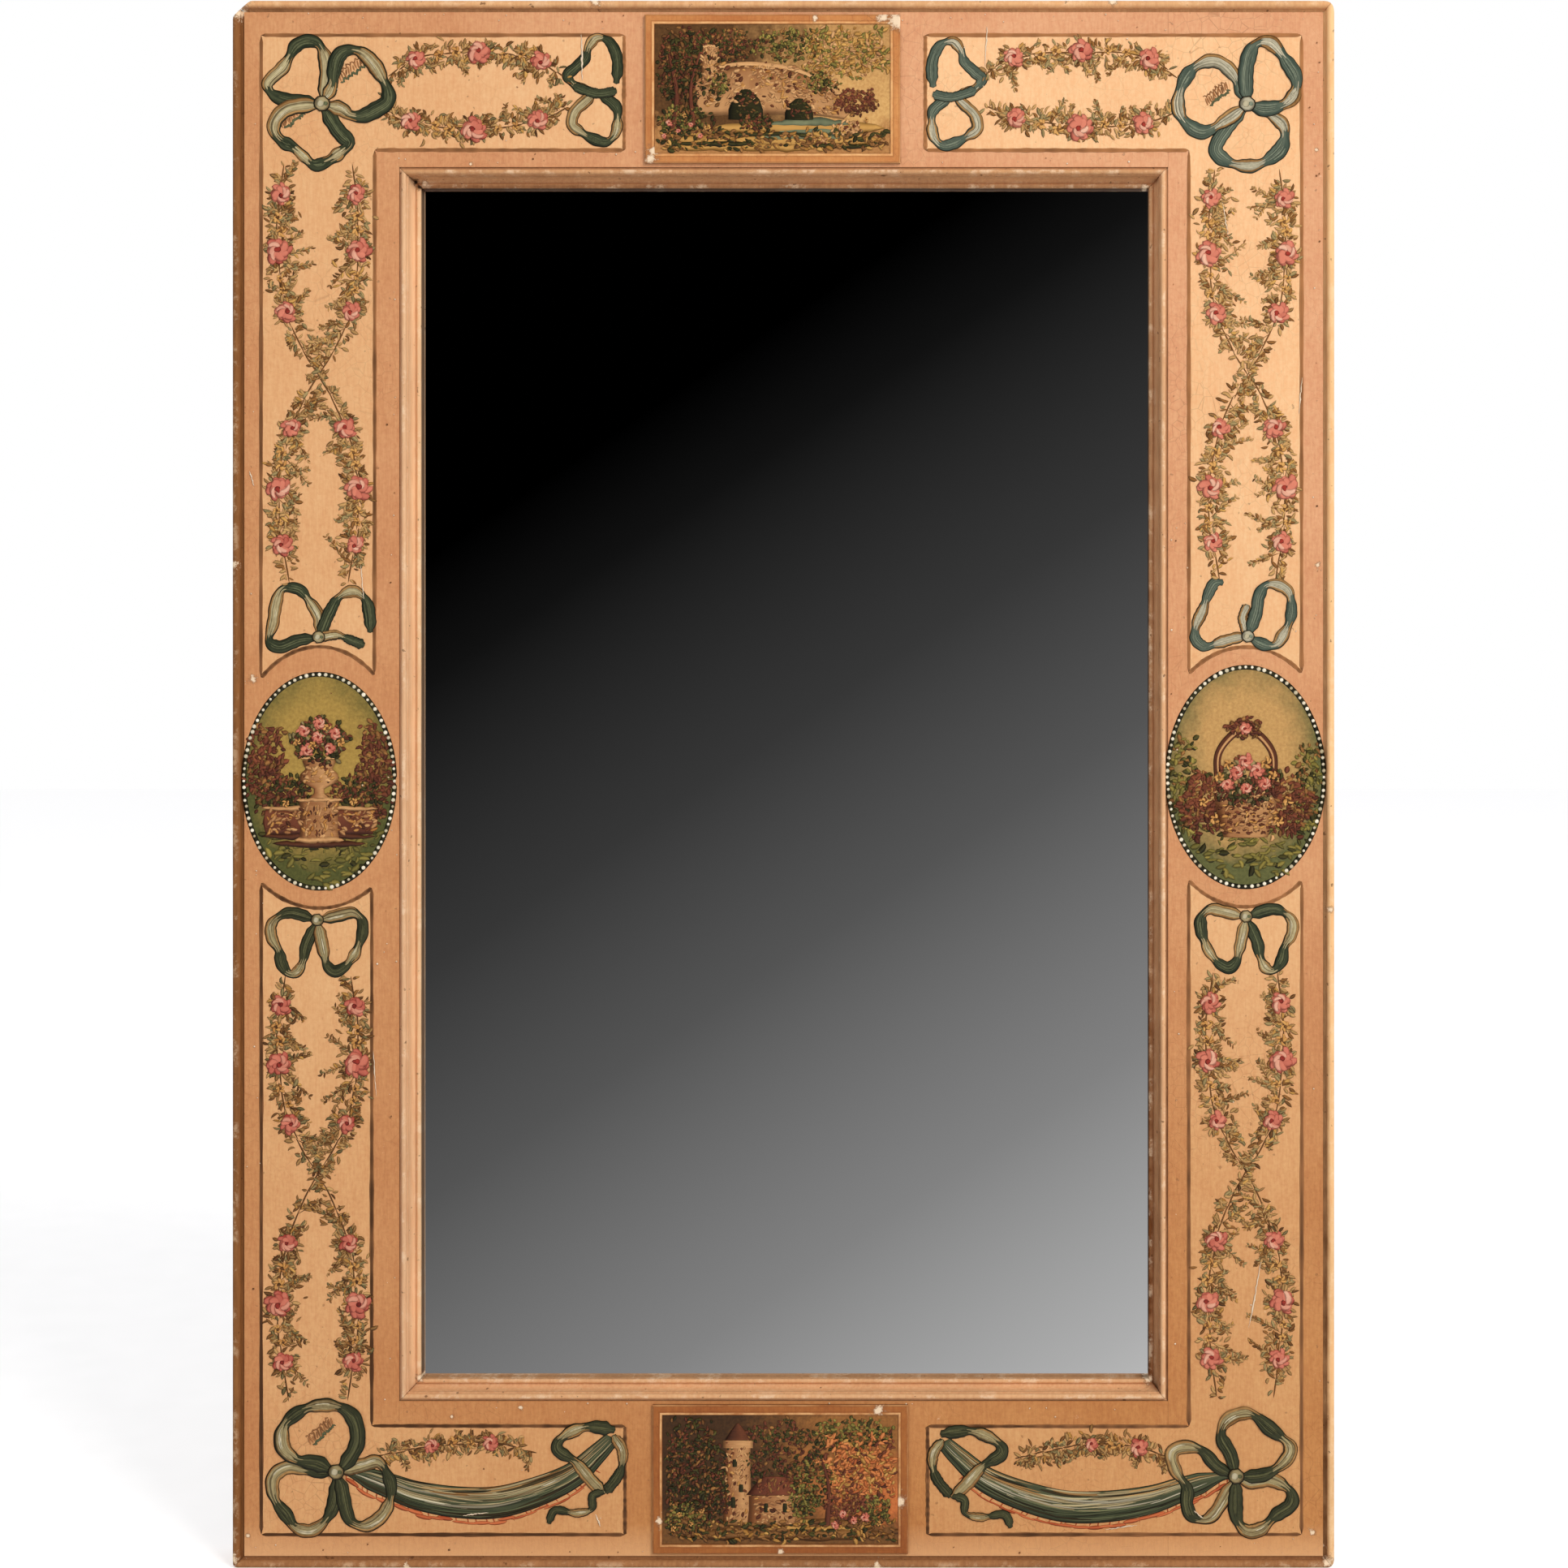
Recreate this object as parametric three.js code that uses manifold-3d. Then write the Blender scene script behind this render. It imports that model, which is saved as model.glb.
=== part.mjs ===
// Trumeau mirror: a flat painted frame of four half-lapped boards, edged outside and inside
// with mitred mouldings, that holds a mirror plate in a rebate and hangs on two rings.
// Millimetres. X runs to the viewer's right, Z up, and the front faces -Y.
// The origin is the middle of the frame's bottom edge, halfway through its depth.
import * as THREE from 'three';
import { mergeVertices } from 'three/addons/utils/BufferGeometryUtils.js';
import Module from 'manifold-3d';

const wasm = await Module();
wasm.setup();

// ---------------------------------------------------------------- driving dimensions

// Whole frame
const WIDTH = 703;
const HEIGHT = 1000;
const WALL_GAP = 2.9; // from the back boards to the wall

// Wear on the frame's outer corners: three are rounded, and the top left one is knocked off
const TOP_RIGHT_ROUND = 7.5;
const BOTTOM_LEFT_ROUND = 4.5;
const BOTTOM_RIGHT_ROUND = 6;
const TOP_LEFT_LOSS_ACROSS = 12;
const TOP_LEFT_LOSS_DOWN = 11;

// Edge moulding, round the outside: a half-round bead beside a narrow quirk
const BEAD_WIDTH = 5;
const BEAD_RISE = 3; // from the painted face to the bead's crown
const EDGE_QUIRK_WIDTH = 2;
const EDGE_QUIRK_DEPTH = 1.2;

// Stiles and rails
const FACE_WIDTH = 99; // the board's face between the two mouldings
const BOARD_THICKNESS = 24;
const LAP_THICKNESS = 12; // the front cheek, which the stiles keep

// Sight moulding, round the glass, from the boards inwards: quirk, bead, fillet, cove and lip
const SIGHT_QUIRK_WIDTH = 1.6;
const SIGHT_QUIRK_DEPTH = 1;
const SIGHT_BEAD_RADIUS = 1.6;
const SIGHT_BEAD_RISE = 2.2;
const SIGHT_FILLET = 0.8;
const COVE_WIDTH = 3.4;
const COVE_DEPTH = 8;
const LIP_RADIUS = 1.5;
const LIP_RISE = 1.9; // the lip's crown above the cove's floor
const SIGHT_THICKNESS_AT_LIP = 4.9; // from the cove's floor to the glass

// Mirror plate and the blocks that hold it in its rebate
const GLASS_THICKNESS = 4;
const GLASS_BEVEL = 0.8;
const BLOCK_LENGTH = 60;
const BLOCK_REACH = 10; // over the back of the glass
const BLOCK_CHAMFER = 0.45; // share of a block's depth
const BLOCK_INSET = 110; // from a corner of the boards' opening to a block's middle

// Back boards, upright and shiplapped
const BACK_COUNT = 3;
const BACK_THICKNESS = 8;
const BACK_OVERLAP = 18; // onto the stiles and rails
const SHIPLAP = 9;
const BACK_BEVEL = 2;

// Picture plaques, glued on the middles of the rails
const PLAQUE_WIDTH = 163;
const PLAQUE_MARGIN = 2; // above and below, to the edges of the rail's face
const PLAQUE_THICKNESS = 2.4;
const PLAQUE_BEVEL = 0.7;
const PLAQUE_BORDER = 6.2;
const PLAQUE_SINK = 0.6; // the picture below its border
const PLAQUE_TOP_SHIFT = -7; // sideways from the frame's middle
const PLAQUE_BOTTOM_SHIFT = -2;

// Hangers: a screwed strap, rolled at its top round the bar of a loose ring
const HANGER_DROP = 165; // of the ring's axis below the top edge
const STRAP_WIDTH = 12;
const STRAP_LENGTH = 44;
const STRAP_THICKNESS = 1.2;
const STRAP_HOLE_TOP = 8; // below the ring's axis
const STRAP_HOLE_BOTTOM = 33;
const CURL_END = THREE.MathUtils.degToRad(-110); // where the rolled end stops
const WIRE_RADIUS = 1.5;
const RING_SIDE_PLAY = 1; // of the ring's bar beyond each side of the strap
const RING_DROP = 18; // from its axis to the bottom of its bow
const RING_BEND = 3;

// Fastenings
const SCREW_LENGTH = 16;
const SCREW_RADIUS = 1.5;
const SCREW_HEAD_RADIUS = 3;
const SCREW_SLOT_WIDTH = 0.8;
const SCREW_SLOT_DEPTH = 0.6;
const NAIL_LENGTH = 20;
const NAIL_RADIUS = 1;
const NAIL_HEAD_RADIUS = 2.6;
const NAIL_HEAD_RISE = 1.1;
const NAIL_INSET = 9; // from the ends of a back board
const NAIL_SPREAD = 52; // to each side of a back board's middle
const PEG_RADIUS = 4;
const PEG_COVER = 4; // of board left in front of a peg
const PEG_CHAMFER = 0.6;
const PEG_SPREAD = 21; // to each side of a corner's middle, across and up

// Clearances
const GLUE_LINE = 0.1; // between faces that are glued or nailed flat
const MITRE_GAP = 0.3; // the open mitres of an old frame
const FIT = 0.3; // round pegs, screws and nails, and between a ring and its strap
const GLASS_SIDE_GAP = 1.5; // round the plate's edges
const GLASS_FACE_GAP = 0.3; // in front of the plate and behind it

// Facets
const ARC_STEPS = 8;
const FASTENING_SIDES = 12;
const WIRE_SIDES = 10;
const RING_STEPS = 44;

// ---------------------------------------------------------------- worked-out places

const EDGE_WIDTH = BEAD_WIDTH + EDGE_QUIRK_WIDTH;
const SIGHT_WIDTH =
  SIGHT_QUIRK_WIDTH + 2 * SIGHT_BEAD_RADIUS + SIGHT_FILLET + COVE_WIDTH + 2 * LIP_RADIUS;
const BACK_RECESS = GLUE_LINE + BACK_THICKNESS + WALL_GAP; // from the boards' backs to the wall
const DEPTH = BEAD_RISE + BOARD_THICKNESS + BACK_RECESS;

const HALF_WIDTH = WIDTH / 2;
const HALF_HEIGHT = HEIGHT / 2;
const BOARD_INNER = EDGE_WIDTH + FACE_WIDTH; // the boards' inner edges, from the frame's outside
const OPENING_HALF_WIDTH = HALF_WIDTH - BOARD_INNER;
const OPENING_HALF_HEIGHT = HALF_HEIGHT - BOARD_INNER;

const WALL_Y = DEPTH / 2;
const FACE_Y = BEAD_RISE - DEPTH / 2; // the painted face
const LAP_Y = FACE_Y + LAP_THICKNESS;
const BOARD_BACK_Y = FACE_Y + BOARD_THICKNESS;
const COVE_FLOOR = SIGHT_FILLET + COVE_DEPTH; // below the painted face
const SIGHT_BACK_Y = FACE_Y + COVE_FLOOR + SIGHT_THICKNESS_AT_LIP;
const GLASS_FRONT_Y = SIGHT_BACK_Y + GLASS_FACE_GAP;
const GLASS_BACK_Y = GLASS_FRONT_Y + GLASS_THICKNESS;
const BACK_FRONT_Y = BOARD_BACK_Y + GLUE_LINE;
const BACK_BACK_Y = BACK_FRONT_Y + BACK_THICKNESS;

const PLAQUE_HEIGHT = FACE_WIDTH - 2 * PLAQUE_MARGIN;
const PEG_LENGTH = BOARD_THICKNESS - PEG_COVER;

const CURL_INNER = WIRE_RADIUS + FIT;
const CURL_OUTER = CURL_INNER + STRAP_THICKNESS;
const STRAP_Y = BOARD_BACK_Y + GLUE_LINE;
const RING_AXIS_Y = STRAP_Y + CURL_OUTER;
const RING_HALF_WIDTH = STRAP_WIDTH / 2 + RING_SIDE_PLAY + RING_BEND;
const HANGER_X = HALF_WIDTH - EDGE_WIDTH - FACE_WIDTH / 2;
const HANGER_HEIGHT = HEIGHT - HANGER_DROP;

// The frame's four sides, as quarter turns of the left one about the frame's middle
const SIDES = [
  { name: 'left', turn: 0, halfAcross: HALF_WIDTH, halfAlong: HALF_HEIGHT },
  { name: 'top', turn: 1, halfAcross: HALF_HEIGHT, halfAlong: HALF_WIDTH },
  { name: 'right', turn: 2, halfAcross: HALF_WIDTH, halfAlong: HALF_HEIGHT },
  { name: 'bottom', turn: 3, halfAcross: HALF_HEIGHT, halfAlong: HALF_WIDTH },
];

// ---------------------------------------------------------------- finishes

const FINISHES = {
  paintedBoard: { color: 0xdba077, roughness: 0.62, metalness: 0 },
  paintedMoulding: { color: 0xc98f5f, roughness: 0.58, metalness: 0 },
  paintedPlaque: { color: 0xcf8540, roughness: 0.55, metalness: 0 },
  mirror: { color: 0xd8dcdc, roughness: 0.02, metalness: 1 },
  oldPine: { color: 0x8a6238, roughness: 0.85, metalness: 0 },
  darkIron: { color: 0x3a3531, roughness: 0.6, metalness: 0.9 },
  brass: { color: 0xa58546, roughness: 0.4, metalness: 1 },
};

const frame = new THREE.Group();

// One named piece with a material of its own.
function addPiece(name, geometry, finish) {
  const piece = new THREE.Mesh(geometry, new THREE.MeshStandardMaterial(FINISHES[finish]));
  piece.name = name;
  frame.add(piece);
  return piece;
}

// ---------------------------------------------------------------- shaping helpers

function extruded(shape, length, bevel = {}) {
  return new THREE.ExtrudeGeometry(shape, {
    depth: length,
    bevelEnabled: false,
    curveSegments: ARC_STEPS,
    ...bevel,
  });
}

// A shape drawn in Y and Z, run along X from one place to another.
function alongX(shape, from, to) {
  const turned = new THREE.Matrix4().set(0, 0, 1, from, 1, 0, 0, 0, 0, 1, 0, 0, 0, 0, 0, 1);
  return extruded(shape, to - from).applyMatrix4(turned);
}

// Turns what was drawn in X and Z, as seen from the front, and run towards the viewer, so that
// it starts at a place on Y.
function facingFront(back) {
  return new THREE.Matrix4().set(1, 0, 0, 0, 0, 0, -1, back, 0, 1, 0, 0, 0, 0, 0, 1);
}

// A shape drawn in X and Z, run along Y.
function alongY(shape, from, to) {
  return extruded(shape, to - from).applyMatrix4(facingFront(to));
}

// The same, with a chamfer outside the shape round its front and back edges.
function chamferedAlongY(shape, from, to, chamfer) {
  const bevel = { bevelEnabled: true, bevelSegments: 1, bevelSize: chamfer, bevelThickness: chamfer };
  return extruded(shape, to - from - 2 * chamfer, bevel).applyMatrix4(facingFront(to - chamfer));
}

// A rectangle about a middle point.
function rectangle(x, y, halfX, halfY) {
  return polygon([
    [x - halfX, y - halfY],
    [x + halfX, y - halfY],
    [x + halfX, y + halfY],
    [x - halfX, y + halfY],
  ]);
}

// A shape drawn in X and Y, run along Z.
function alongZ(shape, from, to) {
  return extruded(shape, to - from).translate(0, 0, from);
}

function polygon(points) {
  return new THREE.Shape(points.map(([x, y]) => new THREE.Vector2(x, y)));
}

// The frame's outline as it has worn, in X and Z.
function wornOutline() {
  const shape = new THREE.Shape();
  const quarter = Math.PI / 2;
  const worn = (right, top, radius, turns) => {
    const x = right ? HALF_WIDTH - radius : radius - HALF_WIDTH;
    const z = top ? HEIGHT - radius : radius;
    shape.absarc(x, z, radius, turns * quarter, (turns + 1) * quarter);
  };
  worn(true, true, TOP_RIGHT_ROUND, 0);
  shape.lineTo(TOP_LEFT_LOSS_ACROSS - HALF_WIDTH, HEIGHT);
  shape.lineTo(-HALF_WIDTH, HEIGHT - TOP_LEFT_LOSS_DOWN);
  worn(false, false, BOTTOM_LEFT_ROUND, 2);
  worn(true, false, BOTTOM_RIGHT_ROUND, 3);
  return shape;
}

// A profile of [radius, depth] points turned about a line through (x, z) that runs along Y.
function turnedAlongY(profile, x, z, sides = FASTENING_SIDES) {
  const points = profile.map(([radius, y]) => new THREE.Vector2(radius, y));
  return new THREE.LatheGeometry(points, sides).translate(x, 0, z);
}

// A quarter-turn matrix about Y, exact because its numbers are whole.
function quarterTurn(turn) {
  const cos = [1, 0, -1, 0][turn];
  const sin = [0, 1, 0, -1][turn];
  return new THREE.Matrix4().set(cos, 0, sin, 0, 0, 1, 0, 0, -sin, 0, cos, 0, 0, 0, 0, 1);
}

// A bar along one side of a rectangle, mitred at both ends. The section's x is the distance
// inwards from the rectangle's edge, and its y is the depth.
function mitredBar(section, halfAcross, halfAlong, turn) {
  const bar = extruded(section, 1);
  const place = bar.attributes.position;
  for (let i = 0; i < place.count; i++) {
    const inwards = place.getX(i);
    const end = halfAlong - inwards - MITRE_GAP / 2;
    place.setX(i, inwards - halfAcross);
    place.setZ(i, place.getZ(i) > 0.5 ? end : -end);
  }
  return bar.applyMatrix4(quarterTurn(turn)).translate(0, 0, HALF_HEIGHT);
}

// ---------------------------------------------------------------- solids for cutting

function toSolid(geometry) {
  const bare = geometry.clone();
  bare.deleteAttribute('normal');
  bare.deleteAttribute('uv');
  const merged = mergeVertices(bare, 1e-4);
  return new wasm.Manifold(
    new wasm.Mesh({
      numProp: 3,
      vertProperties: merged.attributes.position.array,
      triVerts: new Uint32Array(merged.index.array),
    }),
  );
}

function toGeometry(solid) {
  const mesh = solid.getMesh();
  const geometry = new THREE.BufferGeometry();
  geometry.setAttribute('position', new THREE.BufferAttribute(mesh.vertProperties, 3));
  geometry.setIndex(new THREE.BufferAttribute(mesh.triVerts, 1));
  geometry.computeVertexNormals();
  return geometry;
}

function withCuts(geometry, cutters) {
  return toGeometry(cutters.reduce((left, cut) => left.subtract(toSolid(cut)), toSolid(geometry)));
}

function common(first, second) {
  return toGeometry(toSolid(first).intersect(toSolid(second)));
}

// ---------------------------------------------------------------- fastenings

// Each fastening is a profile turned about Y, from its point to its head. The same values,
// grown by a clearance, cut the hole that it sits in.

function screwShank(grow) {
  const head = STRAP_Y + STRAP_THICKNESS - GLUE_LINE;
  const tip = head - SCREW_LENGTH;
  return [
    [0, tip - grow],
    [SCREW_RADIUS + grow, tip + 2 * SCREW_RADIUS],
    [SCREW_RADIUS + grow, head - (SCREW_HEAD_RADIUS - SCREW_RADIUS)],
    [SCREW_HEAD_RADIUS + grow, head],
  ];
}

function screwProfile() {
  return [...screwShank(0), [0, STRAP_Y + STRAP_THICKNESS - GLUE_LINE]];
}

function screwHole() {
  const clear = STRAP_Y + 2 * STRAP_THICKNESS;
  return [...screwShank(FIT), [SCREW_HEAD_RADIUS + FIT, clear], [0, clear]];
}

function nailShank(grow) {
  const tip = BACK_BACK_Y - NAIL_LENGTH;
  return [
    [0, tip - grow],
    [NAIL_RADIUS + grow, tip + 2 * NAIL_RADIUS],
    [NAIL_RADIUS + grow, BACK_BACK_Y + GLUE_LINE],
  ];
}

function nailProfile() {
  return [
    ...nailShank(0),
    [NAIL_HEAD_RADIUS, BACK_BACK_Y + GLUE_LINE],
    [NAIL_HEAD_RADIUS * 0.7, BACK_BACK_Y + NAIL_HEAD_RISE * 0.8],
    [0, BACK_BACK_Y + NAIL_HEAD_RISE],
  ];
}

function nailHole() {
  return [...nailShank(FIT), [0, BACK_BACK_Y + GLUE_LINE]];
}

function pegProfile() {
  const end = BOARD_BACK_Y - PEG_LENGTH;
  return [
    [0, end],
    [PEG_RADIUS - PEG_CHAMFER, end],
    [PEG_RADIUS, end + PEG_CHAMFER],
    [PEG_RADIUS, BOARD_BACK_Y - PEG_CHAMFER],
    [PEG_RADIUS - PEG_CHAMFER, BOARD_BACK_Y],
    [0, BOARD_BACK_Y],
  ];
}

function pegHole() {
  const end = BOARD_BACK_Y - PEG_LENGTH - FIT;
  const mouth = BOARD_BACK_Y + GLUE_LINE;
  return [[0, end], [PEG_RADIUS + FIT, end], [PEG_RADIUS + FIT, mouth], [0, mouth]];
}

// Where each kind goes, as [x, z].

const PEG_PLACES = [-1, 1].flatMap((right) =>
  [-1, 1].flatMap((up) =>
    [-1, 1].map((out) => [
      right * (HALF_WIDTH - EDGE_WIDTH - FACE_WIDTH / 2 + out * PEG_SPREAD),
      HALF_HEIGHT + up * (HALF_HEIGHT - EDGE_WIDTH - FACE_WIDTH / 2 + out * PEG_SPREAD),
    ]),
  ),
);

const BACK_HALF_WIDTH = OPENING_HALF_WIDTH + BACK_OVERLAP;
const BACK_HALF_HEIGHT = OPENING_HALF_HEIGHT + BACK_OVERLAP;
const BACK_PITCH = (2 * BACK_HALF_WIDTH) / BACK_COUNT;

function backMiddle(index) {
  return (index - (BACK_COUNT - 1) / 2) * BACK_PITCH;
}

const NAIL_PLACES = Array.from({ length: BACK_COUNT }, (_, index) =>
  [-1, 1].flatMap((up) =>
    [-1, 1].map((right) => [
      backMiddle(index) + right * NAIL_SPREAD,
      HALF_HEIGHT + up * (BACK_HALF_HEIGHT - NAIL_INSET),
    ]),
  ),
);

const SCREW_HEIGHTS = { upper: HANGER_HEIGHT - STRAP_HOLE_TOP, lower: HANGER_HEIGHT - STRAP_HOLE_BOTTOM };

// ---------------------------------------------------------------- boards

function holesAt(places, profile) {
  return places.map(([x, z]) => turnedAlongY(profile, x, z));
}

// A stile keeps its front cheek at the corners, and its full thickness between the rails.
function makeStile(name, side) {
  const bottom = EDGE_WIDTH + GLUE_LINE;
  const top = HEIGHT - EDGE_WIDTH - GLUE_LINE;
  const shoulder = FACE_WIDTH + GLUE_LINE;
  const profile = polygon([
    [FACE_Y, bottom],
    [LAP_Y, bottom],
    [LAP_Y, bottom + shoulder],
    [BOARD_BACK_Y, bottom + shoulder],
    [BOARD_BACK_Y, top - shoulder],
    [LAP_Y, top - shoulder],
    [LAP_Y, top],
    [FACE_Y, top],
  ]);
  const outer = side * (HALF_WIDTH - EDGE_WIDTH - GLUE_LINE);
  const inner = side * OPENING_HALF_WIDTH;
  const board = alongX(profile, Math.min(outer, inner), Math.max(outer, inner));
  const screws = Object.values(SCREW_HEIGHTS).map((z) => [side * HANGER_X, z]);
  const pegs = PEG_PLACES.filter(([x]) => x * side > 0);
  addPiece(
    name,
    withCuts(board, [...holesAt(pegs, pegHole()), ...holesAt(screws, screwHole())]),
    'paintedBoard',
  );
}

// A rail keeps its back cheek at the corners, behind the stiles.
function makeRail(name, up) {
  const end = HALF_WIDTH - EDGE_WIDTH - GLUE_LINE;
  const shoulder = OPENING_HALF_WIDTH - GLUE_LINE;
  const cheek = LAP_Y + GLUE_LINE;
  const profile = polygon([
    [-shoulder, FACE_Y],
    [shoulder, FACE_Y],
    [shoulder, cheek],
    [end, cheek],
    [end, BOARD_BACK_Y],
    [-end, BOARD_BACK_Y],
    [-end, cheek],
    [-shoulder, cheek],
  ]);
  const outer = HALF_HEIGHT + up * (HALF_HEIGHT - EDGE_WIDTH - GLUE_LINE);
  const inner = HALF_HEIGHT + up * OPENING_HALF_HEIGHT;
  const board = alongZ(profile, Math.min(outer, inner), Math.max(outer, inner));
  const pegs = PEG_PLACES.filter(([, z]) => (z - HALF_HEIGHT) * up > 0);
  const nails = NAIL_PLACES.flat().filter(([, z]) => (z - HALF_HEIGHT) * up > 0);
  addPiece(
    name,
    withCuts(board, [...holesAt(pegs, pegHole()), ...holesAt(nails, nailHole())]),
    'paintedBoard',
  );
}

// ---------------------------------------------------------------- mouldings

// Bead, quirk, and the deep back part that covers the boards' edges and stands off the wall.
function edgeSection() {
  const radius = BEAD_WIDTH / 2;
  const spring = FACE_Y - BEAD_RISE + radius; // where the bead's round starts
  const quirk = FACE_Y + EDGE_QUIRK_DEPTH;
  const section = new THREE.Shape();
  section.moveTo(0, WALL_Y);
  section.lineTo(0, spring);
  section.absarc(radius, spring, radius, Math.PI, 2 * Math.PI);
  section.lineTo(BEAD_WIDTH, quirk);
  section.lineTo(EDGE_WIDTH, quirk);
  section.lineTo(EDGE_WIDTH, WALL_Y);
  return section;
}

// Quirk, bead and fillet, then a cove that falls to a rounded lip over the glass.
function sightSection() {
  const beadSpring = FACE_Y - SIGHT_BEAD_RISE + SIGHT_BEAD_RADIUS;
  const beadEnd = SIGHT_QUIRK_WIDTH + 2 * SIGHT_BEAD_RADIUS;
  const coveStart = beadEnd + SIGHT_FILLET;
  const coveEnd = coveStart + COVE_WIDTH;
  const floor = FACE_Y + COVE_FLOOR;
  const lipSpring = floor - LIP_RISE + LIP_RADIUS;
  const section = new THREE.Shape();
  section.moveTo(GLUE_LINE, FACE_Y + SIGHT_QUIRK_DEPTH);
  section.lineTo(SIGHT_QUIRK_WIDTH, FACE_Y + SIGHT_QUIRK_DEPTH);
  section.lineTo(SIGHT_QUIRK_WIDTH, beadSpring);
  section.absarc(beadEnd - SIGHT_BEAD_RADIUS, beadSpring, SIGHT_BEAD_RADIUS, Math.PI, 2 * Math.PI);
  section.lineTo(beadEnd, FACE_Y + SIGHT_FILLET);
  section.lineTo(coveStart, FACE_Y + SIGHT_FILLET);
  section.absellipse(coveEnd, floor - COVE_DEPTH, COVE_WIDTH, COVE_DEPTH, Math.PI, Math.PI / 2, true);
  section.lineTo(coveEnd, lipSpring);
  section.absarc(SIGHT_WIDTH - LIP_RADIUS, lipSpring, LIP_RADIUS, Math.PI, 2 * Math.PI);
  section.lineTo(SIGHT_WIDTH, SIGHT_BACK_Y);
  section.lineTo(GLUE_LINE, SIGHT_BACK_Y);
  return section;
}

function makeMouldings() {
  const wornBlock = alongY(wornOutline(), -DEPTH, DEPTH);
  for (const { name, turn, halfAcross, halfAlong } of SIDES) {
    const edge = mitredBar(edgeSection(), halfAcross, halfAlong, turn);
    addPiece(`edge_moulding_${name}`, common(edge, wornBlock), 'paintedMoulding');
    const sight = mitredBar(sightSection(), halfAcross - BOARD_INNER, halfAlong - BOARD_INNER, turn);
    addPiece(`sight_moulding_${name}`, sight, 'paintedMoulding');
  }
}

// ---------------------------------------------------------------- mirror plate and its blocks

function makeMirrorPlate() {
  const halfWidth = OPENING_HALF_WIDTH - GLASS_SIDE_GAP - GLASS_BEVEL;
  const halfHeight = OPENING_HALF_HEIGHT - GLASS_SIDE_GAP - GLASS_BEVEL;
  const outline = rectangle(0, HALF_HEIGHT, halfWidth, halfHeight);
  const plate = chamferedAlongY(outline, GLASS_FRONT_Y, GLASS_BACK_Y, GLASS_BEVEL);
  addPiece('mirror_plate', plate, 'mirror');
}

// Two blocks on each side, glued to the board's inner edge behind the glass. Drawn for the left
// side as a section in X and Y, then turned to the others.
function makeGlazingBlocks() {
  const front = GLASS_BACK_Y + GLASS_FACE_GAP;
  const back = BOARD_BACK_Y - GLUE_LINE;
  const chamfer = BLOCK_CHAMFER * (back - front);
  for (const { name, turn, halfAcross, halfAlong } of SIDES) {
    const edge = BOARD_INNER + GLUE_LINE - halfAcross;
    const section = polygon([
      [edge, front],
      [edge + BLOCK_REACH, front],
      [edge + BLOCK_REACH, back - chamfer],
      [edge + BLOCK_REACH - chamfer, back],
      [edge, back],
    ]);
    for (const [place, along] of [['first', -1], ['second', 1]]) {
      const middle = along * (halfAlong - BOARD_INNER - BLOCK_INSET);
      const block = alongZ(section, middle - BLOCK_LENGTH / 2, middle + BLOCK_LENGTH / 2);
      block.applyMatrix4(quarterTurn(turn)).translate(0, 0, HALF_HEIGHT);
      addPiece(`glazing_block_${name}_${place}`, block, 'oldPine');
    }
  }
}

// ---------------------------------------------------------------- back boards

// Neighbours share a rebated edge: the left one's rear tongue lies over the right one's.
function backSection(index) {
  const first = index === 0;
  const last = index === BACK_COUNT - 1;
  const left = backMiddle(index) - BACK_PITCH / 2;
  const right = left + BACK_PITCH;
  const step = (BACK_FRONT_Y + BACK_BACK_Y) / 2;
  const leftSide = first
    ? [[left, BACK_BACK_Y - BACK_BEVEL], [left, BACK_FRONT_Y]]
    : [[left + SHIPLAP + FIT, BACK_BACK_Y], [left + SHIPLAP + FIT, step - GLUE_LINE],
       [left + FIT, step - GLUE_LINE], [left + FIT, BACK_FRONT_Y]];
  const rightSide = last
    ? [[right, BACK_FRONT_Y], [right, BACK_BACK_Y - BACK_BEVEL], [right - BACK_BEVEL, BACK_BACK_Y]]
    : [[right, BACK_FRONT_Y], [right, step], [right + SHIPLAP, step], [right + SHIPLAP, BACK_BACK_Y]];
  const corner = first ? [[left + BACK_BEVEL, BACK_BACK_Y]] : [];
  return polygon([...leftSide, ...rightSide, ...corner]);
}

function makeBackBoards() {
  const bottom = HALF_HEIGHT - BACK_HALF_HEIGHT;
  const top = HALF_HEIGHT + BACK_HALF_HEIGHT;
  for (let index = 0; index < BACK_COUNT; index++) {
    const board = alongZ(backSection(index), bottom, top);
    const nails = NAIL_PLACES[index];
    addPiece(`back_board_${index + 1}`, withCuts(board, holesAt(nails, nailHole())), 'oldPine');
    nails.forEach(([x, z], n) => {
      addPiece(`back_nail_${index + 1}_${n + 1}`, turnedAlongY(nailProfile(), x, z), 'darkIron');
    });
  }
}

// ---------------------------------------------------------------- corner pegs

function makeCornerPegs() {
  PEG_PLACES.forEach(([x, z], n) => {
    addPiece(`corner_peg_${n + 1}`, turnedAlongY(pegProfile(), x, z), 'oldPine');
  });
}

// ---------------------------------------------------------------- picture plaques

// A thin board with its front edges bevelled, and a picture field sunk inside its border.
function makePlaque(name, x, z) {
  const back = FACE_Y - GLUE_LINE;
  const front = back - PLAQUE_THICKNESS;
  const field = (inset) => rectangle(x, z, PLAQUE_WIDTH / 2 - inset, PLAQUE_HEIGHT / 2 - inset);
  const board = chamferedAlongY(field(PLAQUE_BEVEL), front, back + PLAQUE_BEVEL, PLAQUE_BEVEL);
  const behind = alongY(field(-PLAQUE_BEVEL), back, back + PLAQUE_THICKNESS);
  const sunk = alongY(field(PLAQUE_BORDER), front - PLAQUE_THICKNESS, front + PLAQUE_SINK);
  addPiece(name, withCuts(board, [behind, sunk]), 'paintedPlaque');
}

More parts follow.
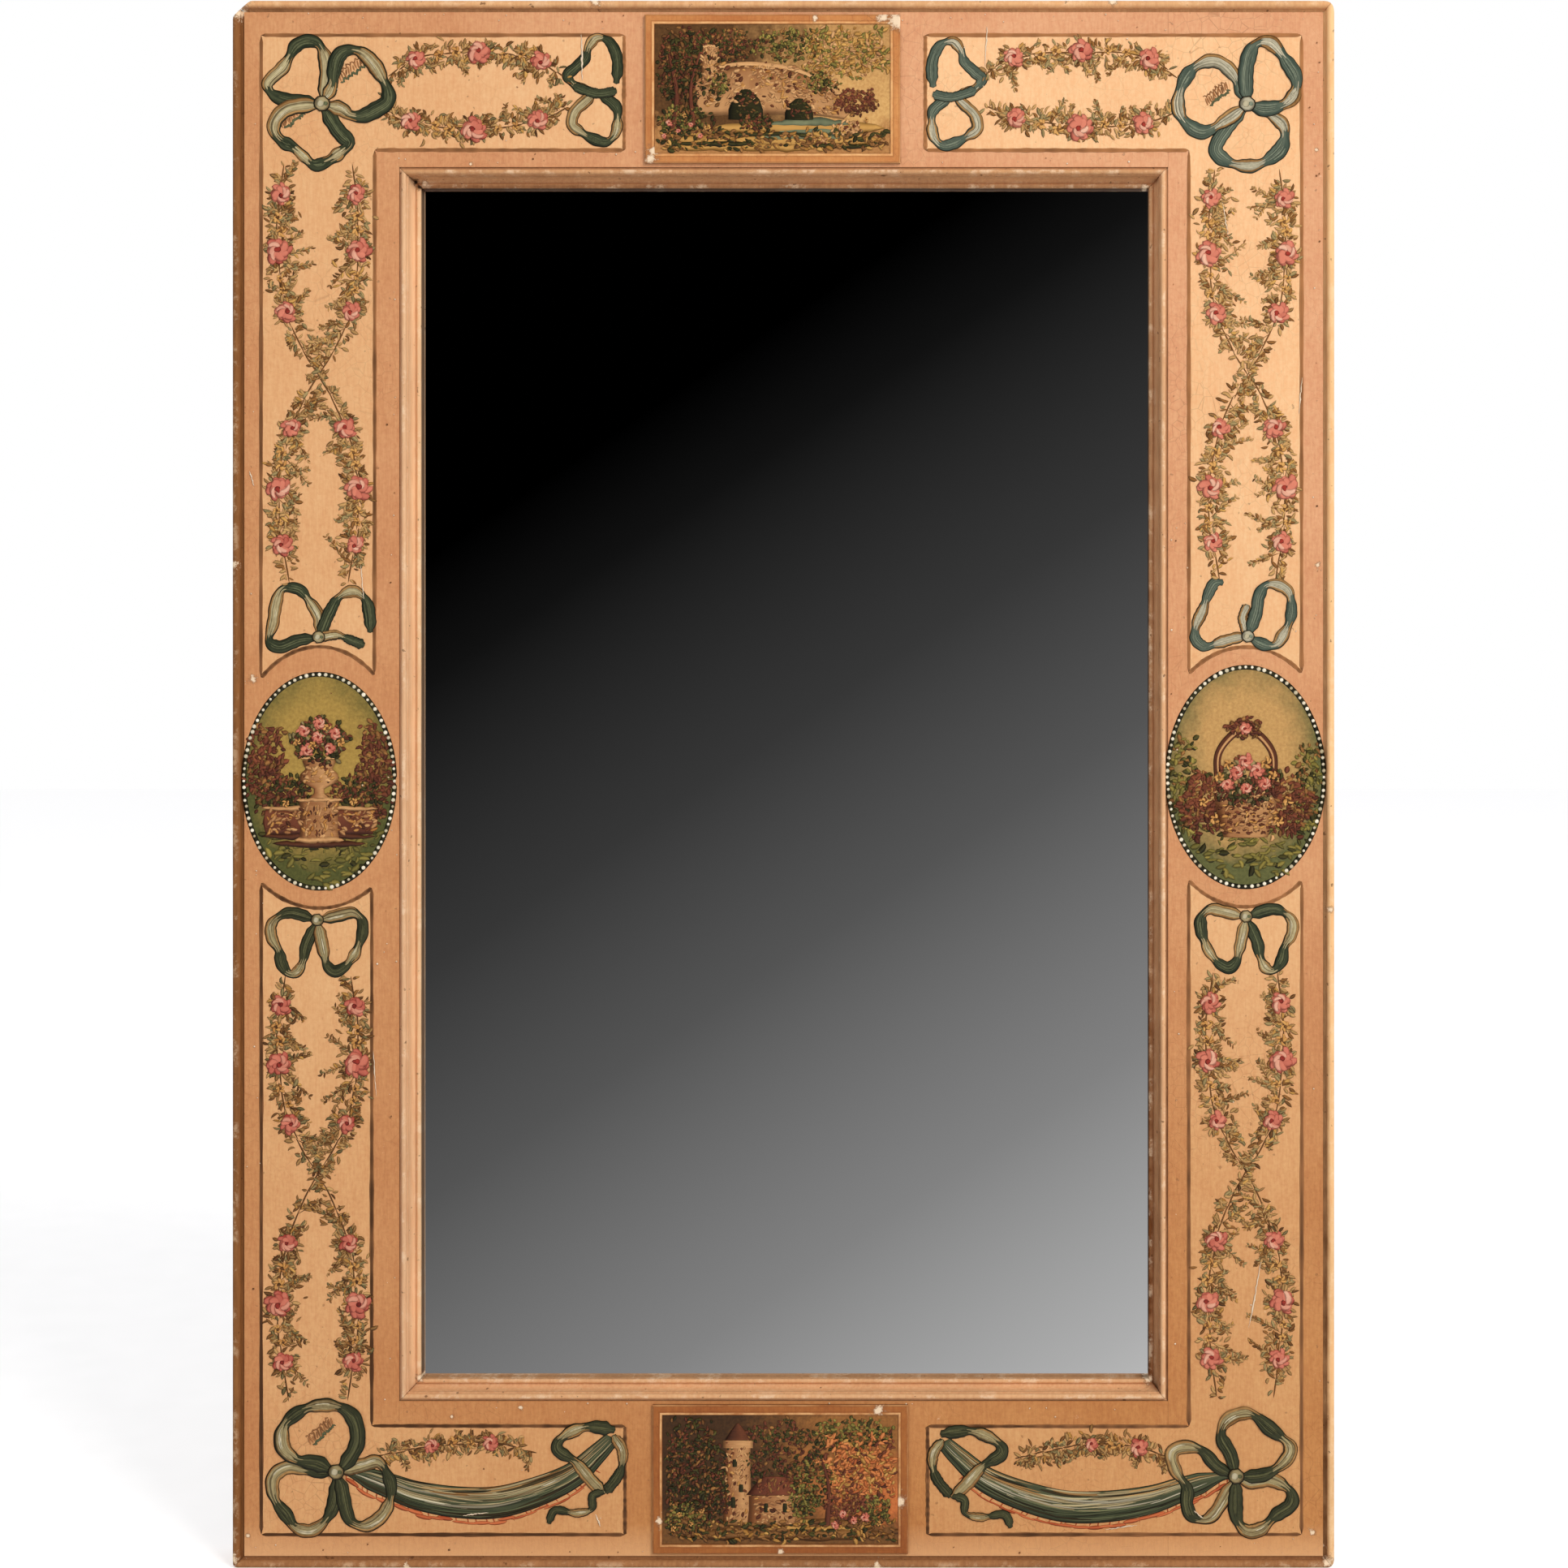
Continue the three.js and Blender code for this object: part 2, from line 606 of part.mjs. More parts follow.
// ---------------------------------------------------------------- hangers

// The strap's side view in Y and Z about the ring's axis: a flat tail, rolled over at its top.
function strapProfile() {
  const shape = new THREE.Shape();
  shape.moveTo(STRAP_Y, HANGER_HEIGHT - STRAP_LENGTH);
  shape.lineTo(STRAP_Y, HANGER_HEIGHT);
  shape.absarc(RING_AXIS_Y, HANGER_HEIGHT, CURL_OUTER, Math.PI, CURL_END, true);
  shape.absarc(RING_AXIS_Y, HANGER_HEIGHT, CURL_INNER, CURL_END, Math.PI, false);
  shape.lineTo(STRAP_Y + STRAP_THICKNESS, HANGER_HEIGHT - STRAP_LENGTH);
  return shape;
}

function makeStrap(name, x) {
  const half = STRAP_WIDTH / 2;
  const bottom = HANGER_HEIGHT - STRAP_LENGTH;
  const outline = new THREE.Shape();
  outline.moveTo(x + half, HANGER_HEIGHT + STRAP_WIDTH);
  outline.lineTo(x - half, HANGER_HEIGHT + STRAP_WIDTH);
  outline.absarc(x, bottom + half, half, Math.PI, 2 * Math.PI);
  const strap = common(alongX(strapProfile(), x - half, x + half), alongY(outline, 0, DEPTH));
  const screws = Object.values(SCREW_HEIGHTS).map((z) => [x, z]);
  addPiece(name, withCuts(strap, holesAt(screws, screwHole())), 'darkIron');
}

// The ring's middle line in X and Z: a straight bar through the strap's curl, and a bow below.
class RingLine extends THREE.Curve {
  constructor(x) {
    super();
    const bar = RING_HALF_WIDTH - RING_BEND;
    const bow = HANGER_HEIGHT - RING_DROP + RING_HALF_WIDTH;
    const bend = HANGER_HEIGHT - RING_BEND;
    this.line = new THREE.Path();
    this.line.moveTo(x, HANGER_HEIGHT);
    this.line.absarc(x + bar, bend, RING_BEND, Math.PI / 2, 0, true);
    this.line.absarc(x, bow, RING_HALF_WIDTH, 0, -Math.PI, true);
    this.line.absarc(x - bar, bend, RING_BEND, Math.PI, Math.PI / 2, true);
    this.line.lineTo(x, HANGER_HEIGHT);
  }

  getPoint(t) {
    const point = this.line.getPointAt(t);
    return new THREE.Vector3(point.x, RING_AXIS_Y, point.y);
  }
}

function makeHanger(name, x) {
  makeStrap(`hanger_strap_${name}`, x);
  const ring = new THREE.TubeGeometry(new RingLine(x), RING_STEPS, WIRE_RADIUS, WIRE_SIDES, true);
  addPiece(`hanger_ring_${name}`, ring, 'brass');
  for (const [place, z] of Object.entries(SCREW_HEIGHTS)) {
    const screw = turnedAlongY(screwProfile(), x, z);
    const slot = new THREE.BoxGeometry(2 * SCREW_HEAD_RADIUS + FIT, 2 * SCREW_SLOT_DEPTH, SCREW_SLOT_WIDTH);
    slot.translate(x, STRAP_Y + STRAP_THICKNESS - GLUE_LINE, z);
    addPiece(`hanger_screw_${name}_${place}`, withCuts(screw, [slot]), 'darkIron');
  }
}

// ---------------------------------------------------------------- assembly

makeStile('stile_left', -1);
makeStile('stile_right', 1);
makeRail('rail_top', 1);
makeRail('rail_bottom', -1);
makeCornerPegs();
makeMouldings();
makePlaque('plaque_top', PLAQUE_TOP_SHIFT, HEIGHT - EDGE_WIDTH - FACE_WIDTH / 2);
makePlaque('plaque_bottom', PLAQUE_BOTTOM_SHIFT, EDGE_WIDTH + FACE_WIDTH / 2);
makeMirrorPlate();
makeGlazingBlocks();
makeBackBoards();
makeHanger('left', -HANGER_X);
makeHanger('right', HANGER_X);

export default frame;
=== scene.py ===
"""Looks of a painted trumeau mirror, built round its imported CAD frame.

Units: sizes in the classes are millimetres, as in the part's source, and become metres when a
mesh is made. X runs to the viewer's right, Z up, and the painted front faces -Y.
"""

import logging
from dataclasses import dataclass, field
from enum import Enum
from typing import Any, Sequence

import bmesh
import bpy
import numpy as np
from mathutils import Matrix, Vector


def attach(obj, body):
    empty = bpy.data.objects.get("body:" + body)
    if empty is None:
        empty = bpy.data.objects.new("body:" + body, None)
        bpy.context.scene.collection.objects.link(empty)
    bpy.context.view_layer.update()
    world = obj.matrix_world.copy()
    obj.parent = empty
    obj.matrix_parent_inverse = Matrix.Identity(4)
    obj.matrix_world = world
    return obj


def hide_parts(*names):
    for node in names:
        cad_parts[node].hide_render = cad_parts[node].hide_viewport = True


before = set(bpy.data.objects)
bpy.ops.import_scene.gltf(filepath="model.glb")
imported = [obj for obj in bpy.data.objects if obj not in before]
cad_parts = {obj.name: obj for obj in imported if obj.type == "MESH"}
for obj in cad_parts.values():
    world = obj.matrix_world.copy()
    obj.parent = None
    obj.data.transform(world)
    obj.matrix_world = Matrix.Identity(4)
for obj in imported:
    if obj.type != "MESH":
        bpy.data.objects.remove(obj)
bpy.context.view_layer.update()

log = logging.getLogger("trumeau")
logging.basicConfig(level=logging.INFO, format="%(name)s: %(message)s")

MM = 0.001
BODY = "frame"
HALF_WIDTH = 351.5
HALF_HEIGHT = 500.0
Array = np.ndarray
Rng = np.random.Generator
Material = bpy.types.Material
Pair = tuple[float, float]
Colour = tuple[float, float, float]
Chip = tuple[float, float, float]


# ---------------- places on the front


@dataclass(frozen=True)
class Levels:
    """Depths of the front's layers along Y, in millimetres; smaller is nearer the viewer.

    film, line, stroke and wear are how far the backs of those layers stand before the face.
    """

    wall: float = 19.0
    face: float = -16.0
    plaque: float = -18.5
    picture: float = -17.9
    film: float = 0.1
    film_thickness: float = 0.09
    line: float = 0.14
    stroke: float = 0.16
    wear: float = 0.44


LEVELS = Levels()
FACES_BACK = 0.4  # the Y of a face's normal from which it belongs to a stroke's or a piece's back
SHARP_ANGLE = 0.7  # radians between faces above which a closed piece's edge stays sharp


# ---------------- pigments


class Pigment(Enum):
    """The painter's colours, each as (dark tone, light tone) in sRGB 0 to 255."""

    LINE = ((72, 42, 16), (190, 128, 78))
    OUTLINE = ((26, 26, 14), (84, 66, 34))
    GREEN = ((24, 34, 20), (128, 132, 92))
    GREEN_FADED = ((52, 68, 58), (160, 168, 142))
    GREEN_BROWN = ((26, 32, 16), (116, 114, 74))
    TAN = ((112, 80, 36), (208, 194, 148))
    TAN_DARK = ((92, 66, 30), (190, 174, 126))
    SILVER = ((120, 112, 88), (222, 212, 182))
    RIBBON_PALE = ((150, 142, 112), (240, 226, 190))
    LEAF_OLIVE = ((112, 72, 28), (212, 166, 104))
    LEAF_DARK = ((66, 38, 14), (158, 106, 52))
    LEAF_GREEN = ((80, 70, 36), (176, 152, 100))
    ROSE = ((158, 52, 42), (222, 132, 106))
    ROSE_PALE = ((206, 124, 100), (240, 188, 158))
    ROSE_HEART = ((84, 14, 10), (168, 56, 42))
    BUD = ((160, 96, 38), (226, 170, 96))
    PEARL = ((168, 152, 112), (255, 246, 222))
    PEARL_GROUND = ((18, 18, 10), (70, 66, 38))
    FRINGE = ((160, 60, 26), (222, 124, 74))
    GESSO = ((222, 184, 142), (255, 240, 214))
    OCHRE = ((150, 98, 36), (222, 170, 92))
    FOLIAGE = ((34, 32, 14), (96, 88, 38))
    FOLIAGE_LIT = ((92, 86, 36), (168, 148, 70))
    STONE = ((140, 84, 44), (232, 178, 118))
    STONE_SHADE = ((62, 32, 18), (128, 70, 40))
    EARTH = ((88, 52, 24), (176, 122, 64))
    WARM = ((168, 78, 34), (232, 148, 84))
    RUSSET = ((70, 34, 22), (142, 76, 48))
    WATER = ((70, 82, 62), (150, 152, 112))

    @property
    def column(self) -> int:
        """The pigment's place in the palette."""
        return list(Pigment).index(self)


PIGMENTS = len(Pigment)
Shares = Sequence[tuple[Pigment, float]]


def shares(**parts: float) -> Shares:
    """Pigments by name, each with the share of the strokes that take it."""
    return tuple((Pigment[name], share) for name, share in parts.items())


def pick(rng: Rng, hues: Shares, k: int) -> Array:
    """Palette columns for k strokes, drawn by the pigments' shares."""
    return rng.choice([hue.column for hue, _ in hues], k, p=[share for _, share in hues])


def linear(colour: Sequence[float]) -> tuple[float, float, float, float]:
    """Turns an sRGB colour of 0 to 255 into linear RGBA.

    Args:
        colour: red, green and blue as the eye sees them.

    Returns:
        The same colour in linear light, with alpha 1. Below 0.04045 a value is divided by
        12.92; above it, it is ((value + 0.055) / 1.055) to the power 2.4.
    """
    c = np.asarray(colour, float) / 255
    out = np.where(c <= 0.04045, c / 12.92, ((c + 0.055) / 1.055) ** 2.4)
    return (float(out[0]), float(out[1]), float(out[2]), 1.0)


# ---------------- mesh building


@dataclass
class Mesh:
    """A piece under construction: vertices, faces and a map coordinate for each vertex."""

    points: list[Array] = field(default_factory=list)
    faces: list[Array] = field(default_factory=list)
    marks: list[Array] = field(default_factory=list)
    count: int = 0

    def add(self, points: Array, faces: Sequence[Array], marks: Array) -> None:
        """Adds one patch.

        Args:
            points: (n, 3) places in millimetres.
            faces: arrays of vertex numbers within the patch, (k, 3) or (k, 4).
            marks: (n, 2) map coordinates.
        """
        self.points.append(points.reshape(-1, 3))
        self.marks.append(marks.reshape(-1, 2))
        self.faces.extend(f.reshape(-1, f.shape[-1]) + self.count for f in faces)
        self.count += len(self.points[-1])

    def build(self, name: str, material: Material, slot: str = "painted_board", smooth: bool = True,
              closed: bool = False) -> bpy.types.Object:
        """Makes the Blender object, dresses it and lets it ride on the frame.

        Args:
            name: the piece's name.
            material: its finish.
            slot: a material slot's name; not used.
            smooth: whether its faces, other than those at its back, are shaded smooth.
            closed: whether it is one skin, whose seams are merged.

        Returns:
            The new object, at the origin and unturned.
        """
        points = np.concatenate(self.points) * MM
        marks = np.concatenate(self.marks)
        loops = np.concatenate([f.ravel() for f in self.faces]).astype(np.int32)
        sizes = np.concatenate([np.full(len(f), f.shape[1]) for f in self.faces])
        starts = np.concatenate([[0], np.cumsum(sizes)[:-1]]).astype(np.int32)
        mesh = bpy.data.meshes.new(name)
        mesh.vertices.add(len(points))
        mesh.vertices.foreach_set("co", points.ravel().astype(np.float32))
        mesh.loops.add(len(loops))
        mesh.loops.foreach_set("vertex_index", loops)
        mesh.polygons.add(len(sizes))
        mesh.polygons.foreach_set("loop_start", starts)
        layer = mesh.uv_layers.new(name="OFBake")
        layer.uv.foreach_set("vector", marks[loops].ravel().astype(np.float32))
        mesh.update(calc_edges=True)
        mesh.validate()
        facing = np.empty((len(mesh.polygons), 3), np.float32)
        mesh.polygons.foreach_get("normal", facing.ravel())
        mesh.polygons.foreach_set("use_smooth", smooth & (facing[:, 1] < FACES_BACK))
        mesh.materials.append(material)
        piece = bpy.data.objects.new(name, mesh)
        bpy.context.scene.collection.objects.link(piece)
        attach(piece, BODY)
        if closed:
            merge_seams(mesh)
        log.info("%s: %d faces", name, len(sizes))
        return piece


def grid_faces(rows: int, columns: int, wrap: bool = False) -> Array:
    """Quads of a grid of vertices numbered row by row.

    Args:
        rows: how many rows.
        columns: vertices in a row.
        wrap: whether the last column joins the first.

    Returns:
        (k, 4) vertex numbers. Seen with rows to the right and columns upwards, they run
        anticlockwise.
    """
    i, j = np.meshgrid(np.arange(rows - 1), np.arange(columns - (not wrap)), indexing="ij")
    after = (j + 1) % columns
    return np.stack([i * columns + j, (i + 1) * columns + j, (i + 1) * columns + after,
                     i * columns + after], -1).reshape(-1, 4)


def slab(mesh: Mesh, front: Array, thickness: float) -> None:
    """Adds a closed sheet: a front grid, the same grid set back, and walls between them.

    Args:
        mesh: where it goes.
        front: (rows, columns, 3) places of the front, its rows running right and its columns up.
        thickness: how far the back lies behind the front.
    """
    rows, columns = front.shape[:2]
    half = rows * columns
    top = grid_faces(rows, columns)
    number = np.arange(half).reshape(rows, columns)
    rim = np.concatenate([number[:, 0], number[-1, 1:], number[-2::-1, -1], number[0, -2:0:-1]])
    after = np.roll(rim, -1)
    walls = np.stack([rim, rim + half, after + half, after], -1)
    points = np.concatenate([front.reshape(-1, 3), (front + (0, thickness, 0)).reshape(-1, 3)])
    mesh.add(points, [top, top[:, ::-1] + half, walls], planar_marks(points))


def planar_marks(places: Array) -> Array:
    """Map coordinates that lay the X and Z of (n, 3) places over the unit square."""
    flat = places[:, [0, 2]]
    low = flat.min(0)
    return 0.01 + 0.98 * (flat - low) / (flat - low).max()


def strokes(mesh: Mesh, centre: Array, half: Array, level: Array | float, rise: float,
            pigment: Array | Pigment, light: Array | float, across: int = 3,
            sheen: Array | None = None) -> None:
    """Adds brush strokes: low domes of paint along paths, pointed at both ends.

    A point lies at centre + v * half * normal, with v from -1 to 1 across the stroke, and stands
    rise * (1 - v squared) proud, less where the stroke is narrow. The back is flat. The map's u
    is the pigment's column and its v the paint's lightness.

    Args:
        mesh: where they go.
        centre: (k, n, 2) places in X and Z of k paths of n points.
        half: half widths, (k, n) or any shape that spreads to it.
        level: Y of the back of each stroke, or of all.
        rise: height of their domes.
        pigment: one for all, or (k,) palette columns.
        light: lightness along each stroke, 0 to 1, (k, n) or any shape that spreads to it.
        across: points across a stroke.
        sheen: what is added to the lightness across the strokes, (k, n - 2, across) or any shape
            that spreads to it; without it, their middles are lighter than their edges.
    """
    k, n = centre.shape[:2]
    half, light = np.broadcast_to(half, (k, n)), np.broadcast_to(light, (k, n))
    level = np.broadcast_to(np.asarray(level, float), (k,))
    column = np.broadcast_to(pigment.column if isinstance(pigment, Pigment) else pigment, (k,))
    run = np.gradient(centre, axis=1)
    run /= np.linalg.norm(run, axis=2, keepdims=True) + 1e-9
    normal = np.stack([-run[..., 1], run[..., 0]], -1)
    v = np.linspace(-1, 1, across)
    widest = half.max(1)[:, None, None] + 1e-9
    inner = centre[:, 1:-1, None, :] + (half[:, 1:-1, None] * v)[..., None] * normal[:, 1:-1, None]
    dome = (1 - v**2)[None, None] * half[:, 1:-1, None] / widest
    depth = level[:, None, None] - rise * dome - 0.02
    ring = np.stack([inner[..., 0], depth, inner[..., 1]], -1).reshape(k, -1, 3)
    ends = [np.stack([centre[:, e, 0], level, centre[:, e, 1]], -1)[:, None] for e in (0, -1)]
    u = (column[:, None] + 0.5 + 0.4 * (np.linspace(0, 1, n)[None] - 0.5)) / PIGMENTS
    if sheen is None:
        sheen = (0.16 - 0.3 * v**2 + 0.06 * v)[None, None]
    shade = np.broadcast_to(light[:, 1:-1, None] + sheen, (k, n - 2, across))
    side = np.broadcast_to(u[:, 1:-1, None], shade.shape)
    inner_marks = np.stack([side, np.clip(shade, 0.02, 0.98)], -1).reshape(k, -1, 2)
    tips = [np.stack([u[:, e], np.clip(light[:, e] - 0.12, 0.03, 0.97)], -1)[:, None] for e in (0, -1)]
    per = (n - 2) * across + 2
    quads = grid_faces(n - 2, across, wrap=True) + 1
    j = np.arange(across)
    after = (j + 1) % across
    first = np.stack([np.zeros(across, int), 1 + j, 1 + after], -1)
    last_ring = 1 + (n - 3) * across
    last = np.stack([last_ring + j, np.full(across, per - 1), last_ring + after], -1)
    step = (np.arange(k) * per)[:, None, None]
    points = np.concatenate([ends[0], ring, ends[1]], 1)
    fans = np.concatenate([first, last])
    mesh.add(points, [(quads[None] + step).reshape(-1, 4), (fans[None] + step).reshape(-1, 3)],
             np.concatenate([tips[0], inner_marks, tips[1]], 1))


def smooth_path(points: Sequence[Sequence[float]], count: int) -> Array:
    """A Catmull-Rom curve through points, evenly spaced along its length.

    Between two points it is the cubic that meets each with half the step between that point's
    neighbours as its slope.

    Args:
        points: places in X and Z.
        count: how many places to return.

    Returns:
        (count, 2) places.
    """
    p = np.asarray(points, float)
    p = np.concatenate([2 * p[:1] - p[1:2], p, 2 * p[-1:] - p[-2:-1]])
    t = np.linspace(0, 1, 16, endpoint=False)[None, :, None]
    a, b, c, d = (x[:, None] for x in (p[:-3], p[1:-2], p[2:-1], p[3:]))
    fine = 0.5 * (2 * b + (c - a) * t + (2 * a - 5 * b + 4 * c - d) * t**2
                  + (3 * b - a - 3 * c + d) * t**3)
    return even(np.concatenate([fine.reshape(-1, 2), p[-2:-1]]), count)


def taper(n: int, blunt: float = 0.5) -> Array:
    """Width at n points of a stroke: sin(pi s) to the power blunt, 0 at both ends."""
    return np.clip(np.sin(np.pi * np.linspace(0, 1, n)), 0, 1) ** blunt


# ---------------- node materials


class Nodes:
    """A node tree put together step by step."""

    def __init__(self, tree: bpy.types.NodeTree) -> None:
        """Empties the tree."""
        self.tree = tree
        tree.nodes.clear()

    def feed(self, socket: Any, value: Any) -> None:
        """Links an output to a socket, or sets its value."""
        if isinstance(value, bpy.types.NodeSocket):
            self.tree.links.new(value, socket)
        else:
            socket.default_value = value

    def node(self, kind: str, inputs: dict[Any, Any] | None = None, **settings: Any) -> Any:
        """Adds a node.

        Args:
            kind: its type, without the ShaderNode prefix.
            inputs: values or sockets for its inputs, by name or number.
            settings: its own properties.

        Returns:
            The node.
        """
        made = self.tree.nodes.new("ShaderNode" + kind)
        for key, value in settings.items():
            setattr(made, key, value)
        for key, value in (inputs or {}).items():
            self.feed(made.inputs[key], value)
        return made

    def maths(self, operation: str, *values: Any) -> Any:
        """The value of a Math node, whose operation has Blender's name, on sockets or numbers."""
        return self.node("Math", dict(enumerate(values)), operation=operation).outputs[0]

    def times(self, first: Any, second: Any) -> Any:
        """Two sockets or numbers multiplied."""
        return self.maths("MULTIPLY", first, second)

    def line(self, value: Any, factor: Any, more: Any) -> Any:
        """value * factor + more, of sockets or numbers."""
        return self.maths("MULTIPLY_ADD", value, factor, more)

    def ramp(self, value: Any, stops: Sequence[tuple[float, Sequence[float]]],
             constant: bool = False) -> Any:
        """A colour ramp.

        Args:
            value: what it reads.
            stops: places and sRGB colours, or grey levels of 0 to 1 given as one number.
            constant: whether colours change in steps.

        Returns:
            The colour socket.
        """
        made = self.node("ValToRGB", {0: value})
        ramp = made.color_ramp
        ramp.interpolation = "CONSTANT" if constant else "LINEAR"
        while len(ramp.elements) < len(stops):
            ramp.elements.new(0.5)
        for element, (at, colour) in zip(ramp.elements, sorted(stops, key=lambda s: s[0])):
            element.position = at
            grey = np.isscalar(colour)
            element.color = (colour, colour, colour, 1) if grey else linear(colour)
        return made.outputs[0]

    def mix(self, share: Any, first: Any, second: Any, blend: str = "MIX") -> Any:
        """Mixes two colours.

        Args:
            share: how much of the second, as a number or socket.
            first: a socket, an sRGB colour or a linear colour with alpha.
            second: the same.
            blend: Blender's name for the way to mix.

        Returns:
            The colour socket.
        """
        made = self.node("Mix", data_type="RGBA", blend_type=blend, clamp_factor=True)
        sockets = [s for s in made.inputs if s.name in ("A", "B") and s.type == "RGBA"]
        for socket, value in zip([made.inputs[0], *sockets], [share, first, second]):
            colour = not (isinstance(value, bpy.types.NodeSocket) or np.isscalar(value))
            self.feed(socket, linear(value) if colour and len(value) == 3 else value)
        return next(s for s in made.outputs if s.type == "RGBA")


class Recipe(Nodes):
    """A material put together step by step, with its shader and the object's coordinates."""

    def __init__(self, name: str) -> None:
        """Starts an empty material with its shader."""
        self.material = bpy.data.materials.new(name)
        self.material.use_nodes = True
        super().__init__(self.material.node_tree)
        self.shader = self.tree.nodes.new("ShaderNodeBsdfPrincipled")
        self.node("OutputMaterial", {0: self.shader.outputs[0]})
        self.place = self.node("TexCoord").outputs["Object"]

    def scaled(self, scale: Sequence[float]) -> Any:
        """Object coordinates stretched along the axes, as a vector socket."""
        return self.node("Mapping", {"Vector": self.place, "Scale": scale}).outputs[0]

    def noise(self, scale: float, detail: float = 4, rough: float = 0.55, where: Any = None) -> Any:
        """A noise value of about 0 to 1.

        Args:
            scale: spots in a metre.
            detail: octaves.
            rough: weight of the fine octaves.
            where: coordinates, or the object's own.

        Returns:
            The value socket.
        """
        return self.node("TexNoise", {"Vector": where or self.place, "Scale": scale,
                                      "Detail": detail, "Roughness": rough}).outputs[0]

    def painted_light(self) -> Any:
        """Painted light falling from the upper right: 0.08 + 0.86 z + 1.8 x (z - 0.28), in metres.

        It is over 1 at the top right, about 0.5 at the top left and 0.2 along the bottom.
        """
        x, z = self.axis("X"), self.axis("Z")
        tilt = self.times(x, self.line(z, 1.8, -0.504))
        return self.maths("ADD", tilt, self.line(z, 0.86, 0.08))

    def axis(self, name: str, where: Any = None) -> Any:
        """One coordinate, X, Y or Z, as a socket."""
        return self.node("SeparateXYZ", {0: where or self.place}).outputs[name]

    def chipped(self, base: Any, chips: Sequence[Chip], bare: Colour = (248, 222, 188),
                front_only: bool = False) -> Any:
        """Bares what lies under the paint in ragged spots, with a brown rim.

        Args:
            base: the colour socket.
            chips: for each spot, its X, Z and radius in millimetres.
            bare: what shows there.
            front_only: whether the spots fade out behind the painted face.

        Returns:
            The colour socket.
        """
        if not chips:
            return base
        ragged = self.line(self.noise(260, 7, 0.85), 5.0, -1.5)
        x, z = self.axis("X"), self.axis("Z")
        near: Any = 9.0
        for cx, cz, radius in chips:
            dx = self.line(x, 1000 / radius, -cx / radius)
            dz = self.line(z, 1000 / radius, -cz / radius)
            far = self.maths("SQRT", self.line(dx, dx, self.times(dz, dz)))
            near = self.maths("MINIMUM", near, far)
        edge = self.times(near, ragged)
        if front_only:
            behind = self.line(self.axis("Y"), 250.0, 3.0)
            edge = self.maths("ADD", edge, self.maths("MAXIMUM", behind, 0.0))
        base = self.mix(self.ramp(edge, [(0.7, 0.6), (1.0, 0.0)]), base, (132, 82, 44))
        return self.mix(self.ramp(edge, [(0.3, 0.95), (0.66, 0.0)]), base, bare)

    def bump(self, height: Any, distance: float) -> None:
        """Gives the shader a relief; where height is 1 it stands distance metres proud."""
        made = self.node("Bump", {"Height": height, "Distance": distance, "Strength": 1.0})
        self.feed(self.shader.inputs["Normal"], made.outputs[0])

    def set(self, **values: Any) -> Material:
        """Sets or links the shader's sockets, given with _ for each space.

        Args:
            values: numbers, colours or sockets.

        Returns:
            The finished material.
        """
        for key, value in values.items():
            self.feed(self.shader.inputs[key.replace("_", " ")], value)
        return self.material


@dataclass(frozen=True)
class AgedPaint:
    """Old matt paint over gesso: cloudy, finely cracked, rubbed and yellowed in clouds by its varnish, and
    lighter towards the top right by painted light.
    """

    name: str
    # The first colour is where the painted light is strong, the second where it is weak; the second also
    # tints the stains.
    fresh_and_lit: Colour
    aged_and_shaded: Colour
    chips: float = 0.5
    cloud: float = 0.35
    relief: float = 0.00012

    def colour(self, r: Recipe) -> tuple[Any, Any]:
        """Lays out the paint's colour.

        Args:
            r: the recipe to add to.

        Returns:
            The colour socket, and a height of 0 to 1 for relief and roughness.
        """
        # Painted light: the paint goes from the darker colour to the lighter one towards the top right, with
        # some noise.
        tone_and_painted_light = r.line(r.noise(6, 3, 0.5), 0.36, r.maths("SUBTRACT", r.painted_light(), 0.18))
        base = r.mix(r.ramp(tone_and_painted_light, [(0.08, 0.0), (1.0, 1.0)]), self.aged_and_shaded, self.fresh_and_lit)
        cloud = r.ramp(r.noise(16, 6, 0.6), [(0.3, 0.0), (0.72, 1.0)])
        base = r.mix(r.times(cloud, self.cloud), base, self.aged_and_shaded, "MULTIPLY")
        mottle = r.noise(420, 3, 0.6)
        base = r.mix(0.16, base, r.ramp(mottle, [(0.3, (120, 104, 90)), (0.7, (255, 250, 240))]),
                     "SOFT_LIGHT")
        weave = r.noise(1.0, 2, 0.5, r.scaled((900, 900, 120)))
        base = r.mix(0.12, base, r.ramp(weave, [(0.35, (110, 90, 74)), (0.65, (250, 240, 228))]),
                     "SOFT_LIGHT")
        cracks = r.node("TexVoronoi", {"Vector": r.place, "Scale": 130.0},
                        feature="DISTANCE_TO_EDGE").outputs[0]
        crack = r.ramp(cracks, [(0.0, 1.0), (0.03, 0.0)])
        seen = r.times(crack, r.ramp(r.noise(9, 3), [(0.5, 0.0), (0.7, 0.35)]))
        base = r.mix(seen, base, (122, 70, 34))
        spots = r.ramp(r.noise(260, 2, 0.4), [(0.24, 1.0), (0.27, 0.0)])
        base = r.mix(r.times(spots, 0.4), base, (112, 66, 34))
        rubbed = r.times(r.ramp(r.noise(150, 5, 0.7), [(0.7, 0.0), (0.74, 1.0)]),
                         r.ramp(r.noise(22, 2), [(0.5, 0.0), (0.64, self.chips)]))
        base = r.mix(rubbed, base, (252, 226, 192))
        height = r.maths("SUBTRACT", r.line(mottle, 0.4, r.times(weave, 0.3)),
                         r.times(crack, 0.3))
        return base, height

    def make(self) -> Material:
        """The paint as a material of its own."""
        r = Recipe(self.name)
        base, height = self.colour(r)
        r.bump(height, self.relief)
        return r.set(Base_Color=base, Roughness=r.ramp(height, [(0.0, 0.7), (0.7, 0.5)]),
                     Specular_IOR_Level=0.3)


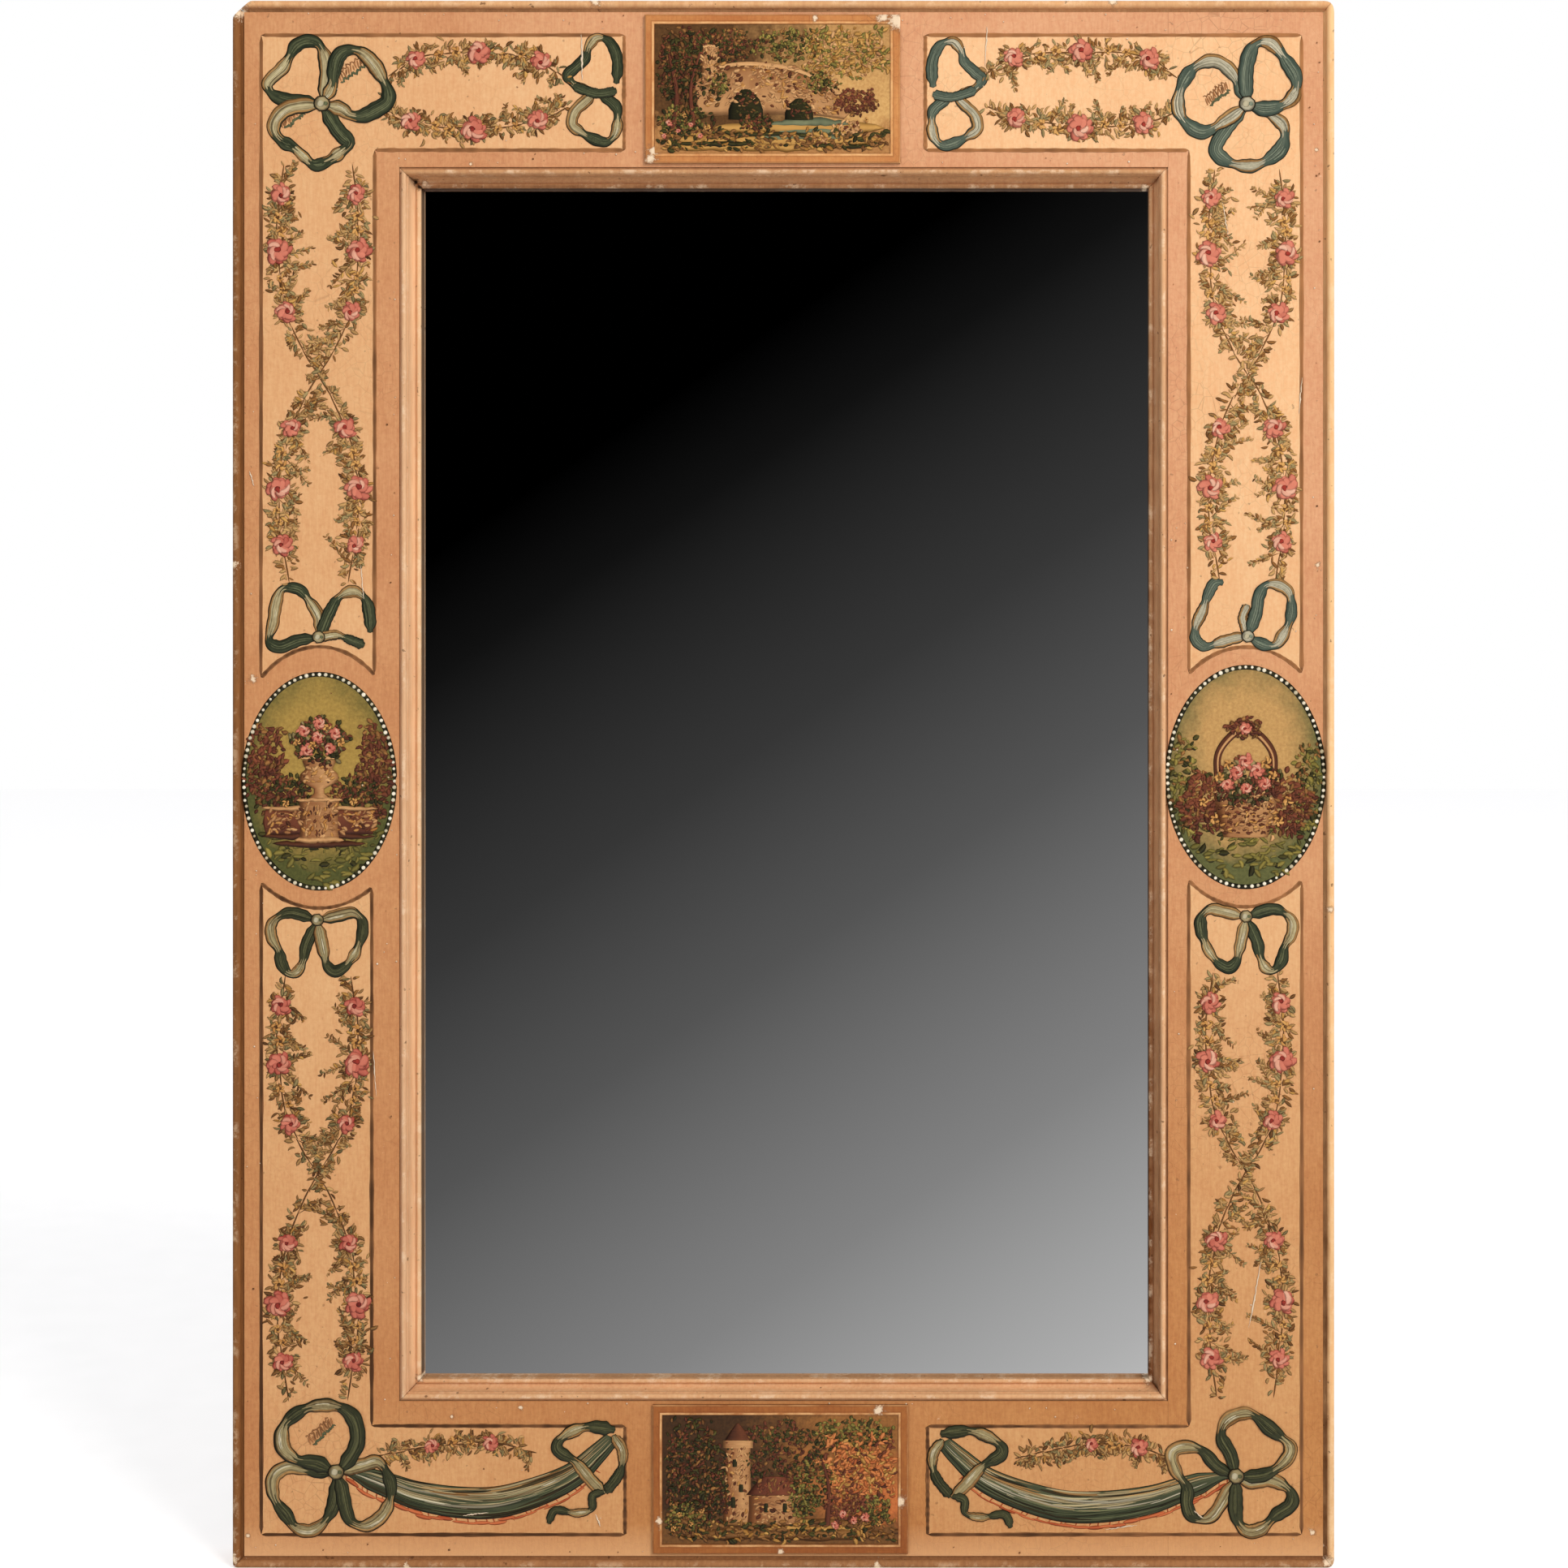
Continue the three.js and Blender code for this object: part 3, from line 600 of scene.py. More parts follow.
@dataclass(frozen=True)
class BarePine:
    """Old softwood, brown with age, its grain along one axis."""

    name: str
    along: str = "Z"
    light: Colour = (198, 156, 106)
    dark: Colour = (138, 96, 58)
    shift: float = 0.0

    def colour(self, r: Recipe) -> tuple[Any, Any]:
        """Lays out the grain.

        Args:
            r: the recipe to add to.

        Returns:
            The colour socket, and a height of 0 to 1.
        """
        stretch = {"X": (0.04, 1, 1), "Y": (1, 0.04, 1), "Z": (1, 1, 0.04)}[self.along]
        fine = r.noise(1.0, 6, 0.65, r.scaled([s * 420 for s in stretch]))
        bend = r.noise(1.0, 2, 0.5, r.scaled([s * 9 for s in stretch]))
        side = r.axis("X" if self.along == "Z" else "Z")
        turn = r.line(side, 420.0, r.line(bend, 34.0, self.shift))
        rings = r.line(r.maths("SINE", turn), 0.5, 0.5)
        rings = r.times(rings, r.ramp(bend, [(0.35, 0.15), (0.6, 1.0)]))
        grain = r.line(fine, 0.7, r.times(rings, 0.3))
        base = r.mix(r.ramp(grain, [(0.25, 0.0), (0.8, 1.0)]), self.light, self.dark)
        grime = r.ramp(r.noise(12, 5, 0.6), [(0.35, 0.45), (0.65, 0.0)])
        base = r.mix(grime, base, (92, 66, 42), "MIX")
        return base, grain

    def make(self) -> Material:
        """The wood as a material of its own."""
        r = Recipe(self.name)
        base, grain = self.colour(r)
        r.bump(grain, 0.0004)
        return r.set(Base_Color=base, Roughness=r.ramp(grain, [(0.0, 0.9), (1.0, 0.7)]),
                     Specular_IOR_Level=0.25)


@dataclass(frozen=True)
class PaintedBoard:
    """A board whose face is painted and whose other sides are bare wood."""

    name: str
    paint: AgedPaint
    wood: BarePine
    chips: tuple[Chip, ...] = ()

    def make(self) -> Material:
        """Paint where Y is at the face, wood behind it, with a painted highlight along the frame's bottom
        edge.
        """
        r = Recipe(self.name)
        paint, height = self.paint.colour(r)
        # Painted light: the paint is lighter within about 30 mm of the frame's foot.
        foot = r.ramp(r.times(r.axis("Z"), 25.0), [(0.2, 0.6), (0.7, 0.0)])
        paint = r.chipped(r.mix(foot, paint, (238, 186, 134)), self.chips)
        wood, grain = self.wood.colour(r)
        behind = r.maths("GREATER_THAN", r.axis("Y"), (LEVELS.face + 0.3) * MM)
        base = r.mix(behind, paint, wood)
        r.bump(r.mix(behind, height, grain), 0.0002)
        return r.set(Base_Color=base, Roughness=0.62, Specular_IOR_Level=0.3)


@dataclass(frozen=True)
class Brushwork:
    """The painter's palette as one material.

    The map's u picks a pigment and its v the tone between that pigment's dark and light.
    """

    name: str = "brushwork"

    def make(self) -> Material:
        """Two stepped ramps of dark and light tones, mixed by the map's v."""
        r = Recipe(self.name)
        marks = r.node("UVMap", uv_map="OFBake").outputs[0]
        u, v = r.axis("X", marks), r.axis("Y", marks)
        tones = [[(p.column / PIGMENTS, p.value[side]) for p in Pigment] for side in (0, 1)]
        dark, light = (r.ramp(u, stops, constant=True) for stops in tones)
        return r.set(Base_Color=r.mix(v, dark, light), Roughness=0.5, Specular_IOR_Level=0.3)


# ---------------- mouldings


@dataclass(frozen=True)
class MouldingPaint:
    """Paint on a moulding: its hollows hold brown glaze and its high parts are rubbed light.

    The map's v runs round the section, and the stops say how dark the glaze, with painted shade in it, and
    how rubbed the paint is along it. The glaze is deepened by painted shade where the painted light from the
    upper right is weak, more so for a larger depth. Chips show gesso.
    """

    name: str
    high: Colour
    low: Colour
    worn: Colour
    glaze_and_shade: tuple[Pair, ...]
    rubbed: tuple[Pair, ...]
    depth: float = 1.0
    chips: tuple[Chip, ...] = ()
    gaps: tuple[Chip, ...] = ()
    wall: float = 1.0
    outside: Colour | None = None

    def make(self) -> Material:
        """Mixes high paint, glaze and rubbed gesso by the place in the section and by noise.

        From v = wall on, where a section turns to face the glass, the paint is darkened by painted shade.
        Before v = 0.36, on the frame's outside, it is the colour called outside, if there is one.
        """
        r = Recipe(self.name)
        v = r.axis("Y", r.node("UVMap", uv_map="OFBake").outputs[0])
        cloud = r.noise(28, 5, 0.65)
        wobble = r.line(cloud, 0.02, r.maths("SUBTRACT", v, 0.01))
        # Painted shade: the glaze deepens where the painted light is weak, scaled by the side's depth.
        painted_shade_depth = r.line(r.painted_light(), -0.7 * self.depth, 1.15 * self.depth)
        patch = r.times(painted_shade_depth, r.ramp(r.noise(60, 4, 0.6), [(0.3, 0.55), (0.7, 1.0)]))
        base = r.mix(r.ramp(r.noise(9, 5, 0.6), [(0.35, 0.0), (0.7, 0.5)]), self.high,
                     [c * 0.84 for c in self.high])
        if self.outside:
            base = r.mix(r.ramp(wobble, [(0.34, 1.0), (0.37, 0.0)]), base, self.outside)
        base = r.mix(r.times(r.ramp(wobble, self.glaze_and_shade), patch), base, self.low)
        streak = r.noise(1.0, 3, 0.6, r.scaled((500, 500, 60)))
        base = r.mix(0.25, base, r.ramp(streak, [(0.3, (96, 80, 66)), (0.7, (255, 246, 236))]),
                     "SOFT_LIGHT")
        rub = r.times(r.ramp(wobble, self.rubbed),
                      r.ramp(r.noise(85, 6, 0.75), [(0.52, 0.0), (0.62, 1.0)]))
        base = r.mix(rub, base, self.worn)
        # Painted shade on the wall that faces the glass.
        if self.wall < 1:
            base = r.mix(r.ramp(wobble, [(self.wall, 0.0), (self.wall + 0.02, 0.85)]), base, (64, 42, 26))
        flecks = r.ramp(r.noise(240, 3, 0.5), [(0.27, 0.7), (0.31, 0.0)])
        base = r.mix(flecks, base, (88, 52, 26))
        base = r.chipped(base, self.chips, front_only=bool(self.outside))
        base = r.chipped(base, self.gaps, (34, 20, 10))
        height = r.line(streak, 0.3, r.times(r.noise(240, 4, 0.6), 0.6))
        r.bump(height, 0.00025)
        return r.set(Base_Color=base, Roughness=r.ramp(cloud, [(0.3, 0.66), (0.7, 0.5)]),
                     Specular_IOR_Level=0.08)


@dataclass(frozen=True)
class Side:
    """One of the frame's four sides, as quarter turns of the left one about its middle."""

    name: str
    turn: int
    across: float
    along: float


@dataclass(frozen=True)
class WornCorner:
    """A worn outer corner: rounded, or knocked off along a straight line."""

    across: float
    down: float
    straight: bool = False

    def least(self, own: float, other: float, inwards: Array, to_end: Array, share: Array) -> Array:
        """Keeps points within the worn corner.

        A point needs a distance inwards of at least own (1 - t / other) if the loss is straight, and
        own (1 - sqrt(1 - (1 - t / other) squared)) if it is round. t is its distance from the end,
        which grows with the distance inwards along the mitre, so the two are settled in turn.

        Args:
            own: the loss inwards from this side.
            other: the loss along it.
            inwards: distances from the frame's outside.
            to_end: distances from the frame's end, where nothing is lost.
            share: how much a point moves from the end for each millimetre it moves inwards.

        Returns:
            Distances inwards.
        """
        settled = inwards
        for _ in range(24):
            gone = np.clip(1 - (to_end + share * (settled - inwards)) / other, 0, 1)
            least = own * (gone if self.straight else 1 - np.sqrt(1 - gone**2))
            settled = (settled + np.maximum(inwards, least)) / 2
        return settled


# Counterclockwise as seen from the back: the corner where each side starts, and the next one's
CORNERS = (WornCorner(4.5, 4.5), WornCorner(12.0, 11.0, straight=True),
           WornCorner(7.5, 7.5), WornCorner(6.0, 6.0))


@dataclass
class MitredMoulding:
    """A moulding swept along one side of the frame and mitred at both ends."""

    kind: str
    section: Array
    inset: float
    mitre_gap: float = 0.3
    corners: tuple[WornCorner, ...] = ()
    wander: float = 0.05
    steps: int = 170
    seed: int = 5

    def sides(self) -> list[Side]:
        """The four sides, measured at the moulding's outer edge."""
        w, h = HALF_WIDTH - self.inset, HALF_HEIGHT - self.inset
        return [Side("left", 0, w, h), Side("top", 1, h, w), Side("right", 2, w, h),
                Side("bottom", 3, h, w)]

    def worn(self, side: Side, inwards: Array, along: Array, s: Array) -> Array:
        """Distances inwards, with both ends of a side kept within their worn corners."""
        for corner, half in ((side.turn, s < 0), ((side.turn + 1) % 4, s > 0)):
            if self.corners:
                loss = self.corners[corner]
                own, other = (loss.across, loss.down) if side.turn % 2 == 0 else (loss.down, loss.across)
                kept = loss.least(own, other, inwards, side.along - np.abs(along), np.abs(s))
                inwards = np.where(half, kept, inwards)
        return inwards

    def build(self, side: Side, material: Material) -> bpy.types.Object:
        """Sweeps the section along one side.

        The section's first number runs inwards and its second is Y. A point's place along the
        side is s times (half length - inwards - half the mitre's gap), s running from -1 to 1,
        closer set near the ends. Slow noise moves it by a few hundredths of a millimetre.

        Args:
            side: which side.
            material: its paint.

        Returns:
            The piece, which stands for the CAD node of its kind and side.
        """
        rng = np.random.default_rng(self.seed + side.turn)
        s = np.sin(np.linspace(-np.pi / 2, np.pi / 2, self.steps))
        s = (np.sign(s) * np.abs(s) ** 0.8)[:, None]
        inwards = np.broadcast_to(self.section[None, :, 0], (self.steps, len(self.section)))
        along = s * (side.along - inwards - self.mitre_gap / 2)
        inwards = self.worn(side, inwards, along, s)
        along = s * (side.along - inwards - self.mitre_gap / 2)
        phase = rng.uniform(0, 2 * np.pi, (3, 1, 1))
        waves = np.sin(along[None] * np.array([0.013, 0.041, 0.11])[:, None, None] + phase).mean(0)
        depth = self.section[None, :, 1] + self.wander * (1 + waves) * (self.section[None, :, 1] < 0)
        flat = np.stack([inwards - side.across, depth, along], -1)
        cos, sin = [(1, 0), (0, 1), (-1, 0), (0, -1)][side.turn]
        x = cos * flat[..., 0] + sin * flat[..., 2]
        z = -sin * flat[..., 0] + cos * flat[..., 2] + HALF_HEIGHT
        points = np.stack([x, flat[..., 1], z], -1)
        round_it = np.linalg.norm(np.diff(self.section, axis=0, append=self.section[:1]), axis=1)
        v = np.concatenate([[0], np.cumsum(round_it)])
        v = 0.01 + 0.98 * v / v[-1]
        u = 0.01 + 0.98 * (s + 1) / 2
        columns = len(self.section) + 1
        closed = np.concatenate([points, points[:, :1]], 1)
        marks = np.stack(np.broadcast_arrays(u, v[None]), -1)
        mesh = Mesh()
        mesh.add(closed, [grid_faces(self.steps, columns)[:, ::-1]], marks)
        for row, turned in ((0, False), (self.steps - 1, True)):
            cap = closed[row, :-1]
            rim = np.arange(len(cap))
            fan = np.stack([np.full(len(cap), len(cap)), rim, np.roll(rim, -1)], -1)
            edge = marks[row, :-1]
            mesh.add(np.concatenate([cap, cap.mean(0, keepdims=True)]), [fan[:, ::-1] if turned else fan],
                     np.concatenate([edge, edge.mean(0, keepdims=True) + (0.006, 0)]))
        name = f"{self.kind}_{side.name}"
        piece = mesh.build(f"painted_{name}", material, "painted_moulding", closed=True)
        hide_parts(name)
        return piece


def merge_seams(mesh: bpy.types.Mesh) -> None:
    """Merges a closed mesh's seams, turns its faces out and keeps its sharp arrises."""
    work = bmesh.new()
    work.from_mesh(mesh)
    bmesh.ops.remove_doubles(work, verts=work.verts, dist=1e-6)
    bmesh.ops.recalc_face_normals(work, faces=work.faces)
    work.to_mesh(mesh)
    work.free()
    mesh.set_sharp_from_angle(angle=SHARP_ANGLE)


def arc(cx: float, cy: float, rx: float, ry: float, start: float, end: float, n: int) -> Array:
    """Points on an ellipse: (cx + rx cos a, cy + ry sin a), a in degrees.

    Args:
        cx: centre's first coordinate.
        cy: centre's second coordinate.
        rx: radius along the first.
        ry: radius along the second.
        start: first angle.
        end: last angle.
        n: how many points.

    Returns:
        (n, 2) points.
    """
    a = np.radians(np.linspace(start, end, n))
    return np.stack([cx + rx * np.cos(a), cy + ry * np.sin(a)], -1)


@dataclass(frozen=True)
class EdgeSection:
    """Bead, quirk and deep back of the moulding round the outside."""

    bead: float = 5.0
    rise: float = 3.0
    quirk: float = 2.0
    quirk_depth: float = 1.2

    def points(self) -> Array:
        """The section as (inwards, Y), starting at the back outside."""
        r, face = self.bead / 2, LEVELS.face
        spring, floor, width = face - self.rise + r, face + self.quirk_depth, self.bead + self.quirk
        return np.concatenate([
            [[0, LEVELS.wall], [0, 6], [0, -4]],
            arc(r, spring, r, r, 180, 360, 15),
            [[self.bead, floor - 0.3], [self.bead + 0.3, floor], [width - 0.3, floor],
             [width, floor + 0.2], [width, 0], [width, LEVELS.wall]],
        ])


@dataclass(frozen=True)
class SightSection:
    """Quirk, bead, fillet, cove and lip of the moulding round the glass."""

    quirk: float = 1.6
    quirk_depth: float = 1.0
    bead: float = 1.6
    bead_rise: float = 2.2
    fillet: float = 0.8
    cove_width: float = 3.4
    cove_depth: float = 8.0
    lip: float = 1.5
    lip_rise: float = 1.9
    to_glass: float = 4.9
    glue: float = 0.1

    def points(self) -> Array:
        """The section as (inwards, Y), starting at the quirk by the board."""
        face = LEVELS.face
        spring = face - self.bead_rise + self.bead
        bead_end = self.quirk + 2 * self.bead
        cove = bead_end + self.fillet
        cove_end = cove + self.cove_width
        floor = face + self.fillet + self.cove_depth
        lip_spring = floor - self.lip_rise + self.lip
        width = cove_end + 2 * self.lip
        back = floor + self.to_glass
        return np.concatenate([
            [[self.glue, face + self.quirk_depth], [self.quirk - 0.2, face + self.quirk_depth],
             [self.quirk, face + self.quirk_depth - 0.2]],
            arc(bead_end - self.bead, spring, self.bead, self.bead, 180, 360, 13),
            [[bead_end + 0.05, face + self.fillet - 0.1], [bead_end + 0.2, face + self.fillet],
             [cove - 0.1, face + self.fillet]],
            arc(cove_end, floor - self.cove_depth, self.cove_width, self.cove_depth, 178, 92, 16),
            arc(width - self.lip, lip_spring, self.lip, self.lip, 184, 360, 13),
            [[width, back], [self.glue, back]],
        ])


# ---------------- cream panels and their lines


@dataclass
class CornerPanel:
    """A cream panel in an L round one corner, ending in a curve beside the oval.

    outer and inner are the corner's outer and inner points in X and Z, end is where the level
    arm stops, and the curve is part of an ellipse about the oval's middle.
    """

    name: str
    outer: Pair
    inner: Pair
    end: float
    oval: Pair
    curve: Pair
    line_width: float = 2.3
    seed: int = 11

    def curve_height(self, x: Array) -> Array:
        """Z of the curved end at X: the oval's middle + b sqrt(1 - (dx / a) squared), up or down."""
        a, b = self.curve
        away = np.sign(self.outer[1] - self.oval[1])
        dx = np.clip((x - self.oval[0]) / a, -0.98, 0.98)
        return self.oval[1] + away * b * np.sqrt(1 - dx**2)

    def film(self, material: Material) -> bpy.types.Object:
        """The cream paint: a line from the outer to the inner edge, carried along the L.

        Args:
            material: the cream finish.

        Returns:
            The piece.
        """
        s = np.linspace(0, 1, 13)[None]
        (xo, zo), (xi, zi) = self.outer, self.inner
        t = np.linspace(0, 1, 24)[:, None]
        x_mitre, z_mitre = xo + (xi - xo) * s, zo + (zi - zo) * s
        level = np.stack(np.broadcast_arrays(self.end + (x_mitre - self.end) * t, z_mitre), -1)
        foot = self.curve_height(x_mitre)
        upright = np.stack(np.broadcast_arrays(x_mitre, z_mitre + (foot - z_mitre) * t), -1)
        flat = np.concatenate([level, upright[1:]])
        depth = np.full(flat.shape[:2], LEVELS.face - LEVELS.film)
        mesh = Mesh()
        slab(mesh, np.stack([flat[..., 0], depth, flat[..., 1]], -1), LEVELS.film_thickness)
        return mesh.build(f"cream_panel_{self.name}", material, smooth=False, closed=True)

    def lines(self, material: Material) -> bpy.types.Object:
        """The brown line round the panel, drawn with a loaded brush along a rule.

        Args:
            material: the brushwork.

        Returns:
            The piece.
        """
        rng = np.random.default_rng(self.seed)
        (xo, zo), (xi, zi) = self.outer, self.inner
        foot_o, foot_i = self.curve_height(np.array([xo, xi]))
        x = np.linspace(xo, xi, 30)
        runs = [
            [(self.end, zo), (xo, zo)], [(xo, zo), (xo, foot_o)], [(self.end, zi), (xi, zi)],
            [(xi, zi), (xi, foot_i)], [(self.end, zo), (self.end, zi)],
            list(zip(x, self.curve_height(x))),
        ]
        n = 90
        paths = np.stack([even(run, n) for run in runs])
        paths += 0.12 * np.cumsum(rng.normal(0, 0.35, paths.shape), 1) / 4
        width = self.line_width / 2 * (1 + 0.2 * slow_noise(rng, len(runs), n))
        width *= np.minimum(1, 30 * taper(n, 1.0))
        # Painted light: the lines are lighter towards the top and the right.
        light = 0.16 + 0.5 * paths[..., 1] / 1000 + 0.16 * paths[..., 0] / 350
        light += 0.16 * slow_noise(rng, len(runs), n)
        soft = (0.45 * np.linspace(-1, 1, 7) ** 2 - 0.1)[None, None]
        mesh = Mesh()
        strokes(mesh, paths, width, LEVELS.face - LEVELS.line, 0.02, Pigment.LINE, light, across=7,
                sheen=soft)
        return mesh.build(f"panel_line_{self.name}", material)


def distances(path: Array) -> Array:
    """How far along an (n, 2) path each of its points lies."""
    return np.concatenate([[0], np.cumsum(np.linalg.norm(np.diff(path, axis=0), axis=1))])


def even(points: Sequence[Sequence[float]], n: int) -> Array:
    """Places evenly spaced along straight steps between points.

    Args:
        points: corners in X and Z.
        n: how many places.

    Returns:
        (n, 2) places.
    """
    p = np.asarray(points, float)
    length = distances(p)
    at = np.linspace(0, length[-1], n)
    return np.stack([np.interp(at, length, p[:, i]) for i in (0, 1)], -1)


def slow_noise(rng: Rng, k: int, n: int) -> Array:
    """Smooth random numbers along k paths.

    Args:
        rng: the random source.
        k: paths.
        n: places on each.

    Returns:
        (k, n) numbers of about -1 to 1: four sines of random phase, summed.
    """
    s = np.linspace(0, 1, n)[None, None]
    rate = np.array([1.3, 3.1, 7.7, 17.0])[:, None, None] * rng.uniform(0.8, 1.2, (4, k, 1))
    phase = rng.uniform(0, 2 * np.pi, (4, k, 1))
    return (np.sin(2 * np.pi * (rate * s + phase))).sum(0) / 2.4


# ---------------- ribbons


def sampled(values: Array, at: Array) -> Array:
    """Places or directions at shares of a path's length.

    Args:
        values: (n, 2) numbers along the path.
        at: shares of 0 to 1, in any shape.

    Returns:
        (*shape of at, 2) numbers.
    """
    grid = np.linspace(0, 1, len(values))
    return np.stack([np.interp(at, grid, values[:, i]) for i in (0, 1)], -1)


def normals(path: Array) -> Array:
    """Unit directions to the left of a path, (n, 2)."""
    run = np.gradient(path, axis=0)
    return np.stack([-run[:, 1], run[:, 0]], -1) / np.linalg.norm(run, axis=1, keepdims=True)


def length_of(path: Array) -> float:
    """The length of an (n, 2) path."""
    return np.linalg.norm(np.diff(path, axis=0), axis=1).sum()


@dataclass(frozen=True)
class Ribbon:
    """A silk ribbon, green on one side and tan or silver on the other."""

    green: Pigment = Pigment.GREEN
    grey: Pigment = Pigment.TAN
    green_streaks: tuple[float, ...] = (-0.5, -0.1, 0.35, 0.1)
    grey_streaks: tuple[float, ...] = (-0.72, 0.74, -0.5, 0.5, -0.26, 0.26, 0.02, -0.1)

    def lay(self, mesh: Mesh, path: Array, turns: Sequence[float], starts_green: bool, width: float,
            level: float, rng: Rng) -> None:
        """Paints it: a dark green body, pinched where it turns over, and streaks along each side.

        The body's half width is less by 0.4 exp(-(d / 0.55 width) squared) at a distance d from a
        turn. Streaks follow the body at their share v of its half width, from -1 to 1. Those of
        the light side cover it nearly, are lightest near the middle and brown at the edges; the
        green side has a few. Their ends are uneven, so one side runs into the other.

        Args:
            mesh: where it goes.
            path: (n, 2) places.
            turns: shares of the length where it turns over.
            starts_green: which side shows first.
            width: its full width in millimetres.
            level: Y of its back.
            rng: the random source.
        """
        length = length_of(path)
        normal, n, across = normals(path), 96, 9
        s, v = np.linspace(0, 1, n), np.linspace(-1, 1, across)[None]
        pinch = sum((np.exp(-(((s - turn) * length / (0.55 * width)) ** 2)) for turn in turns), np.zeros(n))
        slack = np.clip(np.minimum(s, 1 - s) / 0.07, 0.5, 1)
        half = width / 2 * (1.0 + 0.08 * slow_noise(rng, 1, n)[0]) * (1 - 0.4 * pinch) * slack
        centre = sampled(path, s)
        strokes(mesh, centre[None], half + 0.35, level, 0.02, Pigment.OUTLINE,
                0.3 + 0.2 * slow_noise(rng, 1, n))
        sheen = 0.2 - 0.14 * v**4 + rng.normal(0, 0.05, (1, across))
        sheen = sheen + 0.06 * slow_noise(rng, across, n)[:, 1:-1].T
        strokes(mesh, centre[None], half, level - 0.02, 0.05, self.green, 0.0, across=across,
                sheen=sheen[None])
        ends = [0.0, *turns, 1.0]
        for i, (start, end) in enumerate(zip(ends, ends[1:])):
            green = starts_green == (i % 2 == 0)
            side = self.green if green else self.grey
            offs = np.array(self.green_streaks if green else self.grey_streaks)
            offs = offs + rng.normal(0, 0.06, len(offs))
            k, m = len(offs), 26
            ragged = 0.45 * width / length * rng.uniform(-1, 1, (2, k, 1)) + (0.03 if green else 0)
            begin, stop = np.clip(start + ragged[0], 0, 1), np.clip(end - ragged[1], 0, 1)
            at = begin + (stop - begin) * np.linspace(0, 1, m)
            body = np.interp(at, s, half)
            line = sampled(path, at) + sampled(normal, at) * (offs[:, None] * body)[..., None]
            thick = body * (0.16 if green else 0.3) * taper(m, 0.35) * rng.uniform(0.6, 1.2, (k, 1))
            tone = (0.42 if green else 0.56) - 0.42 * np.abs(offs[:, None]) ** 1.5
            tone = tone + rng.normal(0, 0.1, (k, 1))
            hues = np.full(k, side.column)
            hues[:2] = side.column if green else Pigment.LEAF_OLIVE.column
            strokes(mesh, line, thick, level - 0.07 - rng.uniform(0, 0.03, k), 0.03, hues,
                    tone + 0.1 * slow_noise(rng, k, m))
            if not green:
                shine = self.grey if self.grey is Pigment.SILVER else Pigment.RIBBON_PALE
                streaks, middle = slice(4, 8, 3), slice(5, 17)
                strokes(mesh, line[streaks, middle], thick[streaks, middle] * 0.5 * taper(12, 0.6),
                        level - 0.1, 0.03, shine, 0.45 + 0.2 * slow_noise(rng, 2, 12))


SILK = Ribbon()
SILVER_SILK = Ribbon(Pigment.GREEN_FADED, Pigment.SILVER)
DUSKY_SILK = Ribbon(Pigment.GREEN_BROWN, Pigment.TAN_DARK)


@dataclass(frozen=True)
class Loop:
    """One loop of ribbon about its knot: its middle line, and where its sides change.

    turns gives the shares of the length at which the ribbon turns over, and starts_green says
    which side shows first. A tied loop begins in the knot, and a shut one ends there too.
    """

    points: tuple[Pair, ...]
    turns: tuple[float, ...]
    starts_green: bool
    width: float = 8.0
    tied: bool = True
    shut: bool = True

    def path(self, n: int) -> Array:
        """The middle line as n places about the knot."""
        points = ([(0, 0)] if self.tied else []) + list(self.points) + ([(0, 0)] if self.shut else [])
        return smooth_path(points, n)


def round_dabs(mesh: Mesh, places: Array, radius: Array, level: float, rise: float, pigment: Pigment,
               tone: Array, lean: Pair = (0.8, 0.6)) -> None:
    """Adds round dabs: at s from -1 to 1 along its slant, a dab is sqrt(1 - s squared) wide.

    Args:
        mesh: where they go.
        places: (k, 2) middles.
        radius: (k,) radii.
        level: Y of their backs.
        rise: height of each dome.
        pigment: their colour.
        tone: (k,) lightness.
        lean: the slant's direction.
    """
    s = np.linspace(-1, 1, 7)
    line = places[:, None] + (radius[:, None] * s)[..., None] * np.array(lean)
    strokes(mesh, line, radius[:, None] * np.sqrt(1 - s**2), level, rise, pigment,
            np.clip(tone, 0.05, 0.95)[:, None], across=5)


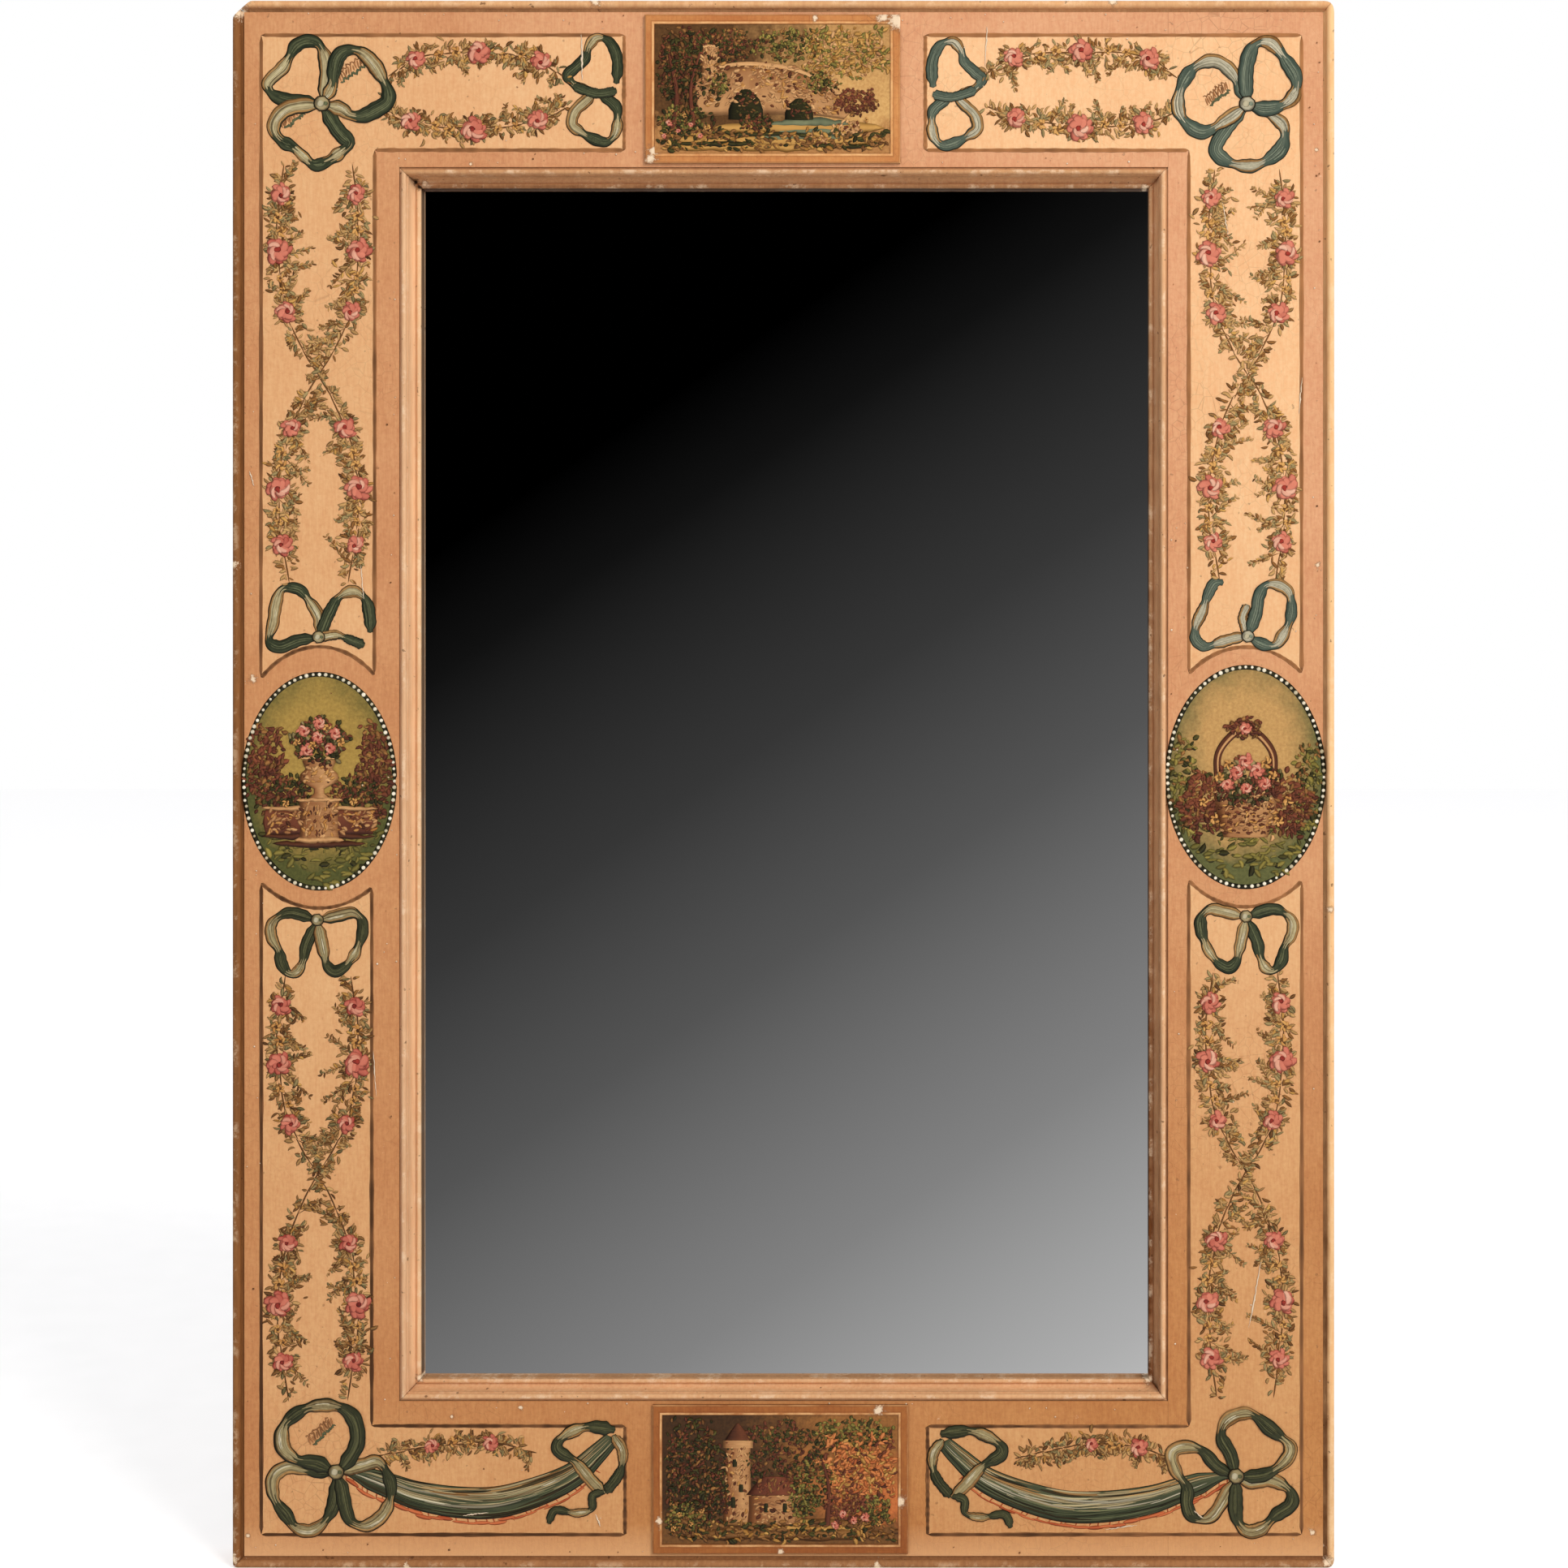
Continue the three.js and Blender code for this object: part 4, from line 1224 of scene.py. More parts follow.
@dataclass
class Bow:
    """A bow of painted ribbon: loops, tails and a knot, with strips of lace in its loops."""

    name: str
    knot: Pair
    loops: tuple[Loop, ...]
    silk: Ribbon = SILK
    mirrored: bool = False
    stretch: float = 1.0
    knot_size: float = 9.5
    lift: float = 0.0
    laces: tuple[tuple[Pair, Pair], ...] = ()
    seed: int = 3

    def placed(self, points: Array) -> Array:
        """Points about the knot, turned into places on the front."""
        return points * ((-self.stretch if self.mirrored else self.stretch), 1) + self.knot

    def paint(self, mesh: Mesh) -> None:
        """Paints the lace, then each loop over the one before, then the knot.

        Args:
            mesh: where it goes.
        """
        rng = np.random.default_rng(self.seed)
        base = LEVELS.face - LEVELS.stroke - self.lift
        for start, end in self.laces:
            self.lace(mesh, self.placed(even((start, end), 13)), base, rng)
        for order, loop in enumerate(self.loops):
            self.silk.lay(mesh, self.placed(loop.path(160)), loop.turns, loop.starts_green, loop.width,
                          base - 0.16 * order, rng)
        if self.knot_size:
            self.tie(mesh, base - 0.16 * len(self.loops) - 0.04)

    def lace(self, mesh: Mesh, places: Array, level: float, rng: Rng) -> None:
        """A strip of lace: uneven brown dashes across it, between a green and a brown wavy thread.

        Args:
            mesh: where it goes.
            places: (k, 2) middles of the dashes.
            level: Y of its back.
            rng: the random source.
        """
        k, m = len(places), 9
        across = normals(places)
        across *= np.sign(across[:, 1:] + 1e-9)
        line = sampled(places, np.linspace(0, 1, 48))
        for off, half, pigment, tone in ((-3.2, 0.75, Pigment.GREEN, 0.35), (2.9, 0.4, Pigment.LINE, 0.4)):
            wave = off + 0.9 * slow_noise(rng, 1, 48)[0] + 0.5 * np.sin(np.arange(48) * 0.9)
            strokes(mesh, (line + across[0] * wave[:, None])[None], half * taper(48, 0.2), level, 0.03,
                    pigment, tone + 0.1 * slow_noise(rng, 1, 48), across=5)
        t = np.linspace(-1, 1, m)[None, :, None]
        reach = t * rng.uniform(1.6, 3.0, (k, 1, 1)) + rng.uniform(-0.6, 0.6, (k, 1, 1))
        lean = np.stack([across[:, 1], -across[:, 0]], -1)[:, None] * (t * rng.uniform(0.2, 1.6, (k, 1, 1)))
        strokes(mesh, places[:, None] + across[:, None] * reach + lean, 0.5 * taper(m, 0.5),
                level - 0.05, 0.04, Pigment.LINE, rng.uniform(0.3, 0.9, (k, 1)))

    def tie(self, mesh: Mesh, level: float) -> None:
        """Paints the knot: a grey dab over a dark one, with a shadow and a light touch.

        Args:
            mesh: where it goes.
            level: Y of its back.
        """
        r = self.knot_size / 2
        dabs = ((1.14, 0.0, 0.0, Pigment.OUTLINE, 0.25), (0.98, 0.05, 0.0, self.silk.grey, 0.42),
                (0.5, 0.12, -0.2, Pigment.RIBBON_PALE, 0.25), (0.3, 0.12, 0.5, self.silk.green, 0.5))
        for size, lift, aside, pigment, tone in dabs:
            place = np.array([self.knot]) + (aside * r, 0.1 * r)
            round_dabs(mesh, place, np.array([r * size]), level - lift, 0.08, pigment, np.array([tone]),
                       (0.3, 0.95))

    def build(self, material: Material) -> bpy.types.Object:
        """Makes the bow a piece of its own, painted with the given brushwork."""
        mesh = Mesh()
        self.paint(mesh)
        return mesh.build(f"ribbon_{self.name}", material)


@dataclass
class Swag:
    """A gathered green cloth that hangs between two bows, with a red fringe."""

    name: str
    knot: Pair
    points: tuple[Pair, ...]
    widths: Pair = (8.0, 19.5)
    mirrored: bool = False
    stretch: float = 1.0
    seed: int = 31

    def paint(self, mesh: Mesh) -> None:
        """Paints the fringe, the cloth and its folds, tan above, green in the middle, dark below.

        The cloth's width goes from the end width to the middle width by sin(pi s) to the power
        0.75. Streaks follow it at heights drawn for each of three zones.

        Args:
            mesh: where it goes.
        """
        rng = np.random.default_rng(self.seed)
        n, across = 110, 21
        turn = -self.stretch if self.mirrored else self.stretch
        path = smooth_path(self.points, n) * (turn, 1) + self.knot
        s, v = np.linspace(0, 1, n), np.linspace(-1, 1, across)[None]
        width = self.widths[0] + (self.widths[1] - self.widths[0]) * np.sin(np.pi * s) ** 0.75
        width = width * np.clip(s / 0.1, 0.3, 1) ** 0.7
        normal = normals(path)
        up = np.sign(normal[:, 1].mean())
        base = LEVELS.face - LEVELS.stroke
        self.fringe(mesh, path, normal * up, width, base, rng)
        strokes(mesh, path[None], width / 2 + 0.5, base - 0.04, 0.02, Pigment.OUTLINE, 0.15)
        height = up * v
        noise = slow_noise(rng, across, n).T
        tone = 0.26 + 0.1 * height + rng.normal(0, 0.06, (1, across)) + 0.06 * noise
        strokes(mesh, path[None], width / 2, base - 0.06, 0.07, Pigment.GREEN, 0.0, across=across,
                sheen=tone[None, 1:-1])
        zones = ((30, 0.4, 0.95, shares(TAN=0.5, LEAF_OLIVE=0.35, OUTLINE=0.15), 0.5),
                 (46, -0.35, 0.5, shares(GREEN=0.4, SILVER=0.26, TAN=0.34), 0.45),
                 (22, -0.95, -0.4, shares(OUTLINE=0.35, GREEN=0.65), 0.26))
        m = 26
        for count, low, high, hues, light in zones:
            start = rng.uniform(0.0, 0.78, count)
            reach = np.minimum(rng.uniform(0.14, 0.4, count), 0.99 - start)
            at = start[:, None] + np.linspace(0, 1, m) * reach[:, None]
            v_at = rng.uniform(low, high, (count, 1))
            v_at = v_at + rng.normal(0, 0.07, (count, 1)) * np.linspace(-1, 1, m)
            body = np.interp(at, s, width) / 2
            line = sampled(path, at) + sampled(normal, at) * (up * v_at * body)[..., None]
            picked = pick(rng, hues, count)
            strokes(mesh, line, body * rng.uniform(0.04, 0.1, (count, 1)) * taper(m, 0.5),
                    base - 0.13 - rng.uniform(0, 0.05, count), 0.02, picked,
                    np.clip(rng.normal(light, 0.2, (count, 1)), 0.05, 0.95))

    def fringe(self, mesh: Mesh, path: Array, normal: Array, width: Array, level: float,
               rng: Rng) -> None:
        """A broken red line below the cloth, and short threads that join it to the cloth.

        Args:
            mesh: where they go.
            path: (n, 2) the cloth's middle line.
            normal: (n, 2) upward normals.
            width: (n,) the cloth's width.
            level: Y of their backs.
            rng: the random source.
        """
        grid = np.linspace(0, 1, len(path))
        k, m = 22, 11
        start = np.linspace(0.02, 0.8, k) + rng.uniform(-0.01, 0.01, k)
        at = start[:, None] + np.linspace(0, 0.055, m)
        drop = np.interp(at, grid, width) / 2 + 1.5 + rng.uniform(0, 2.2, (k, 1))
        fade = np.clip(1.3 - start, 0.4, 1)[:, None]
        strokes(mesh, sampled(path, at) - sampled(normal, at) * drop[..., None],
                1.4 * fade * rng.uniform(0.6, 1.1, (k, 1)) * taper(m, 0.45), level, 0.04, Pigment.FRINGE,
                rng.uniform(0.15, 0.75, (k, 1)))
        k, m = 30, 6
        at = np.linspace(0.02, 0.88, k)[:, None] + rng.uniform(-0.01, 0.01, (k, 1)) + np.linspace(0, 0.008, m)
        drop = np.interp(at, grid, width) / 2 + np.linspace(-0.5, 1, m) * rng.uniform(2, 4.5, (k, 1))
        strokes(mesh, sampled(path, at) - sampled(normal, at) * drop[..., None],
                0.42 * taper(m, 0.5), level, 0.03, Pigment.FRINGE, rng.uniform(0.0, 0.5, (k, 1)))


# ---------------- garlands


LEAVES = shares(LEAF_OLIVE=0.48, LEAF_DARK=0.26, LEAF_GREEN=0.2, OCHRE=0.06)


def leaf_strokes(mesh: Mesh, root: Array, angle: Array, size: Array, level: float,
                 rng: Rng, hues: Shares = LEAVES,
                 tone: Array | float = 0.45, plump: float = 1.0) -> None:
    """Adds single-dab leaves, slightly bent.

    Args:
        mesh: where they go.
        root: (k, 2) places where they start.
        angle: (k,) headings in radians.
        size: (k,) lengths.
        level: Y of their backs.
        rng: the random source.
        hues: pigments and their shares.
        tone: middle lightness, for each or for all.
        plump: how wide they are.
    """
    k, n = len(angle), 5
    t = np.linspace(0, 1, n)[None, :]
    turn = angle[:, None] + rng.normal(0, 0.4, (k, 1)) * t
    centre = root[:, None] + np.stack([np.cos(turn), np.sin(turn)], -1) * (t * size[:, None])[..., None]
    half = plump * rng.uniform(0.36, 0.74, (k, 1)) * (0.5 + 0.24 * size[:, None]) * taper(n, 0.7)
    pigment = pick(rng, hues, k)
    middle = np.broadcast_to(np.asarray(tone, float), (k,))[:, None]
    light = np.clip(rng.normal(middle, 0.2, (k, 1)), 0.05, 0.95)
    strokes(mesh, centre, half, level - rng.uniform(0, 0.1, k), 0.05, pigment, light)


def flowers(mesh: Mesh, place: Array, size: Array, level: float, rng: Rng,
            bud: bool = False, tone: float = 0.5) -> None:
    """Adds roses or buds: outer petals, inner petals that curl round, highlights and a heart.

    Args:
        mesh: where they go.
        place: (k, 2) middles.
        size: (k,) radii.
        level: Y of the backs of the outer petals.
        rng: the random source.
        bud: whether they are ochre buds.
        tone: their middle lightness.
    """
    k = len(place)
    if not k:
        return
    body, pale = (Pigment.BUD, Pigment.BUD) if bud else (Pigment.ROSE, Pigment.ROSE_PALE)
    lean = rng.uniform(-3, 3, k)

    def ring(petals: int, start: float, reach: float, wide: float, curl: float, height: float,
             pigment: Pigment, light: float, spread: float = 2 * np.pi) -> None:
        """A ring of petals; each starts and ends at shares of the radius and curls as it goes."""
        n = 7
        t = np.linspace(0, 1, n)[None, None]
        slots = np.arange(petals) + rng.uniform(-0.3, 0.3, (k, petals))
        angle = lean[:, None] + slots * spread / petals
        reach_now = reach * rng.uniform(0.74, 1.15, (k, petals, 1))
        turn = angle[..., None] + curl * t
        radius = size[:, None, None] * (start + (reach_now - start) * t)
        centre = place[:, None, None] + np.stack([np.cos(turn), np.sin(turn)], -1) * radius[..., None]
        half = size[:, None, None] * wide * rng.uniform(0.75, 1.2, (k, petals, 1)) * taper(n, 0.5)
        lit = tone + light + rng.normal(0, 0.14, (k, petals, 1)) + 0.1 * t
        order = height + rng.uniform(0, 0.04, k * petals)
        strokes(mesh, centre.reshape(-1, n, 2), half.reshape(-1, n), level - order, 0.07, pigment,
                lit.reshape(-1, n), across=4)

    if bud:
        ring(5, 0.1, 1.0, 0.26, 1.1, 0.0, body, 0.0)
        ring(3, -0.2, 0.45, 0.18, 0.6, 0.08, Pigment.LEAF_DARK, -0.3, spread=2.4)
        return
    ring(8, 0.1, 1.02, 0.34, 0.8, 0.0, body, -0.06)
    ring(6, 0.05, 0.76, 0.34, 1.3, 0.08, body, 0.1)
    ring(3, 0.25, 0.8, 0.2, 1.6, 0.15, pale, -0.2, spread=3.0)
    ring(2, -0.05, 0.34, 0.16, 1.0, 0.22, Pigment.ROSE_HEART, 0.0, spread=1.6)


@dataclass
class Garland:
    """A strand of roses, buds and leaves along a curve.

    roses are shares of the length, axis is the panel's middle line, which the sprigs reach for,
    and tone is how light the paint of this strand is.
    """

    points: tuple[Pair, ...]
    roses: tuple[float, ...]
    axis: tuple[Pair, Pair]
    rose_size: float = 7.3
    density: float = 1.0
    inner: float = 11.0
    outer: float = 5.5
    tone: float = 0.45
    thin: tuple[Pair, ...] = ()
    seed: int = 7
    fine: int = 400

    def paint(self, mesh: Mesh) -> None:
        """Paints stem, sprigs, leaves, buds and roses, from the back to the front."""
        rng = np.random.default_rng(self.seed)
        base = LEVELS.face - LEVELS.stroke
        path = smooth_path(self.points, self.fine)
        self.stem(mesh, path, base, rng)
        self.sprigs(mesh, path, base - 0.04, rng)
        self.leaves(mesh, path, base - 0.08, rng)
        buds, sizes = self.bud_places()
        places = sampled(path, buds) + rng.normal(0, 1.0, (len(buds), 2))
        flowers(mesh, places, sizes, base - 0.2, rng, bud=True, tone=self.tone + 0.05)
        at = np.array(self.roses)
        sizes = self.rose_size * np.where(np.arange(len(at)) % 3 == 1, 1.12, 0.92)
        places = sampled(path, at)
        leaves, spots = rng.uniform(0, 2 * np.pi, (len(at), 13)), np.repeat(places, 13, 0)
        around = np.stack([np.cos(leaves), np.sin(leaves)], -1).reshape(-1, 2) * self.rose_size * 0.8
        leaf_strokes(mesh, spots + around, leaves.ravel(), rng.uniform(3.2, 6.2, len(spots)),
                     base - 0.16, rng, tone=self.tone - 0.05)
        flowers(mesh, places, sizes * rng.uniform(0.92, 1.08, len(at)), base - 0.28, rng,
                tone=self.tone + 0.02)

    def inward(self, place: Array) -> tuple[Array, Array]:
        """Unit directions from places to the panel's middle line, and the distances to it."""
        a, b = np.asarray(self.axis, float)
        unit = (b - a) / np.linalg.norm(b - a)
        foot = a + ((place - a) @ unit)[:, None] * unit
        away = foot - place
        far = np.linalg.norm(away, axis=1)
        return away / (far[:, None] + 1e-6), far

    def thickness(self, at: Array) -> Array:
        """How full the strand is at shares of its length, 1 where it is fullest."""
        full = np.clip(np.minimum(at, 1 - at) / 0.08, 0.25, 1)
        for where, reach in self.thin:
            full = full * (1 - 0.72 * np.exp(-(((at - where) / reach) ** 2)))
        return full

    def bud_places(self) -> tuple[Array, Array]:
        """Shares of the length where buds sit, between the roses, and their sizes."""
        at = np.array(self.roses)
        gaps = np.stack([at[:-1] + (at[1:] - at[:-1]) * share for share in (0.4, 0.64)]).ravel()
        gaps = gaps[self.thickness(gaps) > 0.6]
        return gaps, np.where(np.arange(len(gaps)) % 2, 3.0, 3.9)

    def spots(self, path: Array, at: Array) -> tuple[Array, Array, Array, Array]:
        """What lies at shares of the strand's length: place, run, way inwards, way to go inwards."""
        place = sampled(path, at)
        run = sampled(np.gradient(path, axis=0), at)
        run /= np.linalg.norm(run, axis=1, keepdims=True)
        return place, run, *self.inward(place)

    def stem(self, mesh: Mesh, path: Array, base: float, rng: Rng) -> None:
        """A thin broken line along the strand."""
        pieces, n = 16, 12
        at = np.linspace(0, 0.93, pieces)[:, None] + np.linspace(0, 0.07, n)[None]
        centre = sampled(path, at) + rng.normal(0, 0.5, (pieces, 1, 2))
        strokes(mesh, centre, 0.5 * taper(n, 0.5), base, 0.04, Pigment.LEAF_DARK, self.tone - 0.15)

    def leaves(self, mesh: Mesh, path: Array, base: float, rng: Rng) -> None:
        """Dabs on both sides of the strand that fan out from it along its run."""
        length = length_of(path)
        count = int(length * 2.0 * self.density)
        at = rng.uniform(0, 1, count)
        at = at[rng.uniform(0, 1, count) < self.thickness(at)]
        place, run, inward, _ = self.spots(path, at)
        inner = rng.uniform(0, 1, len(at)) < 0.56
        reach = np.where(inner, self.inner * 0.8, self.outer) * self.thickness(at)
        off = np.abs(rng.normal(0, 0.5, len(at))) * reach * np.where(inner, 1, -1)
        heading = inward * np.where(inner, 1, -1)[:, None] + run * rng.uniform(-1.4, 1.4, (len(at), 1))
        angle = np.arctan2(heading[:, 1], heading[:, 0])
        leaf_strokes(mesh, place + inward * off[:, None], angle, rng.uniform(3.4, 6.6, len(at)),
                     base, rng, tone=self.tone + 0.05)

    def sprigs(self, mesh: Mesh, path: Array, base: float, rng: Rng) -> None:
        """Twigs like fern fronds, with leaves in pairs, that leave the strand on both sides."""
        length = length_of(path)
        count = int(length / 6.5 * self.density)
        at = np.clip((np.arange(count) + rng.uniform(0.1, 0.9, count)) / count, 0.02, 0.98)
        at = at[rng.uniform(0, 1, count) < self.thickness(at)]
        count = len(at)
        root, run, inward, far = self.spots(path, at)
        inner = rng.uniform(0, 1, count) < 0.7
        side = np.where(inner, 1.0, -1.0)[:, None]
        heading = inward * side + run * rng.choice([-1, 1], (count, 1)) * rng.uniform(0.2, 1.7, (count, 1))
        heading /= np.linalg.norm(heading, axis=1, keepdims=True)
        reach = np.where(inner, np.minimum(self.inner * rng.uniform(0.9, 2.3, count), far + 4),
                         self.outer * rng.uniform(0.8, 1.3, count))
        n = 12
        t = np.linspace(0, 1, n)[None, :, None]
        across = np.stack([-heading[:, 1], heading[:, 0]], -1)
        bend = across * rng.normal(0, 2.6, (count, 1))
        centre = root[:, None] + heading[:, None] * reach[:, None, None] * t + bend[:, None] * t**2
        strokes(mesh, centre, 0.3 * taper(n, 0.5), base, 0.03, Pigment.LEAF_DARK, self.tone)
        stations = np.arange(3, n)
        place = np.repeat(centre[:, stations][:, :, None], 2, 2)
        lean = np.array([1, -1])[None, None] * rng.uniform(0.4, 0.95, (count, len(stations), 2))
        angle = np.arctan2(heading[:, 1], heading[:, 0])[:, None, None] + lean
        size = rng.uniform(2.8, 5.0, angle.shape) * np.linspace(1.1, 0.7, len(stations))[None, :, None]
        leaf_strokes(mesh, place.reshape(-1, 2), angle.ravel(), size.ravel(), base, rng,
                     tone=self.tone + 0.06)


# ---------------- pictures


@dataclass
class Scenery:
    """Brushes for small pictures, all about one middle point and inside their edge.

    reach is the picture's half width and half height, and bend is 2 for an oval and large for a
    rectangle: a dab is left out where (x / width) ** bend + (z / height) ** bend is over 1.
    """

    middle: Pair
    level: float
    seed: int
    reach: Pair
    bend: float = 2.0
    step: float = 0.03

    def __post_init__(self) -> None:
        """Starts the piece and the random source."""
        self.mesh = Mesh()
        self.rng = np.random.default_rng(self.seed)

    def inside(self, place: Array) -> Array:
        """Which places, measured from the middle, are inside the edge."""
        return ((np.abs(place) / self.reach) ** self.bend).sum(-1) < 1

    def shape(self, line: Sequence[Sequence[float]], widths: Sequence[float], pigment: Pigment,
              tone: float, shade: float = 0.25, lit: float = -0.4, across: int = 7) -> None:
        """A turned or built shape: one broad stroke whose width follows given values.

        Args:
            line: its middle line about the picture's middle.
            widths: half widths, spread evenly along it.
            pigment: its colour.
            tone: its lightness.
            shade: how much darker its far edge is.
            lit: which side is lit, -1 for left to 1 for right.
            across: points across it.
        """
        n = 40
        s = np.linspace(0, 1, n)
        path = smooth_path(line, n) + self.middle
        half = np.interp(s, np.linspace(0, 1, len(widths)), widths)
        v = np.linspace(-1, 1, across)
        sheen = shade * (0.5 - np.abs(v - lit)) + 0.1 * slow_noise(self.rng, across, n)[:, 1:-1].T
        self.level -= self.step
        strokes(self.mesh, path[None], half, self.level, 0.08, pigment, tone, across=across,
                sheen=sheen[None])

    def bush(self, at: Sequence[float], radii: Sequence[float], count: int,
             hues: Shares, tone: float = 0.4, size: float = 2.2,
             light: float = 0.3) -> None:
        """A mass of leaves: dabs in an ellipse, lighter towards its upper left.

        Args:
            at: its middle about the picture's middle.
            radii: its half width and half height.
            count: how many dabs.
            hues: pigments and shares.
            tone: middle lightness.
            size: length of a dab.
            light: how much lighter its upper left is.
        """
        r, a = np.sqrt(self.rng.uniform(0, 1, count)), self.rng.uniform(0, 2 * np.pi, count)
        ragged = 1 + 0.14 * np.sin(5 * a + at[0]) + 0.1 * np.sin(9 * a)
        unit = np.stack([np.cos(a), np.sin(a)], -1) * (r * ragged)[:, None]
        place = unit * radii + at
        order = np.argsort(r)[::-1]
        order = order[self.inside(place)[order]]
        lightness = tone + light * (0.7 * unit[:, 1] - 0.4 * unit[:, 0])
        self.level -= self.step
        leaf_strokes(self.mesh, place[order] + self.middle, self.rng.uniform(0, 2 * np.pi, len(order)),
                     size * self.rng.uniform(0.6, 1.4, len(order)), self.level, self.rng, hues=hues,
                     tone=lightness[order], plump=1.5)

    def washes(self, spans: Sequence[tuple[float, float, float, float]], pigment: Pigment,
               tone: float) -> None:
        """Level strokes for ground, water and shade.

        Args:
            spans: for each, its left, right, height and half width.
            pigment: the colour.
            tone: the lightness.
        """
        n = 20
        spans = np.asarray(spans, float)
        s = np.linspace(0, 1, n)
        x = spans[:, :1] + (spans[:, 1:2] - spans[:, :1]) * s
        z = spans[:, 2:3] + 0.5 * slow_noise(self.rng, len(spans), n)
        half = spans[:, 3:4] * taper(n, 0.45) * (1 + 0.2 * slow_noise(self.rng, len(spans), n))
        self.level -= self.step
        strokes(self.mesh, np.stack([x, z], -1) + self.middle, half, self.level, 0.06, pigment,
                tone + 0.12 * slow_noise(self.rng, len(spans), n))

    def scumble(self, at: Sequence[float], radii: Sequence[float], count: int,
                hues: Shares, tone: float, size: float = 3.0,
                slant: float = 0.3, spread: float = 0.5) -> None:
        """Breaks up a part of the picture with broad dry dabs that lean one way.

        Args:
            at: its middle about the picture's middle.
            radii: its half width and half height.
            count: how many dabs.
            hues: pigments and shares.
            tone: middle lightness.
            size: length of a dab.
            slant: which way the dabs lean, in radians.
            spread: how much that varies.
        """
        place = self.rng.uniform(-1, 1, (count, 2)) * radii + at
        place = place[self.inside(place)]
        self.level -= self.step
        leaf_strokes(self.mesh, place + self.middle, self.rng.normal(slant, spread, len(place)),
                     size * self.rng.uniform(0.5, 1.5, len(place)), self.level, self.rng, hues=hues,
                     tone=tone, plump=1.2)

    def blooms(self, places: Sequence[Sequence[float]], size: float, bud: bool = False) -> None:
        """Small flowers at places about the picture's middle."""
        self.level -= self.step
        at = np.asarray(places, float) + self.middle
        flowers(self.mesh, at, size * self.rng.uniform(0.85, 1.15, len(at)), self.level, self.rng, bud=bud)
        self.level -= 0.25


DARK_TREES = shares(FOLIAGE=0.45, EARTH=0.2, RUSSET=0.35)
GREEN_TREES = shares(FOLIAGE=0.35, FOLIAGE_LIT=0.4, EARTH=0.25)
GOLD_TREES = shares(FOLIAGE_LIT=0.25, OCHRE=0.5, STONE=0.25)
RUSSET_TREES = shares(RUSSET=0.75, EARTH=0.25)


@dataclass
class Oval:
    """A painted oval with a border of pearls."""

    name: str
    middle: Pair
    radii: Pair
    pearls: int = 92
    pearl_radius: float = 1.25
    border: float = 1.7
    seed: int = 21

    def ring(self, inset: float, n: int) -> Array:
        """Places on the oval, inset from its outline and evenly spaced along it."""
        a, b = self.radii[0] - inset, self.radii[1] - inset
        fine = np.linspace(0, 2 * np.pi, 721)
        p = np.stack([a * np.cos(fine), b * np.sin(fine)], -1)
        length = distances(p)
        turned = np.interp(np.linspace(0, length[-1], n, endpoint=False), length, fine)
        return np.stack([a * np.cos(turned), b * np.sin(turned)], -1) + self.middle

    def ground(self, material: Material) -> bpy.types.Object:
        """The picture's ground: a disc whose place is middle + r (a cos t, b sin t)."""
        r, t = np.meshgrid(np.linspace(0.02, 1, 14), np.linspace(0, 2 * np.pi, 96, endpoint=False),
                           indexing="ij")
        a, b = (x - self.border for x in self.radii)
        x, z = self.middle[0] + a * r * np.cos(t), self.middle[1] + b * r * np.sin(t)
        level = LEVELS.face - LEVELS.film
        top = np.stack([x, np.full_like(x, level), z], -1)
        mesh = Mesh()
        hub = np.array([[self.middle[0], level, self.middle[1]]])
        rim = top[-1] + (0, LEVELS.film_thickness, 0)
        behind = hub + (0, LEVELS.film_thickness, 0)
        points = np.concatenate([hub, top.reshape(-1, 3), rim, behind])
        rows, columns = top.shape[:2]
        j = np.arange(columns)
        after = (j + 1) % columns
        last = 1 + (rows - 1) * columns
        edge = 1 + rows * columns
        fan = np.stack([np.zeros(columns, int), 1 + j, 1 + after], -1)
        wall = np.stack([last + j, edge + j, edge + after, last + after], -1)
        close = np.stack([edge + j, np.full(columns, edge + columns), edge + after], -1)
        mesh.add(points, [fan, grid_faces(rows, columns, wrap=True) + 1, wall, close], planar_marks(points))
        return mesh.build(f"oval_ground_{self.name}", material, smooth=False, closed=True)

    def border_of_pearls(self, material: Material) -> bpy.types.Object:
        """A dark band with round white dots on it, each a dome of paint."""
        rng = np.random.default_rng(self.seed)
        mesh = Mesh()
        n = 241
        path = self.ring(self.border, n - 1)
        path = np.concatenate([path, path[:1]])
        half = 1.5 * np.minimum(1, 40 * taper(n, 1.0))
        strokes(mesh, path[None], half, LEVELS.face - LEVELS.line, 0.12, Pigment.PEARL_GROUND,
                0.3 + 0.2 * slow_noise(rng, 1, n))
        dots = self.ring(self.border, self.pearls) + rng.normal(0, 0.16, (self.pearls, 2))
        round_dabs(mesh, dots, self.pearl_radius * rng.uniform(0.72, 1.15, self.pearls),
                   LEVELS.face - LEVELS.line - 0.14, 0.25, Pigment.PEARL, rng.normal(0.55, 0.28, self.pearls))
        return mesh.build(f"pearl_border_{self.name}", material)

    def scenery(self) -> Scenery:
        """Brushes about this oval's middle."""
        reach = (self.radii[0] - 3.5, self.radii[1] - 3.5)
        return Scenery(self.middle, LEVELS.face - LEVELS.stroke, self.seed, reach)


